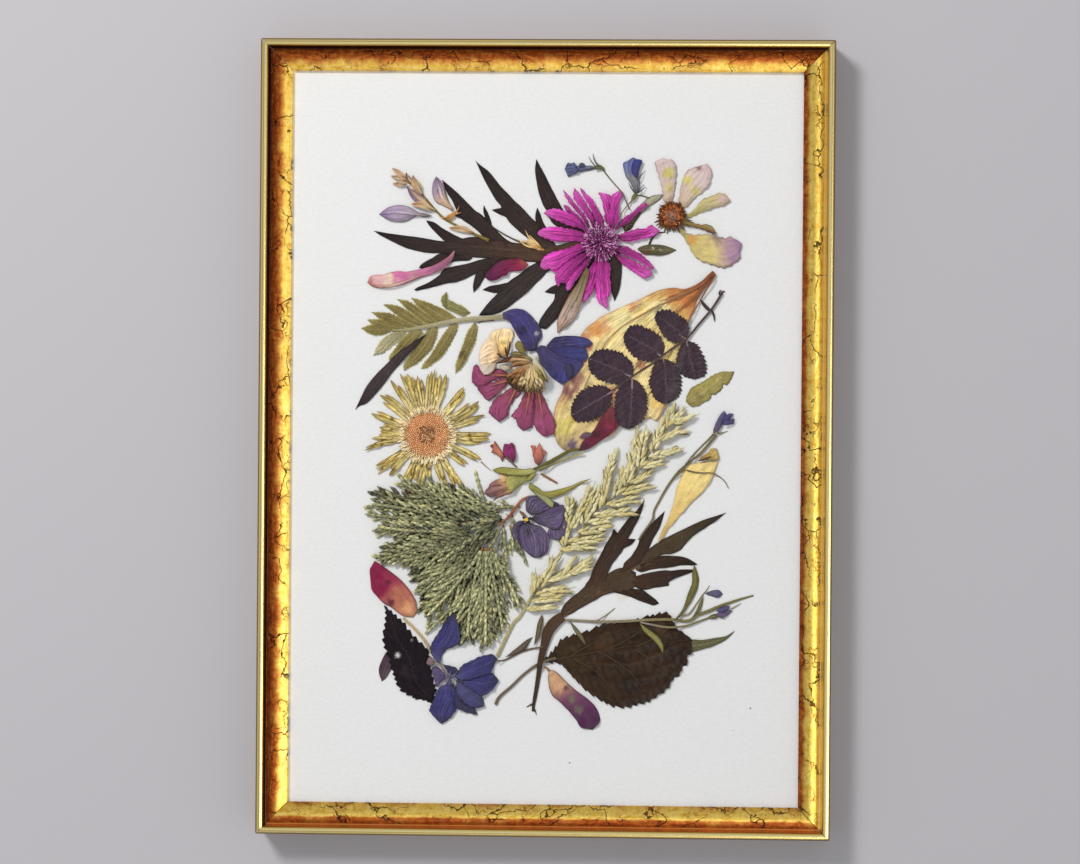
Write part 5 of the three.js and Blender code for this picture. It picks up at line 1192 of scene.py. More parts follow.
tulip.sheet((13.2, -5), [14.6, -1.4, 17, 1.2, 19.6, 4, 21.4, 7.6, 23, 10.8],
            [17.2, -4, 22, -0.8, 26, 2.2, 28.8, 5.2, 28.6, 8.4, 27, 12], (24.8, 15),
            [(0, (112, 30, 56)), (0.3, (150, 34, 70)), (0.6, (118, 24, 52)), (1, (172, 84, 82))],
            rim=((128, 44, 64), 0.5), folds=(5, 0.3), crown=0.5, uneven=0.3,
            spots=[(20, 2, 2.0, (86, 18, 40)), (25, 5, 1.8, (164, 46, 84)),
                   (16, -2.6, 1.4, (92, 40, 76))])
tulip.sheet((13.4, 0.4), [14.6, 1.8, 16.6, 2.6], [15.4, 0, 17.6, 0.6], (18.8, 2), (148, 106, 132),
            rim=((104, 60, 84), 0.4), crown=0.5)
for line in ([64.6, 64.5, 58, 56, 46, 44, 34, 26, 20, 6], [64, 64, 55, 57, 40, 50, 24, 38, 12, 12],
             [65.4, 63.5, 59, 52, 50, 36, 42, 20, 34, 8], [64.8, 64.6, 60, 60, 52, 56, 44, 54]):
    tulip.strand(line, [0.8, 0.5, 0.4, 0.2],
                 [(0, (190, 96, 56)), (0.3, (222, 150, 92)), (1, (226, 190, 138))], flat=0.35)
tulip.done()

# ---------------------------------------------------------------- silverweed leaf
# A silverweed leaf of saw-edged leaflets, olive above with one turned to its pale woolly
# underside, on a grey woolly rachis.
weed_tissue = tissue("silverweed_tissue", veins=(11, 2.2, 0.2), vein_colour=((196, 186, 130), 0.34),
                     blotches=(2.6, 0.4), relief=1.0, dark=0.55)
weed = Plant("silverweed_leaf", weed_tissue, stem_tissue, single=True)
OLIVE = [(0, (150, 136, 96)), (0.3, (130, 116, 68)), (0.7, (120, 106, 60)), (1, (160, 148, 90))]
KHAKI_RIM = ((186, 178, 106), 0.5)
for base, left, tip, right, tint, spots in (
        ((-37, 45.2), [-34.6, 46, -38, 49.2, -43, 51.6, -48, 53.6], (-53, 54.8),
         [-42, 45, -46, 47.6, -50, 51], OLIVE, []),
        ((-41, 44.4), [-45, 47.6, -50, 51, -54, 53.4], (-58.6, 54.2), [-47, 44.6, -51, 47.4, -55, 50.6],
         OLIVE, []),
        ((-46, 43.6), [-51, 47.6, -56, 50.6, -60, 52], (-64, 52), [-52, 44, -57, 46.6, -60.6, 49.4],
         OLIVE, []),
        ((-50, 43), [-57, 46.8, -62, 48.8], (-68.6, 49), [-57, 43, -62, 44.6, -65.6, 46.6], OLIVE,
         [(-62, 46.4, 1.6, (112, 88, 52))]),
        ((-54, 42.6), [-60, 44.8, -65, 46.2], (-70.2, 46), [-60, 41.4, -65, 42.4, -68, 44], OLIVE, []),
        ((-57, 42.2), [-63, 43.4, -68, 44.2], (-72.6, 42.6), [-60, 41.6, -65, 39.8, -69, 40.4], OLIVE,
         []),
        ((-38.8, 50.6), [-40, 51, -41.3, 54.2], (-39, 57.2), [-38.4, 52.6, -38.4, 55], (122, 118, 70),
         []),
        ((-39.4, 50.4), [-38.6, 54, -35, 52.6, -32, 51.2], (-29.4, 49), [-35, 48.6, -32, 47.6],
         (132, 126, 80), []),
        ((-56, 42), [-60, 41, -64, 38.4, -66.4, 35], (-67.6, 31.8), [-55, 40.4, -60, 36, -63.4, 33],
         [(0, (140, 134, 98)), (1, (188, 180, 148))], []),
        ((-50, 42.4), [-53, 41.6, -57, 38, -59, 35, -61.2, 32], (-61.4, 30.2),
         [-48, 41, -50, 38, -54, 34, -58, 31], OLIVE, [(-56, 35, 1.4, (106, 82, 50))]),
        ((-44.4, 43.4), [-46.5, 42, -49, 38, -52, 34, -54, 31, -55.6, 28.4], (-55.5, 26),
         [-42.3, 43.4, -42.7, 39, -44.5, 35, -46.5, 32.5, -49.5, 29.5, -53, 27.4], OLIVE, []),
        ((-36, 45), [-38, 43.5, -40.5, 40, -43, 36, -45, 32.5, -47.6, 29.4], (-48.8, 26.8),
         [-34.3, 44, -35, 41, -37, 37, -39.5, 33, -42.5, 30, -46, 27.4], OLIVE, []),
        ((-27.8, 45.6), [-29, 44, -31, 41, -32.3, 37, -33.8, 33, -35.2, 29], (-35.3, 25),
         [-26.6, 43, -27.4, 38, -29, 34.5, -30.5, 31, -33, 27], OLIVE,
         [(-32.6, 32.6, 1.8, (84, 72, 44))])):
    weed.sheet(base, left, right, tip, tint, rim=KHAKI_RIM, spots=spots, teeth=(1.15, 0.5), step=0.4,
               crown=0.4, folds=(3, 0.14))
weed.strand([-15.5, 47.6, -20, 47.2, -25, 46.7, -30, 46.5, -35, 45.8, -45, 43.8, -56, 42, -66, 42.4],
            [2.2, 2.0, 2.0, 2.0, 1.9, 1.5, 1.0, 0.6],
            [(0, (150, 140, 110)), (0.3, (172, 164, 132)), (1, (150, 144, 100))], finish=1, raised=0.15)
weed.strand([-27, 45, -24, 45.8, -20, 46], [0.3, 0.6, 0.3], (84, 70, 50), finish=1, raised=0.3)
weed.done()

# ---------------------------------------------------------------- dark lance leaf
# A narrow leaf, dried nearly black, that was glued down over the silverweed's lower leaflets. It
# tapers to a drawn-out point.
lance = Plant("dark_lance_leaf", divided_tissue)
lance.sheet((-46.5, 40.7), [-50, 38.5, -54.5, 35.5, -58, 33, -62, 29, -66, 25, -70, 20, -72.5, 15],
            [-50, 36.5, -54, 32, -57, 28.7, -60.3, 25, -63.5, 20.5, -67.3, 16, -70, 13.3, -73, 12],
            (-74.6, 10.5), [(0, (58, 45, 45)), (0.5, (68, 56, 58)), (1, (50, 40, 44))],
            rim=((40, 31, 35), 0.6), crown=0.6, folds=(2, 0.12))
lance.done()

# ---------------------------------------------------------------- zinnia
# Half a zinnia head: a ruffled cream petal and its folds above a straw dome, and five plum
# petals that fan out below.
zinnia_tissue = tissue(
    "zinnia_tissue", streaks=(15, 0.55), blotches=(2.2, 0.25), relief=0.55, grain=0.12, sheen=0.12)
zinnia = Plant("zinnia", zinnia_tissue)
PLUM = [(0, (176, 110, 84)), (0.14, (156, 78, 94)), (0.6, (158, 76, 114)), (1, (134, 60, 98))]
for base, left, tip, right in (
        ((-13.6, 24.4), [-17, 26.8, -20, 26.8, -23, 25, -25, 26, -26.5, 28.4, -28, 28.3], (-28.8, 25),
         [-15, 24.2, -19, 23, -22, 21.5, -24.5, 20, -27, 20.2, -28.7, 22]),
        ((-13.2, 23), [-15.5, 23.7, -19, 22.5, -23, 20.8, -26.3, 20], (-26.4, 18.8),
         [-14.3, 21.4, -16, 19.8, -18.5, 17.3, -21, 15.2, -22.8, 14.6, -24.5, 16.5]),
        ((-10.8, 20.4), [-14, 19.5, -17, 17.3, -19.5, 15.5, -21, 13, -22.1, 10.3, -20.5, 8.3],
         (-17.9, 6.2), [-9.6, 17.5, -11.5, 15.5, -13.3, 13, -14.2, 11, -14.3, 9.3, -15.5, 7.8]),
        ((-5.8, 19.6), [-7.8, 17.8, -9.3, 15, -10.5, 12.3, -13.2, 8.7, -11.3, 7.6, -10.8, 5],
         (-8.6, 2.8), [-4, 18, -4.2, 15, -4.2, 12, -4.8, 9, -4.8, 6, -5.3, 4.2]),
        ((-3, 19.8), [-4, 18, -4, 13, -4.5, 8, -4.3, 5, -2, 1.8], (0.6, 0.6),
         [-2.2, 18.8, -1.2, 17.5, 0.5, 14, 2.3, 10, 3.8, 7, 4, 4.5, 3.5, 2])):
    zinnia.sheet(base, left, right, tip, PLUM, rim=((96, 46, 64), 0.55), folds=(5, 0.26), crown=0.6,
                 uneven=0.3, thick=0.18, teeth=(2.6, 0.5), lift=0.4)
    reach = [base[0] * 0.35 + tip[0] * 0.65, base[1] * 0.35 + tip[1] * 0.65]
    zinnia.strand([*base, *reach], [0.7, 0.6, 0.2], [(0, (204, 138, 84)), (1, (176, 112, 110))], flat=0.5)
for base, left, tip, right, tint, rim in (
        ((-15.2, 31.6), [-18, 33, -20.4, 35.6, -22.2, 38.4, -21, 41.6], (-17, 43),
         [-14.8, 33.6, -13.8, 36.6, -12.9, 38.6, -12.4, 41, -13.8, 42.8],
         [(0, (222, 160, 92)), (0.4, (252, 222, 152)), (1, (242, 226, 200))], (206, 168, 128)),
        ((-17.6, 31.8), [-18.9, 29.6, -20.2, 27.6, -21.4, 26.6, -23.9, 26.8], (-26, 29.6),
         [-18.4, 34.6, -19.4, 37.4, -21.8, 39, -24.6, 36.6, -26, 33],
         [(0, (200, 140, 92)), (0.35, (244, 212, 164)), (1, (242, 226, 206))], (214, 184, 160)),
        ((-19, 28.9), [-19.8, 27, -21, 25.6, -22.6, 24.8], (-24, 24.7),
         [-21.4, 29.4, -24.2, 28.8, -25.8, 27.4], [(0, (214, 190, 160)), (1, (232, 222, 206))],
         (196, 172, 152)),
        ((-18.2, 28.4), [-16.4, 28.9, -14.6, 28.6], (-12.8, 27.4), [-17, 26.8, -15, 26.4],
         (206, 194, 174), (156, 136, 112)),
        ((-15, 24.6), [-15, 22.4, -13.2, 20, -10.6, 18.6], (-7.6, 18), [-12.6, 24, -9.6, 22.6, -8, 21],
         [(0, (92, 58, 36)), (1, (74, 46, 30))], (54, 34, 22)),
        ((-13.7, 33.3), [-11.5, 34, -8.5, 33, -6, 31.8], (-4.4, 30.2),
         [-12.4, 31.6, -9, 31.4, -6.5, 30.6],
         [(0, (132, 118, 66)), (0.6, (164, 146, 92)), (1, (206, 186, 140))], (86, 66, 38)),
        ((-16.4, 29.4), [-13.5, 31.4, -10, 31.5, -7, 31], (-4.6, 29.6),
         [-13.5, 29.6, -10, 29.6, -7, 29.4],
         [(0, (178, 126, 78)), (0.5, (226, 182, 130)), (1, (232, 206, 166))], (122, 82, 48)),
        ((-14.2, 27.4), [-12, 29.8, -9, 30.2, -6.4, 29.8], (-4.8, 28.8),
         [-11.8, 27.8, -9, 28.4, -6.4, 28.6],
         [(0, (150, 100, 60)), (0.6, (206, 158, 104)), (1, (226, 198, 150))], (106, 70, 42)),
        ((-8.6, 33), [-11.2, 34.6, -12, 36.6], (-10.8, 38.2), [-7.6, 34.6, -8.4, 37], (138, 126, 70),
         (90, 80, 44)),
        ((-19.6, 29), [-17, 30.6, -14.8, 31.8], (-12.8, 32), [-16.6, 29.3, -14.4, 30.4], (92, 62, 38),
         (54, 36, 24))):
    zinnia.sheet(base, left, right, tip, tint, rim=(rim, 0.4), folds=(7, 0.3), crown=0.8, uneven=0.4,
                 thick=0.18, step=0.55)
for line in ([-13.9, 37.8, -14.2, 35, -14.9, 31.8], [-15.8, 35.6, -15.4, 33.6, -14.8, 31.8],
             [-18.9, 33.2, -17.4, 31.8, -15.4, 31.2]):
    zinnia.strand(line, [0.4, 0.9, 0.5], (72, 48, 32))


def blade(x, y, heading, length, halves):
    """The base, both edges and tip of a blade that is this broad at even steps along it."""
    ahead_x, ahead_y = math.cos(heading), math.sin(heading)
    left, right = [], []
    for step, half in enumerate(halves, 1):
        far = length * step / (len(halves) + 1)
        left += [x + ahead_x * far - ahead_y * half, y + ahead_y * far + ahead_x * half]
        right += [x + ahead_x * far + ahead_y * half, y + ahead_y * far - ahead_x * half]
    return (x, y), left, right, polar(x, y, heading, length)


STALK_X, STALK_Y = -4.8, 29.4
dice = random.Random(17)
for reach, count in ((12.0, 12), (11.2, 11), (9.8, 9), (7.8, 7)):
    for n in range(count):
        degrees = 203 + 108 * (n + 0.5 + dice.uniform(-0.25, 0.25)) / count
        length = reach * (1 if degrees < 296 else 0.84) * dice.uniform(0.92, 1.04)
        tint = dice.choice([(246, 222, 164), (255, 238, 188), (232, 202, 140)])
        if degrees < 228:
            tint = dice.choice([(178, 128, 80), (206, 160, 108), (150, 104, 64)])
        if degrees > 297:
            tint = dice.choice([(156, 150, 84), (132, 126, 62), (196, 184, 124)])
        zinnia.sheet(*blade(STALK_X, STALK_Y, math.radians(degrees), length,
                            [0.5, 0.8, 1.0, 0.95, 0.6]),
                     [(0, (236, 212, 166)), (0.6, tint), (0.9, tint), (1, (112, 74, 42))],
                     rim=((104, 68, 36), 0.32), crown=0.5, folds=(3, 0.12), thick=0.16, step=0.5,
                     easing=2)
for n in range(64):
    swing = math.radians(dice.uniform(206, 288))
    reach = dice.uniform(9.8, 11.6)
    x, y = polar(STALK_X, STALK_Y, swing, reach)
    way = swing + dice.uniform(-0.8, 0.8)
    zinnia.strand([x, y, *polar(x, y, way, 1.1)], [0.3, 0.6, 0.15],
                  dice.choice([(66, 42, 26), (98, 66, 38), (84, 78, 38), (124, 88, 50)]), sides=6)
zinnia.strand([-2.6, 32.6, -3.4, 31, -4.4, 29.4], [1.4, 2.2, 1.6], (230, 226, 200))
zinnia.strand([-4.6, 29.6, -2.6, 28.4, -0.8, 26, 0.6, 23], [1.0, 1.1, 0.8, 0.3],
              [(0, (232, 218, 176)), (1, (196, 168, 104))])
zinnia.done()

# ---------------------------------------------------------------- blue petals and the sheath
# Indigo petals lifted from a larkspur and glued down crumpled together beside the zinnia, and a
# withered sheath that reaches down to them from the cornflower.
spur = Plant("larkspur_petal_left", blue_tissue)
spur.sheet((-4, 34.2), [-6.4, 34, -7.7, 34.8, -9, 37, -11, 40, -13, 43.5, -14.5, 46, -16.4, 46.6],
           [-3.2, 36, -3, 37.4, -1.8, 38.8, -1.4, 41, -2.5, 44, -4.3, 46.5, -6.3, 48.7, -9, 50.4, -13,
            50.6], (-17, 49),
           [(0, (60, 50, 86)), (0.3, (66, 60, 114)), (0.8, (72, 66, 130)), (1, (92, 76, 108))],
           rim=((78, 56, 60), 0.6), folds=(5, 0.3), crown=0.6, uneven=0.35,
           spots=[(-3.5, 41, 0.9, (188, 182, 186)), (-9, 42, 2.2, (44, 40, 78))])
spur.done()

spur = Plant("larkspur_petals_right", blue_tissue)
for base, left, tip, right, tint in (
        ((0.4, 36.4), [3.1, 39.3, 5, 39.8, 8, 40.2, 12, 40.1, 15, 39.6, 17.5, 38.5], (18.4, 37.2),
         [0.4, 34.4, 2, 32, 6, 33, 10, 33.6, 14, 34.6, 16, 35.8],
         [(0, (62, 52, 84)), (1, (72, 72, 138))]),
        ((1, 35), [5, 35.6, 9, 36, 13, 35.8, 15.6, 35.4], (16.7, 31.8),
         [0.6, 33, 2.4, 31, 6, 29, 10.5, 28.8, 13, 29.5, 15, 30.2],
         [(0, (56, 52, 100)), (1, (64, 66, 134))]),
        ((-2, 36.4), [-3.8, 34.6, -2.8, 32.5, -2.2, 30.5, -1.2, 28.5, 0.8, 26, 2.8, 23.6], (6.6, 21.2),
         [0.2, 36, 4, 33.2, 9, 31.2, 14.6, 30, 13.2, 26.4, 9.6, 22.8],
         [(0, (74, 64, 104)), (1, (58, 58, 122))]),
        ((8.6, 29.6), [7.4, 28.4, 8, 25.8], (9.2, 23.2), [10.9, 28.6, 11, 25.5, 10.2, 23.8],
         (60, 54, 92))):
    spur.sheet(base, left, right, tip, tint, rim=((44, 36, 64), 0.5), folds=(5, 0.34), crown=0.6,
               uneven=0.4, lift=0.5)
spur.done()

sheath = Plant("withered_sheath", bud_tissue)
sheath.sheet((16, 67), [14.6, 65, 12.2, 60.5, 9.6, 57, 8, 54, 6, 50, 4.6, 46.5, 4.4, 43.6],
             [16.8, 65, 16, 61, 14.8, 57, 13.8, 53.4, 12.8, 50, 11.4, 47, 9, 44.4, 6.6, 42.6],
             (4.6, 41.2),
             [(0, (110, 100, 56)), (0.35, (150, 128, 98)), (0.7, (196, 172, 160)),
              (1, (170, 136, 114))], rim=((112, 84, 62), 0.6), folds=(5, 0.35), crown=1.0, uneven=0.35)
sheath.strand([15, 64, 12, 56, 8.6, 50, 6.4, 45], [0.5, 1.1, 0.8, 0.4],
              [(0, (120, 108, 62)), (1, (200, 182, 168))], flat=0.4)
sheath.done()

# ---------------------------------------------------------------- rose leaf and nibbled leaf
# A dark rose leaf of seven saw-edged leaflets over the tulip petal, and a khaki leaf that
# something has eaten into.
rose_tissue = tissue("rose_tissue", veins=(8, 1.8, 0.11), vein_colour=((118, 98, 110), 0.3),
                     blotches=(2.4, 0.6), relief=0.8, dark=0.5, gloss=0.22, roughness=0.5)
rose = Plant("rose_leaf", rose_tissue, stem_tissue, single=True)
DUSK = [(0, (56, 37, 46)), (0.5, (55, 37, 49)), (1, (47, 31, 43))]
for base, left, tip, right in (
        ((54.8, 39.2), [55.8, 41.5, 56, 44.2, 54.5, 46.8, 52, 48.6, 49, 50.2, 46, 50.8, 43.5, 49.8],
         (42.3, 47.3), [54, 38.6, 52, 37.7, 49, 38, 46.3, 40.2, 44.5, 43, 43, 46]),
        ((45.6, 32.3),
         [46.2, 34.5, 46.4, 36.8, 45.2, 39.5, 43, 41.5, 40, 43.3, 36.5, 44.4, 33.3, 44.3, 31.5, 42.4],
         (30.3, 40), [43.5, 31.2, 41, 30.3, 38, 30.6, 35, 32, 32.5, 34.5, 31, 37]),
        ((34, 24.2), [34.6, 27, 34, 29.5, 32.5, 31.5, 30.5, 33, 28, 34.3, 25, 35, 22, 35, 19.4, 34.2],
         (16.8, 31.4),
         [33.5, 23.6, 31.5, 22.5, 29, 21.3, 26, 21.5, 23, 22.3, 20.5, 23.5, 18.2, 25.5, 16.8, 28]),
        ((26.4, 18.6),
         [24.5, 20, 22, 21, 19.5, 21, 17, 20.2, 14, 18.5, 12.3, 16.8, 11, 14.5, 10.3, 12.5],
         (10.1, 9.2), [26.2, 16, 25.2, 13, 23.5, 10.3, 21, 8.3, 18.5, 6.9, 15, 6.4, 12, 6.8]),
        ((34, 23.6), [31.5, 22.2, 29, 20.5, 27.7, 17.5, 27.3, 14, 27.3, 10, 28.3, 7, 29.6, 5],
         (32.8, 3.8), [36, 22.7, 38, 20.8, 39.5, 18, 40, 14.5, 39.6, 10.5, 38, 7, 35.5, 5]),
        ((46, 31.6), [43, 30, 41.8, 27, 40.5, 22.5, 41, 20, 42.3, 16.8, 44.4, 14.6], (47.2, 13.6),
         [49, 30.6, 51.5, 29, 52.8, 26, 53.3, 23, 53.2, 19.5, 52, 16.5, 50, 15]),
        ((55, 38.6), [53, 36.5, 51.8, 34, 51.3, 31, 52.2, 27.4, 54, 24.8], (58.4, 23.4),
         [57.5, 38, 60, 36.5, 61.2, 34, 62.5, 31, 63, 28, 62.4, 25])):
    rose.sheet(base, left, right, tip, DUSK, rim=((36, 25, 31), 0.5), teeth=(1.6, 1.15), step=0.38,
               crown=0.5, folds=(3, 0.12))
    rose.strand([*base, base[0] * 0.5 + tip[0] * 0.5 + 0.3, base[1] * 0.5 + tip[1] * 0.5, *tip],
                [0.7, 0.5, 0.25], (150, 124, 128), finish=1, flat=0.5, raised=0.4)
rose.strand([68.8, 57.3, 66, 52.8, 64, 50, 60, 45.3, 55, 39.3, 50, 35.8, 45.5, 32.5, 42, 29.8, 35, 25.2,
             30, 21.5, 26, 18.8], [1.0, 0.9, 0.9, 0.8, 0.6], (78, 62, 60), finish=1, raised=0.45)
for line, breadths in (([68.5, 56.8, 69, 58, 69.9, 57.8], [0.8, 0.7, 0.4]),
                       ([68, 56.6, 67.6, 57.6, 68.4, 58.4], [0.8, 0.7, 0.4]),
                       ([64.3, 50.3, 62, 52.4, 60.2, 54.9], [0.9, 1.6, 1.4, 0.3]),
                       ([64.6, 51, 65.6, 48.6, 66, 46.2], [0.8, 0.9, 0.3])):
    rose.strand(line, breadths, (66, 48, 52), finish=1, raised=0.2)
rose.done()

nibbled = Plant("nibbled_leaf", small_leaf_tissue, single=True)
nibbled.sheet((55, 14.8), [55.4, 17, 57, 20, 60, 21.8, 63, 23.5, 66, 25.5, 69, 26.6, 71.5, 26.6],
              [57, 13, 59.5, 13, 62, 14.5, 64.6, 16, 65, 17.7, 66.6, 17.6, 69.3, 20, 69.5, 21.8, 71,
               21.4, 72.6, 23.6], (73.8, 26.8),
              [(0, (150, 138, 84)), (0.5, (162, 150, 82)), (1, (146, 134, 72))],
              rim=((112, 98, 52), 0.5), crown=0.6, teeth=(1.6, 0.4), folds=(3, 0.12),
              spots=[(60, 17, 1.4, (132, 112, 66)), (68, 23.6, 1.6, (172, 158, 96))])
nibbled.done()

# ---------------------------------------------------------------- daisy
# A daisy past its best: an orange-tan disc with a brown eye, a ring of cream florets, and split
# olive-yellow rays of every length round it.
DAISY_X, DAISY_Y = -46.0, 1.0
DAISY_RAYS = [(-43.2, 27, 5.2), (-38.8, 25, 1.6), (-31.3, 19.5, 2.8), (-26, 14.5, 4), (-23, 8.4, 2.4),
              (-20.9, 0.9, 2.8), (-21.5, -1.3, 2.8), (-25, -9.2, 2.4), (-30.3, -10.8, 2.4),
              (-31.5, -20, 2.6), (-34.4, -19, 2.4), (-38, -21, 2.6), (-45.2, -17.6, 2.4),
              (-49.2, -19.6, 2.4), (-51.5, -17, 2.6), (-56.6, -20.4, 3), (-61.5, -14.8, 2.4),
              (-66, -14.3, 2.6), (-66.8, -12.2, 2), (-71, -5, 1.8), (-67.6, -2.3, 2), (-68.2, 0, 2.2),
              (-65, 3.8, 4), (-68, 10, 2.8), (-65, 16.6, 4), (-60.2, 23, 2.6), (-56.5, 25.3, 2.4),
              (-53.5, 25.3, 2.6), (-50, 24.3, 3.4)]
daisy_tissue = tissue("daisy_tissue", streaks=(4, 0.6), blotches=(1.8, 0.3), relief=0.3, grain=0.12,
                      dark=0.45)
daisy = Plant("daisy", daisy_tissue, single=True)
dice = random.Random(33)
for tip_x, tip_y, breadth in DAISY_RAYS:
    away = math.hypot(tip_x - DAISY_X, tip_y - DAISY_Y)
    heading = math.atan2(tip_y - DAISY_Y, tip_x - DAISY_X)
    splits = max(1, round(breadth / 1.15))
    sway = dice.uniform(-0.05, 0.05)
    for split in range(splits):
        side = (split + 0.5) / splits - 0.5
        reach = away * (1 if split == splits // 2 else dice.uniform(0.84, 0.98))
        half = breadth / splits * 0.62
        edges = ([], [])
        for place, share in ((0.1, 0.8), (0.35, 1.0), (0.65, 1.0), (0.88, dice.uniform(0.6, 0.95))):
            far = 7.8 + (reach - 7.8) * place
            angle = heading + sway * math.sin(math.pi * place)
            off = side * breadth * (0.85 + 0.25 * place)
            for edge, way in zip(edges, (1, -1)):
                out = off + way * half * share * dice.uniform(0.85, 1.12)
                edge += [DAISY_X + math.cos(angle) * far - math.sin(angle) * out,
                         DAISY_Y + math.sin(angle) * far + math.cos(angle) * out]
        base = polar(DAISY_X, DAISY_Y, heading + side * 0.12, 7.6)
        end_out = side * breadth * 1.1
        tip = (DAISY_X + math.cos(heading) * reach - math.sin(heading) * end_out,
               DAISY_Y + math.sin(heading) * reach + math.cos(heading) * end_out)
        tone = dice.uniform(0.84, 1.08)
        tint = [(place, tuple(min(255, value * tone) for value in colour))
                for place, colour in ((0, (244, 234, 192)), (0.3, (236, 222, 164)),
                                      (0.7, (220, 202, 126)), (1, (178, 150, 84)))]
        daisy.sheet(base, edges[0], edges[1], tip, tint, rim=((142, 116, 50), 0.25), folds=(2, 0.22),
                    crown=-0.2, uneven=0.35, thick=0.14, lift=dice.uniform(0, 0.6), step=0.5, easing=2,
                    spots=[(DAISY_X + math.cos(heading) * reach * dice.uniform(0.6, 0.9),
                            DAISY_Y + math.sin(heading) * reach * dice.uniform(0.6, 0.9),
                            dice.uniform(0.4, 1.0), (128, 98, 40))])
daisy.strand([-25, -9.3, -23, -11.2, -20.8, -13], [0.5, 0.35, 0.2], (122, 100, 44))
daisy.sheet((-54.4, 1), [-52, 7, -46, 9.4, -40, 7], [-52, -5, -46, -7.4, -40, -5], (-37.6, 1),
            (214, 160, 112), crown=1.1, thick=0.5)
daisy.done()

head = []
for reach, angle in spiral(520, 8.4):
    x, y = polar(DAISY_X, DAISY_Y, angle, reach)
    lean = reach / 9.0
    shade = dice.choice([(240, 190, 138), (250, 204, 154), (228, 172, 120), (252, 214, 166)])
    if reach < 3.2 + dice.uniform(-0.5, 0.5):
        shade = dice.choice([(150, 104, 66), (184, 138, 96), (120, 82, 52), (240, 216, 172)])
    rise = 11.3 + 0.8 * (1 - (reach / 8.4) ** 2) - 0.5 * math.exp(-(reach / 2.5) ** 2)
    head.append(((x, y, rise - 0.5), (lean * math.cos(angle), lean * math.sin(angle), 1.0),
                 (0.46, 0.46, dice.uniform(0.8, 1.1)), shade))
for n in range(340):
    angle = 2 * math.pi * n / 340 + dice.uniform(-0.03, 0.03)
    reach = dice.uniform(8.2, 10.3)
    x, y = polar(DAISY_X, DAISY_Y, angle, reach)
    head.append(((x, y, dice.uniform(11.0, 11.4)),
                 (math.cos(angle), math.sin(angle), dice.uniform(0.1, 0.5)),
                 (0.34, 0.34, dice.uniform(1.2, 2.1)),
                 dice.choice([(250, 238, 200), (240, 224, 174), (224, 190, 132), (255, 246, 218)])))
sow("daisy_disc", head, tube, floret_tissue, "daisy", seed=5)

# ---------------------------------------------------------------- two fallen florets
# A crimson and an orange floret that have come off their heads. Each is two or three crumpled
# petals glued flat on the card.
floret = Plant("floret_crimson", petal_tissue)
for base, left, tip, right, tint in (
        ((-16.6, -9.4), [-17.7, -7.5, -19.2, -6.2, -20.9, -5.7, -20.2, -4.6], (-21.5, -3.3),
         [-15.8, -7.4, -16.9, -5.1, -18.4, -2.9, -19.7, -1, -19.9, -2.6, -20.7, -2.4],
         [(0, (112, 60, 72)), (0.3, (206, 138, 104)), (0.7, (196, 116, 100)), (1, (122, 48, 78))]),
        ((-12.4, -9.8), [-14.4, -8.8, -15.9, -7, -16.3, -4.6, -15.8, -2.2, -14.6, -2.9], (-13.6, -2),
         [-11.4, -8.2, -11.3, -6, -11.6, -3.8, -12.1, -2.3, -12.9, -1.8],
         [(0, (92, 34, 62)), (0.5, (152, 52, 112)), (1, (124, 50, 88))])):
    floret.sheet(base, left, right, tip, tint, rim=((86, 28, 56), 0.4), folds=(5, 0.35), crown=0.7,
                 uneven=0.4, step=0.4)
floret.strand([-15, -7.4, -13.4, -9, -10.9, -11.3], [0.6, 0.8, 0.6], (118, 96, 92))
floret.done()

floret = Plant("floret_orange", petal_tissue)
for base, left, tip, right in (
        ((-3, -9), [-4.4, -7.5, -4.9, -4.8, -5.6, -2.9], (-3.9, -2.8), [-2, -7, -2.8, -5, -3.3, -3.8]),
        ((-2, -9), [-3, -7, -1.6, -5.4, -0.9, -4.4], (0.8, -5.1), [-0.5, -8, -0.2, -7, 0.3, -6.4]),
        ((-2.5, -10.6), [-3.9, -9.4, -4.2, -7, -3.7, -4.8, -3, -3.4], (-2.1, -1.7),
         [-1.1, -9.6, -0.6, -7.4, -0.8, -5, -1.2, -3.4])):
    floret.sheet(base, left, right, tip,
                 [(0, (132, 74, 76)), (0.4, (182, 104, 92)), (1, (204, 132, 106))],
                 rim=((150, 70, 66), 0.4), folds=(4, 0.3), crown=0.6, uneven=0.4, step=0.4)
floret.done()

# ---------------------------------------------------------------- hydrangea leaf
# The big brown leaf at the foot, its network of veins sunk in, with the tip of a green leaf
# under it.
green_tip = Plant("green_leaf_tip", small_leaf_tissue)
green_tip.sheet((55, -81), [57.7, -78.3, 62, -78.3, 67, -77.5, 71, -76.8, 73, -75.8],
                [57, -83.5, 60, -82.6, 66, -80.8, 70, -79, 73, -76.8], (75, -74.4),
                [(0, (88, 88, 54)), (1, (104, 104, 68))], rim=((70, 66, 38), 0.5), folds=(3, 0.14))
green_tip.done()

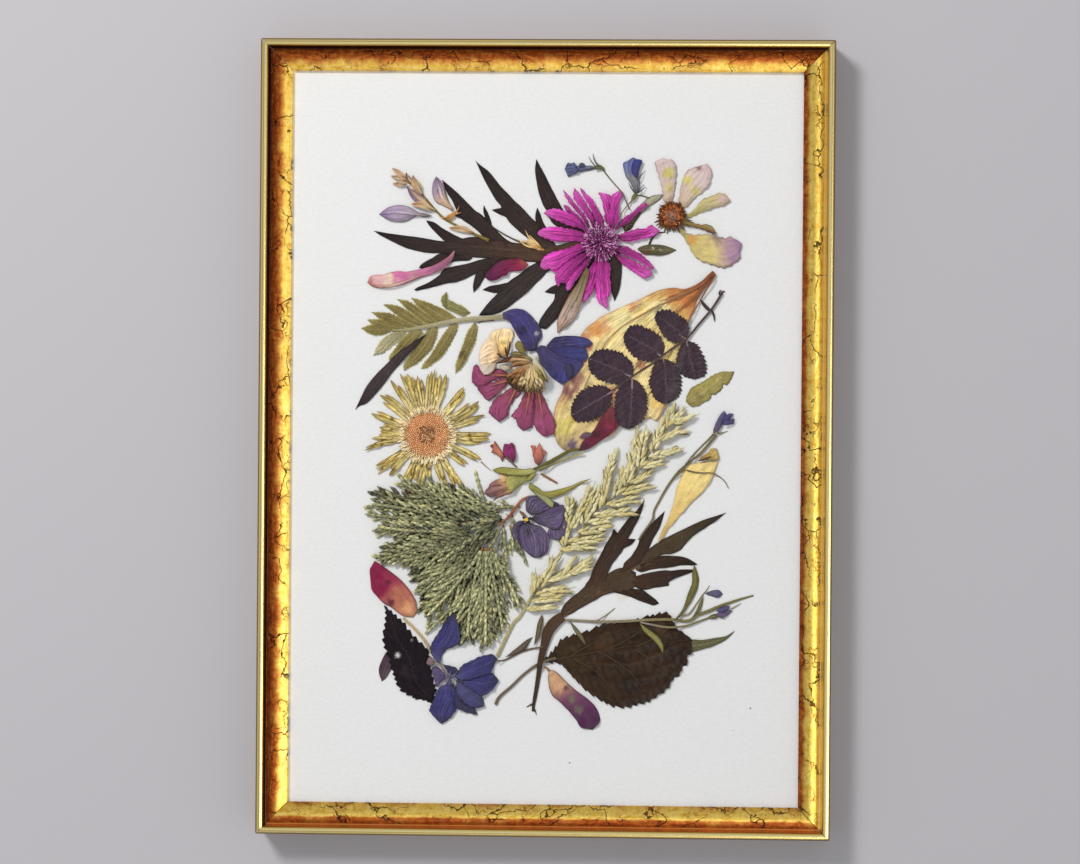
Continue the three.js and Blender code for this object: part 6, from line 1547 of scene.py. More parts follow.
hydrangea_tissue = tissue(
    "hydrangea_tissue", veins=(7, 1.2, 0.07), vein_colour=((84, 64, 44), 0.2), blotches=(2.6, 0.6),
    relief=0.8, dark=0.45, gloss=0.14, roughness=0.6)
hydrangea = Plant("hydrangea_leaf", hydrangea_tissue, stem_tissue)
hydrangea.sheet((-1, -87.2),
                [1, -86, 3.5, -83.5, 6, -80, 7.5, -78.5, 11, -77.2, 15, -75.8, 18, -75, 22, -73, 26,
                 -72, 31, -71.5, 35, -71, 38, -70, 42, -69, 45, -68.2, 48, -67.8, 50, -69, 48, -69.8,
                 51.4, -71.6, 50.4, -73, 54, -75],
                [2, -87.8, 5, -87.8, 7.5, -88.8, 10, -91.5, 13, -94.8, 17, -98.5, 21, -101.2, 25,
                 -103.5, 28, -104.7, 33, -104.9, 36.5, -104, 41.5, -102.5, 44, -101, 46.6, -99.3, 49.4,
                 -96.6, 50.6, -94, 53, -92.6, 55, -88.8, 56.8, -87, 56, -85.5, 58, -83.3],
                (57.9, -77.8), [(0, (58, 42, 24)), (0.35, (51, 34, 21)), (1, (42, 27, 18))],
                rim=((32, 23, 17), 0.7), folds=(5, 0.3), crown=0.6, uneven=0.3, teeth=(3.0, 1.3),
                spots=[(24, -80, 4, (66, 46, 30)), (12, -84, 4, (58, 46, 26)),
                       (34, -96, 4, (34, 24, 17)), (44, -86, 5, (54, 38, 26)),
                       (30, -88, 3, (32, 23, 17)), (46, -74, 3, (70, 50, 32)),
                       (20, -92, 2.4, (34, 24, 17)), (36, -77, 2.2, (36, 26, 18)),
                       (50, -82, 2, (34, 24, 18))])
for line in ([-1, -87.2, 12, -85, 25, -82.5, 40, -80, 56, -78.4], [10, -85.4, 20, -79.6, 32, -74],
             [12, -86, 22, -92, 30, -102], [24, -83, 34, -77.6, 44, -70.4],
             [24, -84, 34, -91, 41, -100], [36, -81, 44, -77.4, 51, -72.6],
             [36, -82, 45, -88, 52, -91.6]):
    hydrangea.strand(line, [0.6, 0.35, 0.15], (70, 53, 34), finish=1, flat=0.35, raised=0.12)
hydrangea.strand([-18.5, -104.5, -17, -101.5, -12, -97, -8, -93, -4, -89.8, 0, -87.4, 5, -85.8],
                 [1.3, 1.2, 1.1, 1.1, 1.2, 0.9], (106, 92, 76), finish=1, raised=0.1)
hydrangea.done()

# ---------------------------------------------------------------- lower divided leaf
# A second divided leaf, dark brown and torn, on a thick stalk that the press has flattened. Its
# lobes grow out of one blade, so they lie at one level.
leaf = Plant("divided_leaf_lower", divided_tissue, stem_tissue, single=True)
UMBER = [(0, (74, 47, 29)), (0.4, (54, 36, 24)), (1, (44, 30, 24))]
UMBER_RIM = ((38, 27, 22), 0.7)
leaf.sheet((6, -70.6),
           [7.5, -66, 10, -63, 13.5, -60.3, 16.5, -57.5, 20, -55.4, 24, -54.3, 26, -52.2, 30.4, -50.4],
           [9, -69.5, 12, -68, 16, -65.5, 20, -63.3, 24, -61, 28, -60, 33, -59.4, 36, -57], (36, -52),
           [(0, (78, 58, 40)), (1, (66, 50, 34))], rim=UMBER_RIM, folds=(3, 0.14),
           spots=[(21.8, -60, 0.6, (120, 100, 80))])
for base, left, tip, right, tint in (
        ((17, -61),
         [16, -58, 18, -54.7, 19.5, -50.5, 21.5, -46.5, 23.6, -42.6, 26, -38.2, 28, -37.5, 30.5, -34.3,
          33, -31, 36, -28, 38, -25.4], (39.2, -23.2),
         [24, -56, 25.5, -51.5, 27.5, -48, 30.5, -44.2, 32.3, -40, 34, -37, 35.5, -34, 37.5, -30, 38.7,
          -26], UMBER),
        ((25, -41), [24.8, -43, 23.2, -43.6], (23.8, -41.8), [26.6, -40, 26, -38.6], UMBER),
        ((28.4, -41), [26, -39, 26.6, -37], (27.2, -35.2), [29, -38, 28.4, -36.4], UMBER),
        ((31, -43), [31, -39.6, 33.6, -39], (36, -39.2), [32, -42.4, 34, -41.4], UMBER),
        ((29, -54),
         [29, -51.6, 30.8, -50.4, 31.4, -48.6, 34, -46, 35, -44.5, 36.5, -42, 38, -38, 41, -34, 44,
          -31], (47.2, -28), [36, -50, 38.6, -47, 40.5, -44, 43, -38.5, 45, -35, 46.5, -30.5], UMBER),
        ((36, -50), [38.6, -46, 41, -43, 45, -40, 48, -38.3, 55, -34.8, 62, -31.5, 68, -29.5],
         (71.2, -28.4),
         [42, -48, 46, -45.2, 50, -44.7, 53.5, -43.2, 55, -41.4, 58, -38, 63, -34.5, 67, -31.8],
         [(0, (70, 54, 36)), (0.5, (68, 56, 34)), (1, (56, 42, 32))]),
        ((36, -50.8), [42, -47, 46, -45.6, 50, -45.5, 54, -45.8, 57, -46.8], (60.2, -48.8),
         [38, -52, 43, -50.8, 49, -50.1, 54, -49.2, 58, -49.2], UMBER),
        ((32, -55), [38, -53, 42, -52, 47, -51.2, 50, -51.3, 54, -50.8], (59.7, -50.8),
         [38, -58.8, 44, -58, 49, -57.2, 48.5, -56.3, 51, -54.5, 55, -53, 58, -51.8], UMBER),
        ((24, -59), [30, -58.6, 38, -58.8, 41, -60.5, 44, -62.8], (45.2, -64.2),
         [29, -60.4, 33, -61.4, 37, -63, 41, -64.4, 43, -65], UMBER)):
    leaf.sheet(base, left, right, tip, tint, rim=UMBER_RIM, uneven=0.16)
for line in ([8, -69.6, 18, -60.6, 24, -50, 30, -38, 38.4, -25], [16, -62, 27, -55, 36, -46, 46, -30],
             [26, -56, 38, -48.6, 52, -38.6, 69, -29.2], [30, -55.4, 44, -54, 56, -51.2],
             [36, -51, 46, -47.4, 58, -48], [20, -61, 32, -59.4, 44, -63.6]):
    leaf.strand(line, [1.0, 0.6, 0.4, 0.2], [(0, (92, 68, 46)), (1, (66, 49, 35))], finish=1, flat=0.45,
                raised=0.25)
leaf.strand([-3.8, -107, -3.5, -104, -2.5, -98, -1.5, -91, -1, -87, 0.5, -81, 2, -75.5, 4.5, -72, 7.6,
             -69.6], [1.0, 1.6, 1.8, 2.0, 2.4, 3.2, 4.4, 5.0, 4.2],
            [(0, (50, 36, 26)), (0.5, (62, 44, 31)), (1, (76, 54, 38))], finish=1, flat=0.3)
for line in ([-3.8, -104, -5, -104.6, -6.4, -105.4], [-3.6, -105.6, -2.9, -107, -2.4, -108.4]):
    leaf.strand(line, [0.9, 0.6, 0.2], (60, 44, 32), finish=1)
leaf.done()

# ---------------------------------------------------------------- cypress sprig
# A flat sprig of cypress on a red-brown stem. Each spray grows twigs to both sides in turn, and
# every twig is braided with overlapping scales.
CYPRESS_SPRAYS = [(-22, -29, -27.8, -13.8, 2.4), (-20, -29, -34, -19.8, 6), (-22, -31, -42, -19.6, 6),
                  (-26, -33, -47, -19.8, 8), (-30, -33, -55, -18.2, 8), (-32, -34, -65, -22.4, 8),
                  (-34, -35, -69, -28.8, 6), (-50, -33.5, -66.2, -37.6, 4), (-30, -36, -64, -39.6, 9),
                  (-28, -38, -64.4, -47.4, 10), (-27, -39, -54.4, -51, 9), (-26, -41, -47, -55, 9),
                  (-25, -42, -47.6, -60, 9), (-25, -43, -45.8, -66.4, 9), (-24, -43, -41.4, -71, 10),
                  (-33, -64, -45.4, -75.4, 3), (-24, -43, -33, -76, 11), (-23, -43, -27.6, -78.4, 11),
                  (-22.5, -43, -22.4, -80, 9), (-22, -43, -15, -74, 8), (-21.5, -43, -10, -66.4, 5),
                  (-21, -43, -8.4, -63.6, 5), (-20, -37, -20.8, -48.6, 4), (-16, -34, -15, -50, 3),
                  (-12.5, -30, -12, -42.8, 3), (-13.6, -34, -6.2, -48.8, 2.4), (-9.5, -27, -22, -27, 6)]
SCALE_PITCH, SCALE_WIDTH, SCALE_LENGTH = 1.2, 0.66, 2.0
TWIG_PITCH, SHORTEST_TWIG = 2.1, 1.9
# A twig raises the bed by TWIG_RISE on bare card, and by less the thicker the mat is.
TWIG_RISE, MATTING = 0.65, 2.2
# Each row of the braid: how far a scale turns aside, how far it lifts, and its painted light: the scales
# turned aside are painted darker and the top scale lighter, as painted shade and highlight.
SIDE_SCALES, TOP_SCALE = ((0.26, 0.1, 0.88), (-0.26, 0.1, 0.88)), ((0.0, 0.22, 1.08),)
cypress = Plant("cypress_sprig", stem_tissue)
dice = random.Random(61)
scales = []


def twig(x, y, heading, length, breadth, depth, light, bend=0.0):
    """A twig of braided scales. Shorter twigs leave it to both sides in turn and swing round to
    run along with it."""
    steps = max(3, int(length / SCALE_PITCH))
    bend, side, line = bend + dice.uniform(-0.01, 0.01), dice.choice([-1, 1]), []
    next_twig = TWIG_PITCH * dice.uniform(0.4, 1.1)
    for k in range(steps):
        x, y = polar(x, y, heading, SCALE_PITCH)
        heading += bend
        line.append((x, y, heading))
        if depth and k * SCALE_PITCH > next_twig:
            place = k / steps
            share = min(1.0, 0.4 + place * 1.7) * (1 - 0.7 * place ** 3)
            reach = breadth * share * dice.uniform(0.6, 0.95)
            if reach > SHORTEST_TWIG:
                twig(x, y, heading + side * dice.uniform(0.5, 0.7), reach, reach * 0.5, depth - 1,
                     light, -side * 0.32 * SCALE_PITCH / reach)
            side, next_twig = -side, next_twig + TWIG_PITCH * dice.uniform(0.75, 1.2)
    places = np.array(line)
    rest = resting_height(places[:, 0], places[:, 1], 1, BED)
    tone = light * dice.uniform(0.8, 1.18)
    for k, ((x, y, way), z) in enumerate(zip(line, rest)):
        tip = (k / steps) ** 1.5
        low = dice.choice([(122, 122, 92), (138, 138, 106), (110, 112, 84)])
        high = dice.choice([(172, 170, 130), (160, 160, 122), (188, 180, 128)])
        colour = tuple((a * (1 - tip) + b * tip) * tone for a, b in zip(low, high))
        width = SCALE_WIDTH * (1.1 - 0.25 * tip)
        braid = SIDE_SCALES if k % 2 else TOP_SCALE
        for swing, lift, painted_light_share in braid:
            aim = math.cos(way + swing), math.sin(way + swing), lift
            scales.append(((x, y, z + 0.2 + 0.25 * (k % 2 == 0)), aim, (width, width, SCALE_LENGTH),
                           tuple(value * painted_light_share for value in colour)))
    np.maximum.at(BED, cells(places[:, 0], places[:, 1]),
                  rest + TWIG_RISE * np.exp((CARD_TOP - rest) / MATTING))


# The twigs between the sprays lie under them and are painted darker (light 0.68 against 1.1) as painted
# shade.
between = [tuple((a + b) / 2 for a, b in zip(one, two))
           for one, two in zip(CYPRESS_SPRAYS, CYPRESS_SPRAYS[1:]) if min(one[4], two[4]) > 5]
for number, (x0, y0, x1, y1, breadth) in enumerate(between + CYPRESS_SPRAYS):
    light = 0.68 if number < len(between) else 1.1
    cypress.strand([x0, y0, (x0 * 2 + x1) / 3, (y0 * 2 + y1) / 3, (x0 + x1 * 2) / 3, (y0 + y1 * 2) / 3],
                   [0.7, 0.6, 0.3], [(0, (140, 104, 70)), (1, (128, 118, 78))], easing=1)
    twig(x0, y0, math.atan2(y1 - y0, x1 - x0), math.hypot(x1 - x0, y1 - y0), breadth,
         2 if breadth > 5 else 1, light)
for n in range(60):
    x = dice.uniform(-36, -13)
    twig(x, -28 + (x + 12) * 0.5 + dice.uniform(-6, 2), dice.uniform(2.7, 4.4), dice.uniform(4, 9), 3.0,
         1, dice.uniform(0.8, 1.05))
cypress.strand([-5.5, -22.7, -8.5, -24, -11, -27, -14, -31, -18, -34.5], [0.9, 1.2, 1.3, 1.2, 0.8],
               [(0, (170, 112, 82)), (0.5, (150, 92, 62)), (1, (130, 100, 66))], raised=0.1)
for n in range(6):
    x, y = -10 - n * 1.4, -25.6 - n * 1.6
    cypress.strand([x, y, x - 0.7, y + (0.9 if n % 2 else -0.9)], [0.7, 0.2], (160, 98, 68), raised=0.4)
cypress.strand([-54.5, -20.6, -53, -22, -51.4, -24.4], [1.2, 1.6, 1.0], (70, 48, 36))
cypress.done()
scale = floret_shape("scale_leaf", [(0, 0.55), (0.35, 1.0), (0.75, 0.7), (1, 0.12)], sides=4)
sow("cypress_scales", scales, scale, floret_tissue, "cypress_sprig", seed=7)

# ---------------------------------------------------------------- yellow petal
# A long petal, dried to pale yellow, with fine folds that run from its narrow base to its tip.
# Wiry stems of the lavender sprig cross it.
yellow = Plant("yellow_petal", petal_tissue)
yellow.sheet((44.5, -40.8),
             [45, -38.5, 46.5, -35, 48.5, -31, 50.5, -25, 51.5, -20, 53.5, -14.5, 55.5, -11, 58, -9.3],
             [47, -37.5, 50, -33.5, 53, -30, 57, -25.5, 61, -21.5, 64.5, -17, 66.6, -12.6],
             (67.7, -8.3),
             [(0, (206, 172, 100)), (0.3, (232, 200, 122)), (0.7, (242, 216, 140)),
              (1, (232, 206, 134))], rim=((196, 166, 104), 0.6), folds=(6, 0.16), crown=0.6,
             uneven=0.25)
yellow.done()

# ---------------------------------------------------------------- grass panicle
# A panicle of meadow grass: wiry branches with bunches of narrow spikelets, straw-coloured
# above. A darker olive husk lies under each one, and it is partly the husk's own olive and
# partly painted shade.
GRASS_BUNCHES = [(-7, -67, 6, -65.6, 2.6), (-5, -64, 9.5, -61.5, 3.4), (-3, -61, 12.8, -58, 4),
                 (0, -56, 20.3, -49.6, 3.4), (11, -52.4, 20.6, -45.6, 3),
                 (7.5, -53.8, 12.2, -45.4, 2.2), (-4.5, -62, -3.2, -50.6, 2.2), (-2, -59, 6, -45, 5),
                 (6, -43.5, 21.5, -41.6, 3), (9, -41, 25.6, -38, 4.6), (13, -37, 27.6, -33.4, 4),
                 (17, -33, 28.6, -30.6, 3.4), (8, -43, 10.5, -20.5, 5.4), (10.5, -36, 20, -16.4, 5),
                 (15, -34, 23.5, -17.4, 5), (19, -30, 36.5, -28, 4), (24, -26, 39, -22.8, 5),
                 (22, -27.5, 27.4, -3.6, 5), (27, -23, 32.6, -9, 5), (29, -21.5, 43.5, -17.6, 5),
                 (33, -17.5, 44.2, -12, 5), (32, -18.5, 37, 4.6, 5.4), (37, -11.5, 39.5, 6.2, 6),
                 (37, -11, 49.2, -8.4, 3.4), (40.5, -7.5, 54.8, -3, 4.4), (42, -5, 48, 10.6, 5),
                 (44.5, -1, 55.6, 5.4, 5), (48, 4, 49.8, 14.6, 3.6), (49.5, 6.5, 55.2, 13.2, 3.2),
                 (49, 6, 60.6, 10.2, 3)]
grass = Plant("grass_panicle", stem_tissue)
STRAW = [(0, (168, 158, 116)), (1, (206, 196, 156))]
grass.strand([-18, -85.5, -12, -73, -9, -69.5, -3, -59, 1, -52, 5, -47, 8, -43, 12, -39.5, 16, -35, 20,
              -28.5, 25, -24, 30, -20.5, 35, -14, 39, -9.5, 43, -5, 46, 2, 51, 9],
             [1.5, 1.3, 1.2, 1.1, 0.9, 0.6], STRAW)
grass.strand([-5, -62.5, 0, -59, 5, -56, 10, -52.5, 15, -50, 20, -47.5], [0.9, 0.7, 0.5], STRAW)
dice, spikelets = random.Random(71), []
SPIKELET_PITCH = 1.15


def spikelet(x, y, way, length, girth, tint):
    """One husk, laid on what is under its two ends."""
    ends_x, ends_y = np.array([x, x + math.cos(way) * length]), np.array([y, y + math.sin(way) * length])
    z = np.minimum(resting_height(ends_x, ends_y, 1, BED), CARD_TOP + 1.8)
    spikelets.append(((x, y, z[0] + 0.3), (math.cos(way), math.sin(way), (z[1] - z[0]) / length + 0.02),
                      (girth, girth, length), tint))
    along = np.linspace(0, 1, 14)
    under = cells(x + math.cos(way) * length * along, y + math.sin(way) * length * along)
    np.maximum.at(BED, under, z[0] + (z[1] - z[0]) * along + 0.35)


for x0, y0, x1, y1, breadth in GRASS_BUNCHES:
    away, heading = math.hypot(x1 - x0, y1 - y0), math.atan2(y1 - y0, x1 - x0)
    grass.strand([x0, y0, (x0 + x1) / 2 + 0.2, (y0 + y1) / 2 - 0.2, x1, y1], [0.6, 0.4, 0.2], STRAW,
                 easing=1)
    longest = min(5.8, away * 0.5)
    count = int((away - longest * 0.8) / SPIKELET_PITCH)
    for k in range(count + 1):
        side = -1 if k % 2 else 1
        length = longest * dice.uniform(0.55, 1.05)
        start = min(k * SPIKELET_PITCH + dice.uniform(0, 0.5), away - length * 0.8)
        off = side * breadth * dice.uniform(0.02, 0.14)
        spread = side * dice.uniform(0.08, 0.46) * min(1.0, breadth / 4)
        x = x0 + math.cos(heading) * start - math.sin(heading) * off
        y = y0 + math.sin(heading) * start + math.cos(heading) * off
        # Each spikelet is a straw husk over a darker olive husk, which is partly real olive and partly
        # painted shade.
        light = dice.choice([(220, 212, 164), (206, 196, 144), (232, 222, 176), (214, 198, 138)])
        shade = dice.choice([(162, 152, 100), (134, 126, 78), (182, 172, 122), (118, 110, 64)])
        spikelet(x, y, heading + spread * 1.4, length * 0.9, dice.uniform(0.5, 0.66), shade)
        spikelet(x, y, heading + spread * 0.8, length, dice.uniform(0.62, 0.84), light)
grass.done()
husk = floret_shape("husk", [(0, 0.3), (0.1, 0.7), (0.32, 1.0), (0.6, 0.82), (0.84, 0.36), (1, 0.05)],
                    sides=7)
sow("grass_spikelets", spikelets, husk, bud_tissue, "grass_panicle", seed=9)

# ---------------------------------------------------------------- lavender sprig
# A wiry sprig with a purple flower at its tip, a yellow one lower down, and curling side stems.
# It is glued over the yellow petal and the grass.
sprig = Plant("lavender_sprig", stem_tissue, blue_tissue)
WIRE = [(0, (112, 92, 72)), (0.5, (124, 112, 78)), (1, (104, 98, 66))]
for line, breadths in (([37, -39.5, 38.5, -37, 41, -33.5, 42.5, -31, 43, -28, 45, -24, 47.5, -19.5, 50,
                         -15.7, 52.5, -12.5, 55, -10.3, 57, -8.5], [0.8, 0.9, 1.0, 1.1]),
                       ([50, -15.5, 52.6, -13.4, 55, -11.5], [0.6, 0.7]),
                       ([55, -9.8, 58.5, -5.5, 62, -1.8, 64.3, 0.5, 66, 2.5], [0.7, 0.6, 0.6]),
                       ([57, -8.5, 61, -5.2, 65, -0.5, 67, 2], [0.9, 1.1, 1.2]),
                       ([66, 2.6, 66.2, 4.6, 67.8, 7], [0.7, 0.5, 0.2]),
                       ([67, 2.5, 69.4, 2.7, 71.5, 3.4], [0.6, 0.5, 0.2]),
                       ([55.5, -12, 58.5, -12.7, 61.5, -13, 65.3, -13, 68, -14.2, 70.5, -16.3, 72, -19],
                        [0.7, 0.6, 0.5, 0.3])):
    sprig.strand(line, breadths, WIRE)
for base, left, tip, right, tint, rim in (
        ((66.4, 2.6), [66.2, 5, 67.2, 7.6, 68.6, 10], (70, 11.4), [68, 3.6, 69.4, 6, 71, 9.2],
         [(0, (104, 92, 110)), (1, (92, 84, 140))], (70, 60, 104)),
        ((69.6, 7.4), [69.8, 9, 71, 9.6, 71.8, 10.4], (73.7, 10.2), [70.6, 7.2, 72, 8, 72.8, 8.8],
         (98, 92, 150), (70, 62, 110)),
        ((69.2, 6), [70, 7.6, 72, 8.2], (74.2, 8.2), [70.8, 5.6, 72.4, 6, 73.8, 6.2], (88, 82, 140),
         (62, 56, 104)),
        ((60.2, -8.4), [60.6, -7.4, 61.5, -6.5, 64, -4.8, 65, -3.5], (67.2, -3.4),
         [62.6, -7.9, 65, -8, 68, -7.8, 67.8, -5.4], [(0, (178, 148, 70)), (1, (226, 196, 112))],
         (170, 136, 72))):
    sprig.sheet(base, left, right, tip, tint, rim=(rim, 0.45), folds=(4, 0.3), crown=0.6, uneven=0.3,
                finish=1)
sprig.strand([60, -8.3, 62.4, -7.6, 65, -6.5], [0.5, 0.9, 0.4], (92, 62, 40))
sprig.done()

# ---------------------------------------------------------------- viola
# A purple viola, face up, with its yellow eye, and dark petals folded behind it.
viola_tissue = tissue("viola_tissue", streaks=(14, 0.6), blotches=(1.8, 0.45), relief=1.4, sheen=0.35,
                      veins=(4, 2.4, 0.09), vein_colour=((160, 148, 178), 0.4), grain=0.2, dark=0.42)
viola = Plant("viola", viola_tissue, floret_tissue)
VIOLET = [(0, (74, 54, 94)), (0.3, (112, 90, 134)), (0.8, (98, 77, 126)), (1, (86, 66, 114))]
for base, left, tip, right, spots in (
        ((-5, -30), [-7, -28.6, -7.3, -26, -7.2, -24, -6.3, -22.7, -4, -22.3, -1.5, -22.7],
         (3.9, -24.6), [-2, -29.6, 1, -28.4, 3.6, -27, 6, -25.8], [(3.6, -25, 1.6, (58, 42, 70))]),
        ((5.2, -33), [7.5, -31.4, 9, -32.5, 9.4, -34, 8.5, -36.5, 7.5, -39], (5, -39.7),
         [3, -34.6, 2, -35.3, 1.3, -37, 2.4, -39], []),
        ((-8, -32.4), [-9.6, -32.3, -11.3, -33.3, -12.4, -35, -12.6, -37.5], (-11.6, -40.4),
         [-8, -34, -8.8, -37, -9, -41], []),
        ((-6, -31.8), [-4, -30.4, -1, -29.2, 2, -27.2, 5, -26.2, 7.5, -25.9], (8.2, -28),
         [-4, -32.5, -2.5, -33.5, 0, -34.3, 2.5, -35, 5, -35.3, 6.8, -33.5, 7.7, -31], []),
        ((-6.6, -32.4), [-9.5, -35, -9.6, -38.5, -9, -41.5, -7.5, -44, -5.5, -45.8], (-3.8, -46.8),
         [-4, -33.6, -1, -34.5, 1, -37, 2.3, -39, 2, -42, 1.5, -44.5, 0.4, -45.6, -1.4, -46.6],
         [(-5.5, -36.5, 2.4, (62, 48, 72))])):
    viola.sheet(base, left, right, tip, VIOLET, rim=((66, 50, 76), 0.6), folds=(7, 0.34), crown=0.5,
                uneven=0.35, spots=spots, lift=0.2)
for line, tint in (([-9.6, -28.6, -8.4, -29.6, -7, -30.6], (122, 90, 62)),
                   ([-8.4, -30.8, -7, -31.8, -5.4, -32.6], (40, 30, 44)),
                   ([-5, -31, -6.6, -31.8, -8.6, -33], (44, 32, 46))):
    viola.strand(line, [0.8, 1.5, 0.6], tint, finish=1, raised=0.3)
viola.strand([-7.8, -31.9, -7, -31.8, -6.2, -31.7], [1.0, 1.6, 1.0], (222, 178, 60), finish=1, raised=0.7)
viola.done()

# ---------------------------------------------------------------- campion
# A campion with a green ribbed calyx, a withered tan and mauve corolla, and its cut green
# stems laid across the flowers beside it.
campion = Plant("campion", stem_tissue, bud_tissue)
for line, breadths, tint in (
        ([-5, -12.5, 0, -10.3, 5, -7.5, 10, -4.8, 13.5, -4.2], [1.2, 1.5, 1.5, 1.2], (98, 94, 44)),
        ([-2, -12.5, 1.5, -11, 5, -9.3, 10, -7.4, 15, -5.6], [0.9, 1.0, 0.9],
         [(0, (96, 92, 46)), (1, (176, 168, 122))]),
        ([-1.5, -13.8, 2, -15.8, 5, -17.5], [0.8, 1.0, 0.8], (138, 96, 66))):
    campion.strand(line, breadths, tint)
for base, left, tip, right, tint, rim, finish in (
        ((-6, -17.4), [-5.3, -17.6, -2.5, -19.2, -0.3, -20.7, 3.5, -20.4, 10.3, -18.5, 14, -16.8],
         (18.5, -15.5), [-6, -19.7, -3.3, -21.4, 1.8, -23.1, 5.2, -22.8, 10.3, -20.2, 14.5, -17.8],
         [(0, (146, 144, 84)), (0.5, (150, 142, 66)), (1, (170, 160, 92))], (92, 84, 42), 0),
        ((-5.6, -19.6), [-4, -21.4, -1, -24, 1.5, -26.2], (3.2, -27.2),
         [-3.2, -20.8, 1.8, -23.2, 3.8, -25.2], [(0, (150, 148, 92)), (1, (152, 158, 116))],
         (84, 80, 44), 0),
        ((-13, -16), [-15, -14.6, -17.8, -14, -17, -15.6, -19, -16.4, -21.3, -17.9], (-22, -19.4),
         [-13, -17.6, -15, -18.4, -18, -19, -20.6, -20],
         [(0, (236, 200, 140)), (0.45, (222, 180, 136)), (0.7, (158, 116, 110)), (1, (128, 86, 92))],
         (110, 74, 66), 1),
        ((-12.6, -17.4), [-15, -17.8, -18, -18.6, -21, -19, -23, -20.4], (-23.4, -22),
         [-13, -19.8, -16, -21.6, -19, -22.6, -21, -23.2],
         [(0, (232, 196, 130)), (0.35, (176, 132, 110)), (0.7, (148, 106, 108)), (1, (122, 80, 96))],
         (92, 60, 62), 1),
        ((-12, -19), [-14, -19.8, -16, -21, -18.6, -22.4], (-20.2, -24.9),
         [-12.6, -21.6, -15, -22.4, -17.6, -23.4],
         [(0, (226, 186, 118)), (0.4, (168, 122, 96)), (1, (122, 84, 84))], (92, 62, 54), 1),
        ((-3.6, -13.2), [-6, -12.8, -9, -13.2, -12, -14, -14.6, -15.3], (-15, -17.6),
         [-5.2, -15.4, -7.4, -17, -9.8, -18.9, -11.8, -20.6, -13.4, -21],
         [(0, (164, 164, 96)), (0.5, (160, 160, 96)), (0.85, (178, 172, 92)), (1, (222, 196, 124))],
         (118, 110, 56), 1),
        ((-3, -12.8),
         [-5.5, -11.7, -7.5, -12.1, -10.1, -11.9, -12.8, -11.6, -16.9, -11.4, -19.1, -11.9],
         (-20.5, -12.7), [-5, -14, -8, -14.6, -11, -14.6, -13.8, -14.5, -16, -14.1, -18.6, -13.6],
         [(0, (180, 180, 116)), (0.4, (158, 156, 88)), (1, (138, 130, 62))], (90, 84, 40), 0),
        ((-7.4, -16.5), [-6.2, -14.8, -4.6, -13.4], (-3.2, -13.6), [-6, -17, -4.2, -15.6],
         (156, 152, 80), (92, 88, 40), 0)):
    campion.sheet(base, left, right, tip, tint, rim=(rim, 0.45), folds=(5, 0.3),
                  crown=0.9 if finish else 0.3, uneven=0.3, finish=finish, step=0.6)
campion.done()

# ---------------------------------------------------------------- leaves and petals, lower left
# A black saw-edged leaf with a hole in it, a purple leaf under its side, and a petal that turns
# from crimson to orange over its tip.
under = Plant("purple_leaf", rose_tissue, single=True)
under.sheet((-57.4, -85.6), [-61, -84, -63.5, -88, -64.5, -92], [-58.5, -89, -60, -92, -61.6, -94.6],
            (-63.2, -96), [(0, (58, 44, 54)), (1, (82, 58, 72))], rim=((46, 34, 42), 0.5), crown=0.4)
under.done()

black_tissue = tissue("black_leaf_tissue", veins=(11, 1.9, 0.1), vein_colour=((70, 58, 64), 0.25),
                      blotches=(3.0, 0.4), relief=0.5, dark=0.5, gloss=0.06, roughness=0.7)
black = Plant("black_leaf", black_tissue, single=True)
black.sheet((-43.4, -104.4),
            [-46.5, -103.2, -50, -102.5, -53, -101, -56, -99, -57.5, -96, -59, -92, -60, -88, -61.5,
             -84, -62.7, -81, -63, -78, -62.5, -75, -62, -70],
            [-42, -99, -43, -95, -44.5, -88, -45, -83.5, -47.7, -81, -50.5, -78.3, -53, -75.5, -55,
             -72.7, -58, -70], (-62.6, -65.8),
            [(0, (34, 26, 32)), (0.6, (28, 22, 27)), (1, (38, 29, 32))], rim=((20, 15, 19), 0.6),
            teeth=(2.6, 1.3), step=0.5, crown=0.6, folds=(4, 0.14),
            spots=[(-57, -85.5, 1.0, (206, 200, 196)), (-51.5, -79.5, 0.5, (150, 140, 136)),
                   (-54, -92, 2.6, (44, 34, 41)), (-49, -97, 2.0, (22, 17, 21))])
black.done()

turning = Plant("two_coloured_petal", petal_tissue)
turning.sheet((-51, -70.6),
              [-54.5, -70.2, -57, -68.8, -60, -66.5, -62.3, -65.5, -65, -63, -67.5, -60, -68, -57,
               -68.3, -52.5, -67.5, -50.5],
              [-49.6, -68.4, -49.8, -66, -50.5, -63.5, -52.5, -60, -56, -56, -60, -52.8, -64, -50],
              (-66.4, -48.6),
              [(0, (208, 146, 102)), (0.3, (188, 116, 90)), (0.6, (152, 52, 76)), (1, (126, 24, 66))],
              rim=((110, 30, 62), 0.7), folds=(6, 0.2), crown=0.8, uneven=0.3,
              spots=[(-64.5, -60, 4.6, (132, 22, 66)), (-66, -54, 4.0, (128, 20, 64)),
                     (-57, -61, 3.0, (176, 108, 84)), (-60, -65, 1.6, (100, 30, 48)),
                     (-61, -57, 1.2, (96, 22, 52)), (-53, -67, 2.6, (214, 156, 116))])
turning.done()

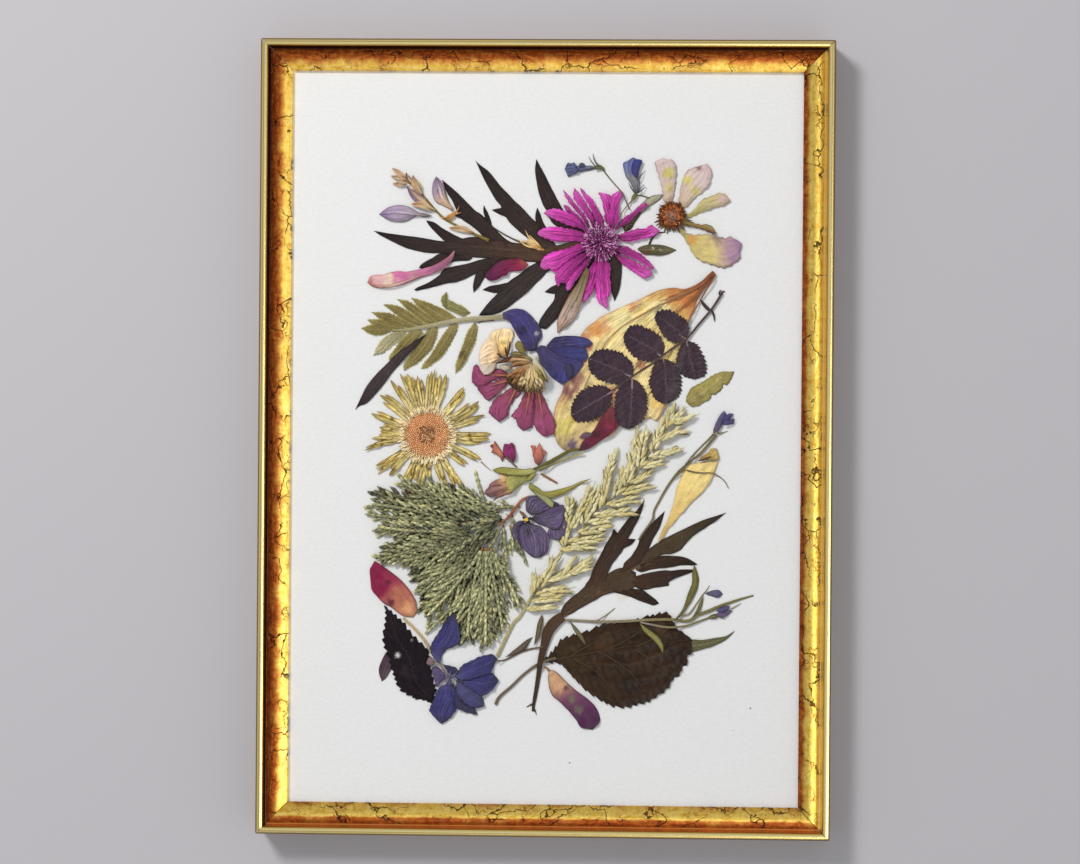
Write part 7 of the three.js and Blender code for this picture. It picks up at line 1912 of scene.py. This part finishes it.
# ---------------------------------------------------------------- larkspur flower
# A blue larkspur on its stalk, its petals lapping each other round a lilac centre.
larkspur_tissue = tissue(
    "larkspur_tissue", streaks=(9, 0.45), veins=(4, 2.2, 0.06), vein_colour=((126, 120, 170), 0.3),
    blotches=(2.4, 0.4), relief=0.9, sheen=0.2, dark=0.45)
lark = Plant("larkspur_flower", larkspur_tissue, stem_tissue)
lark.strand([-55, -70.8, -51, -74.5, -47, -79, -44.5, -83, -41.5, -87.5, -37, -93.5],
            [1.1, 1.3, 1.2, 0.9], [(0, (196, 172, 128)), (0.6, (180, 160, 126)), (1, (140, 128, 130))],
            finish=1, raised=0.2)
INDIGO = [(0, (96, 92, 146)), (0.3, (62, 59, 120)), (0.8, (55, 52, 108)), (1, (46, 42, 86))]
MIDNIGHT = [(0, (64, 54, 102)), (1, (46, 42, 84))]
# The cypress scales stand a little above the bed, and the top petal bridges them.
(south, north), (west, east) = cells(np.array([-48, -20]), np.array([-82, -60]))
tips = BED[south:north, west:east]
tips[tips > CARD_TOP + 0.3] += 1.1
for base, left, tip, right, tint in (
        ((-37, -95), [-38, -96.5, -41, -98.5, -42.5, -102, -44, -105.5, -44.4, -107, -42.3, -109.8],
         (-39.6, -112.4), [-35, -97, -33.4, -101, -33, -105, -35, -108.5, -37, -110.7], INDIGO),
        ((-34, -97), [-34.6, -101, -34, -105.4, -30, -107.6], (-25.4, -108.6),
         [-31, -100, -30, -103, -27, -105.4], MIDNIGHT),
        ((-34, -95), [-33.4, -100, -31, -103.4, -28, -105.2, -25.4, -105.8], (-22.8, -105.2),
         [-31, -96, -27, -97, -24.5, -99.7, -23.4, -102],
         [(0, (92, 88, 136)), (0.5, (74, 74, 124)), (1, (62, 60, 106))]),
        ((-34, -94.4), [-30, -97, -27, -99, -23.5, -101, -20, -99], (-17.2, -95),
         [-28, -92.5, -24, -91.5, -20.5, -92, -18.8, -93], INDIGO),
        ((-35, -93.8), [-33, -91, -31.5, -89, -28, -87.3, -25, -85.8, -22, -85, -19.5, -84.8],
         (-17.7, -86.4), [-32, -94.8, -28, -94.5, -24, -93, -20.5, -92, -19, -88.7], INDIGO),
        ((-36, -92), [-39.5, -88.8, -37, -89.3, -34, -90], (-33.3, -91.3), [-37.4, -92, -35.5, -92.9],
         MIDNIGHT),
        ((-38, -93), [-40, -90.6, -41.5, -89.8, -43.6, -90.3], (-42.6, -95),
         [-38.3, -95, -40, -96, -41.5, -98], [(0, (92, 82, 124)), (1, (104, 84, 120))]),
        ((-40.6, -88.4), [-42.5, -87, -44.3, -83, -43, -79.5, -40.5, -75.5, -38, -71.5, -36, -69.4],
         (-34, -68.8),
         [-39.8, -87, -39.5, -85.5, -37.5, -83, -35, -82, -33, -80.3, -32.4, -78, -32.8, -74.5, -33.8,
          -71], INDIGO),
        ((-42, -88), [-43.6, -86, -45, -86.2], (-45.8, -88.6), [-43, -89.2, -44.6, -89.4],
         (150, 122, 128))):
    lark.sheet(base, left, right, tip, tint, rim=((40, 36, 66), 0.5), folds=(5, 0.3), crown=0.6,
               uneven=0.4, lift=0.35, teeth=(2.6, 0.4))
LARK_CENTRE = (-36.4, -94)
dice = random.Random(81)
for n in range(18):
    angle = 2 * math.pi * n / 18
    reach = dice.uniform(1.4, 3.2)
    lark.strand([*LARK_CENTRE, *polar(*LARK_CENTRE, angle + 0.3, reach * 0.5),
                 *polar(*LARK_CENTRE, angle, reach)], [0.7, 0.5, 0.2],
                dice.choice([(130, 124, 164), (98, 92, 136), (162, 152, 178)]), flat=0.6, easing=1)
lark.done()

purple = Plant("purple_petal", petal_tissue, stem_tissue)
purple.strand([0.3, -89.2, 1.6, -90, 2.8, -91.4], [0.6, 0.9, 1.2], (150, 112, 86), finish=1)
purple.sheet((2.4, -91),
             [4, -90.8, 6, -92, 9, -95, 13, -98.5, 17, -101.3, 20, -104, 21.8, -107, 22.5, -110.5],
             [2, -94, 2.6, -98, 4, -101, 6.5, -103, 10, -106.5, 13, -110, 15, -113], (19.6, -114),
             [(0, (224, 178, 132)), (0.22, (192, 146, 112)), (0.45, (114, 64, 94)),
              (0.75, (80, 32, 74)), (1, (72, 36, 66))], rim=((70, 34, 64), 0.7), folds=(6, 0.18),
             crown=0.8, uneven=0.3,
             spots=[(6.4, -97, 2.4, (214, 168, 126)), (11.5, -102, 1.6, (112, 104, 84)),
                    (14, -106, 1.8, (104, 94, 84)), (9, -97.6, 1.2, (96, 66, 70))])
purple.done()

# ---------------------------------------------------------------- brown twig
# A bare twig with two small leaves that dried folded. It ends on the stalk of the lower divided
# leaf.
stick = Plant("brown_twig", stem_tissue, small_leaf_tissue)
stick.strand([-18.5, -87, -15, -87, -8, -83.5, 0, -81.5], [0.6, 0.9, 0.9, 0.6], (104, 88, 74))
for base, left, tip, right, tint in (
        ((-15, -86), [-12, -83.5, -9, -81, -6.5, -79], (-4, -77.8),
         [-10, -84.2, -7, -82.6, -5.5, -80.2], (96, 80, 66)),
        ((-3.6, -81.4), [-3, -77, -2.4, -73, -1.5, -70.5], (-0.5, -68.8),
         [-1.6, -78, -0.6, -74, -0.1, -71], [(0, (88, 72, 52)), (1, (110, 98, 62))])):
    stick.sheet(base, left, right, tip, tint, rim=((64, 52, 40), 0.4), finish=1, crown=0.4, folds=(3, 0.14))
stick.done()

# ---------------------------------------------------------------- flax sprig
# A wiry sprig with narrow olive leaves and blue flower buds. It is glued on last, across the
# brown leaf, and follows that leaf's crumples.
flax = Plant("flax_sprig", stem_tissue, small_leaf_tissue, blue_tissue)
SAGE = [(0, (146, 134, 118)), (0.5, (128, 118, 80)), (1, (112, 108, 62))]
for line, breadths in (([8.5, -71, 20, -71.5, 30, -71.3, 40, -70.6, 50, -70.3, 55, -71, 58, -70.3, 60.5,
                         -68.5, 64, -67.2, 69, -65, 76, -62.5, 82, -60.7],
                        [1.1, 1.2, 1.2, 1.1, 1.2, 1.4, 1.2, 0.6]),
                       ([54, -69, 57, -68, 60, -64, 62, -61, 64, -58.5, 64.8, -57],
                        [0.7, 0.6, 0.5, 0.3]),
                       ([38, -71.5, 43, -72.5, 48, -73.3, 55, -73, 60, -71.3, 65, -69.5],
                        [0.7, 0.9, 0.9, 0.7]), ([68, -69, 69.5, -69.4, 71, -70.2], [0.5, 0.4, 0.2]),
                       ([73.5, -66, 75.5, -64.8, 77.2, -63.7], [0.5, 0.4, 0.2]),
                       ([20, -71.5, 24, -69.4, 28, -66.2], [0.6, 0.5, 0.3])):
    flax.strand(line, breadths, SAGE)
for base, left, tip, right, finish, tint in (
        ((10, -71), [12, -75, 14.6, -78.6], (16.7, -80.8), [13.6, -74.6, 16, -78], 1, (112, 106, 70)),
        ((51.4, -70.2), [54, -67, 55.3, -64, 56.5, -60, 58, -56, 58, -52], (58.9, -49),
         [53.5, -69.3, 57, -64.5, 59.5, -60, 60.7, -56, 60.3, -52.5], 1,
         [(0, (98, 92, 40)), (1, (116, 110, 48))]),
        ((57.8, -70), [59.6, -67, 60.9, -64], (62.6, -60.8), [61, -67, 62.2, -64], 1, (114, 108, 56)),
        ((37.5, -71.5), [39.2, -75, 43, -78.4, 45.2, -81], (46.9, -83.7), [41, -74, 45, -77, 47, -80.4],
         1, (142, 136, 72)),
        ((62.9, -60), [66, -58.9, 68.5, -58.7], (70.1, -60.2), [64.8, -60.9, 66, -61.3, 68.5, -61.7], 2,
         [(0, (112, 108, 88)), (0.4, (110, 106, 138)), (1, (92, 88, 130))]),
        ((64, -69.8), [65.2, -68.6, 67, -68], (68.6, -68.3), [66, -70, 67.6, -69.8], 1, (116, 112, 62)),
        ((67, -68.4), [69, -67, 71.4, -66.4], (74, -66.6), [69.4, -69.4, 72, -68.6], 2,
         (124, 104, 140)),
        ((67.4, -67), [69, -65.6, 71, -64.9], (73, -64.9), [70, -67.4, 72, -66.4], 2, (92, 88, 142))):
    flax.sheet(base, left, right, tip, tint, rim=((74, 70, 46) if finish == 1 else (66, 60, 96), 0.45),
               finish=finish, crown=0.5, folds=(3, 0.2))
flax.done()
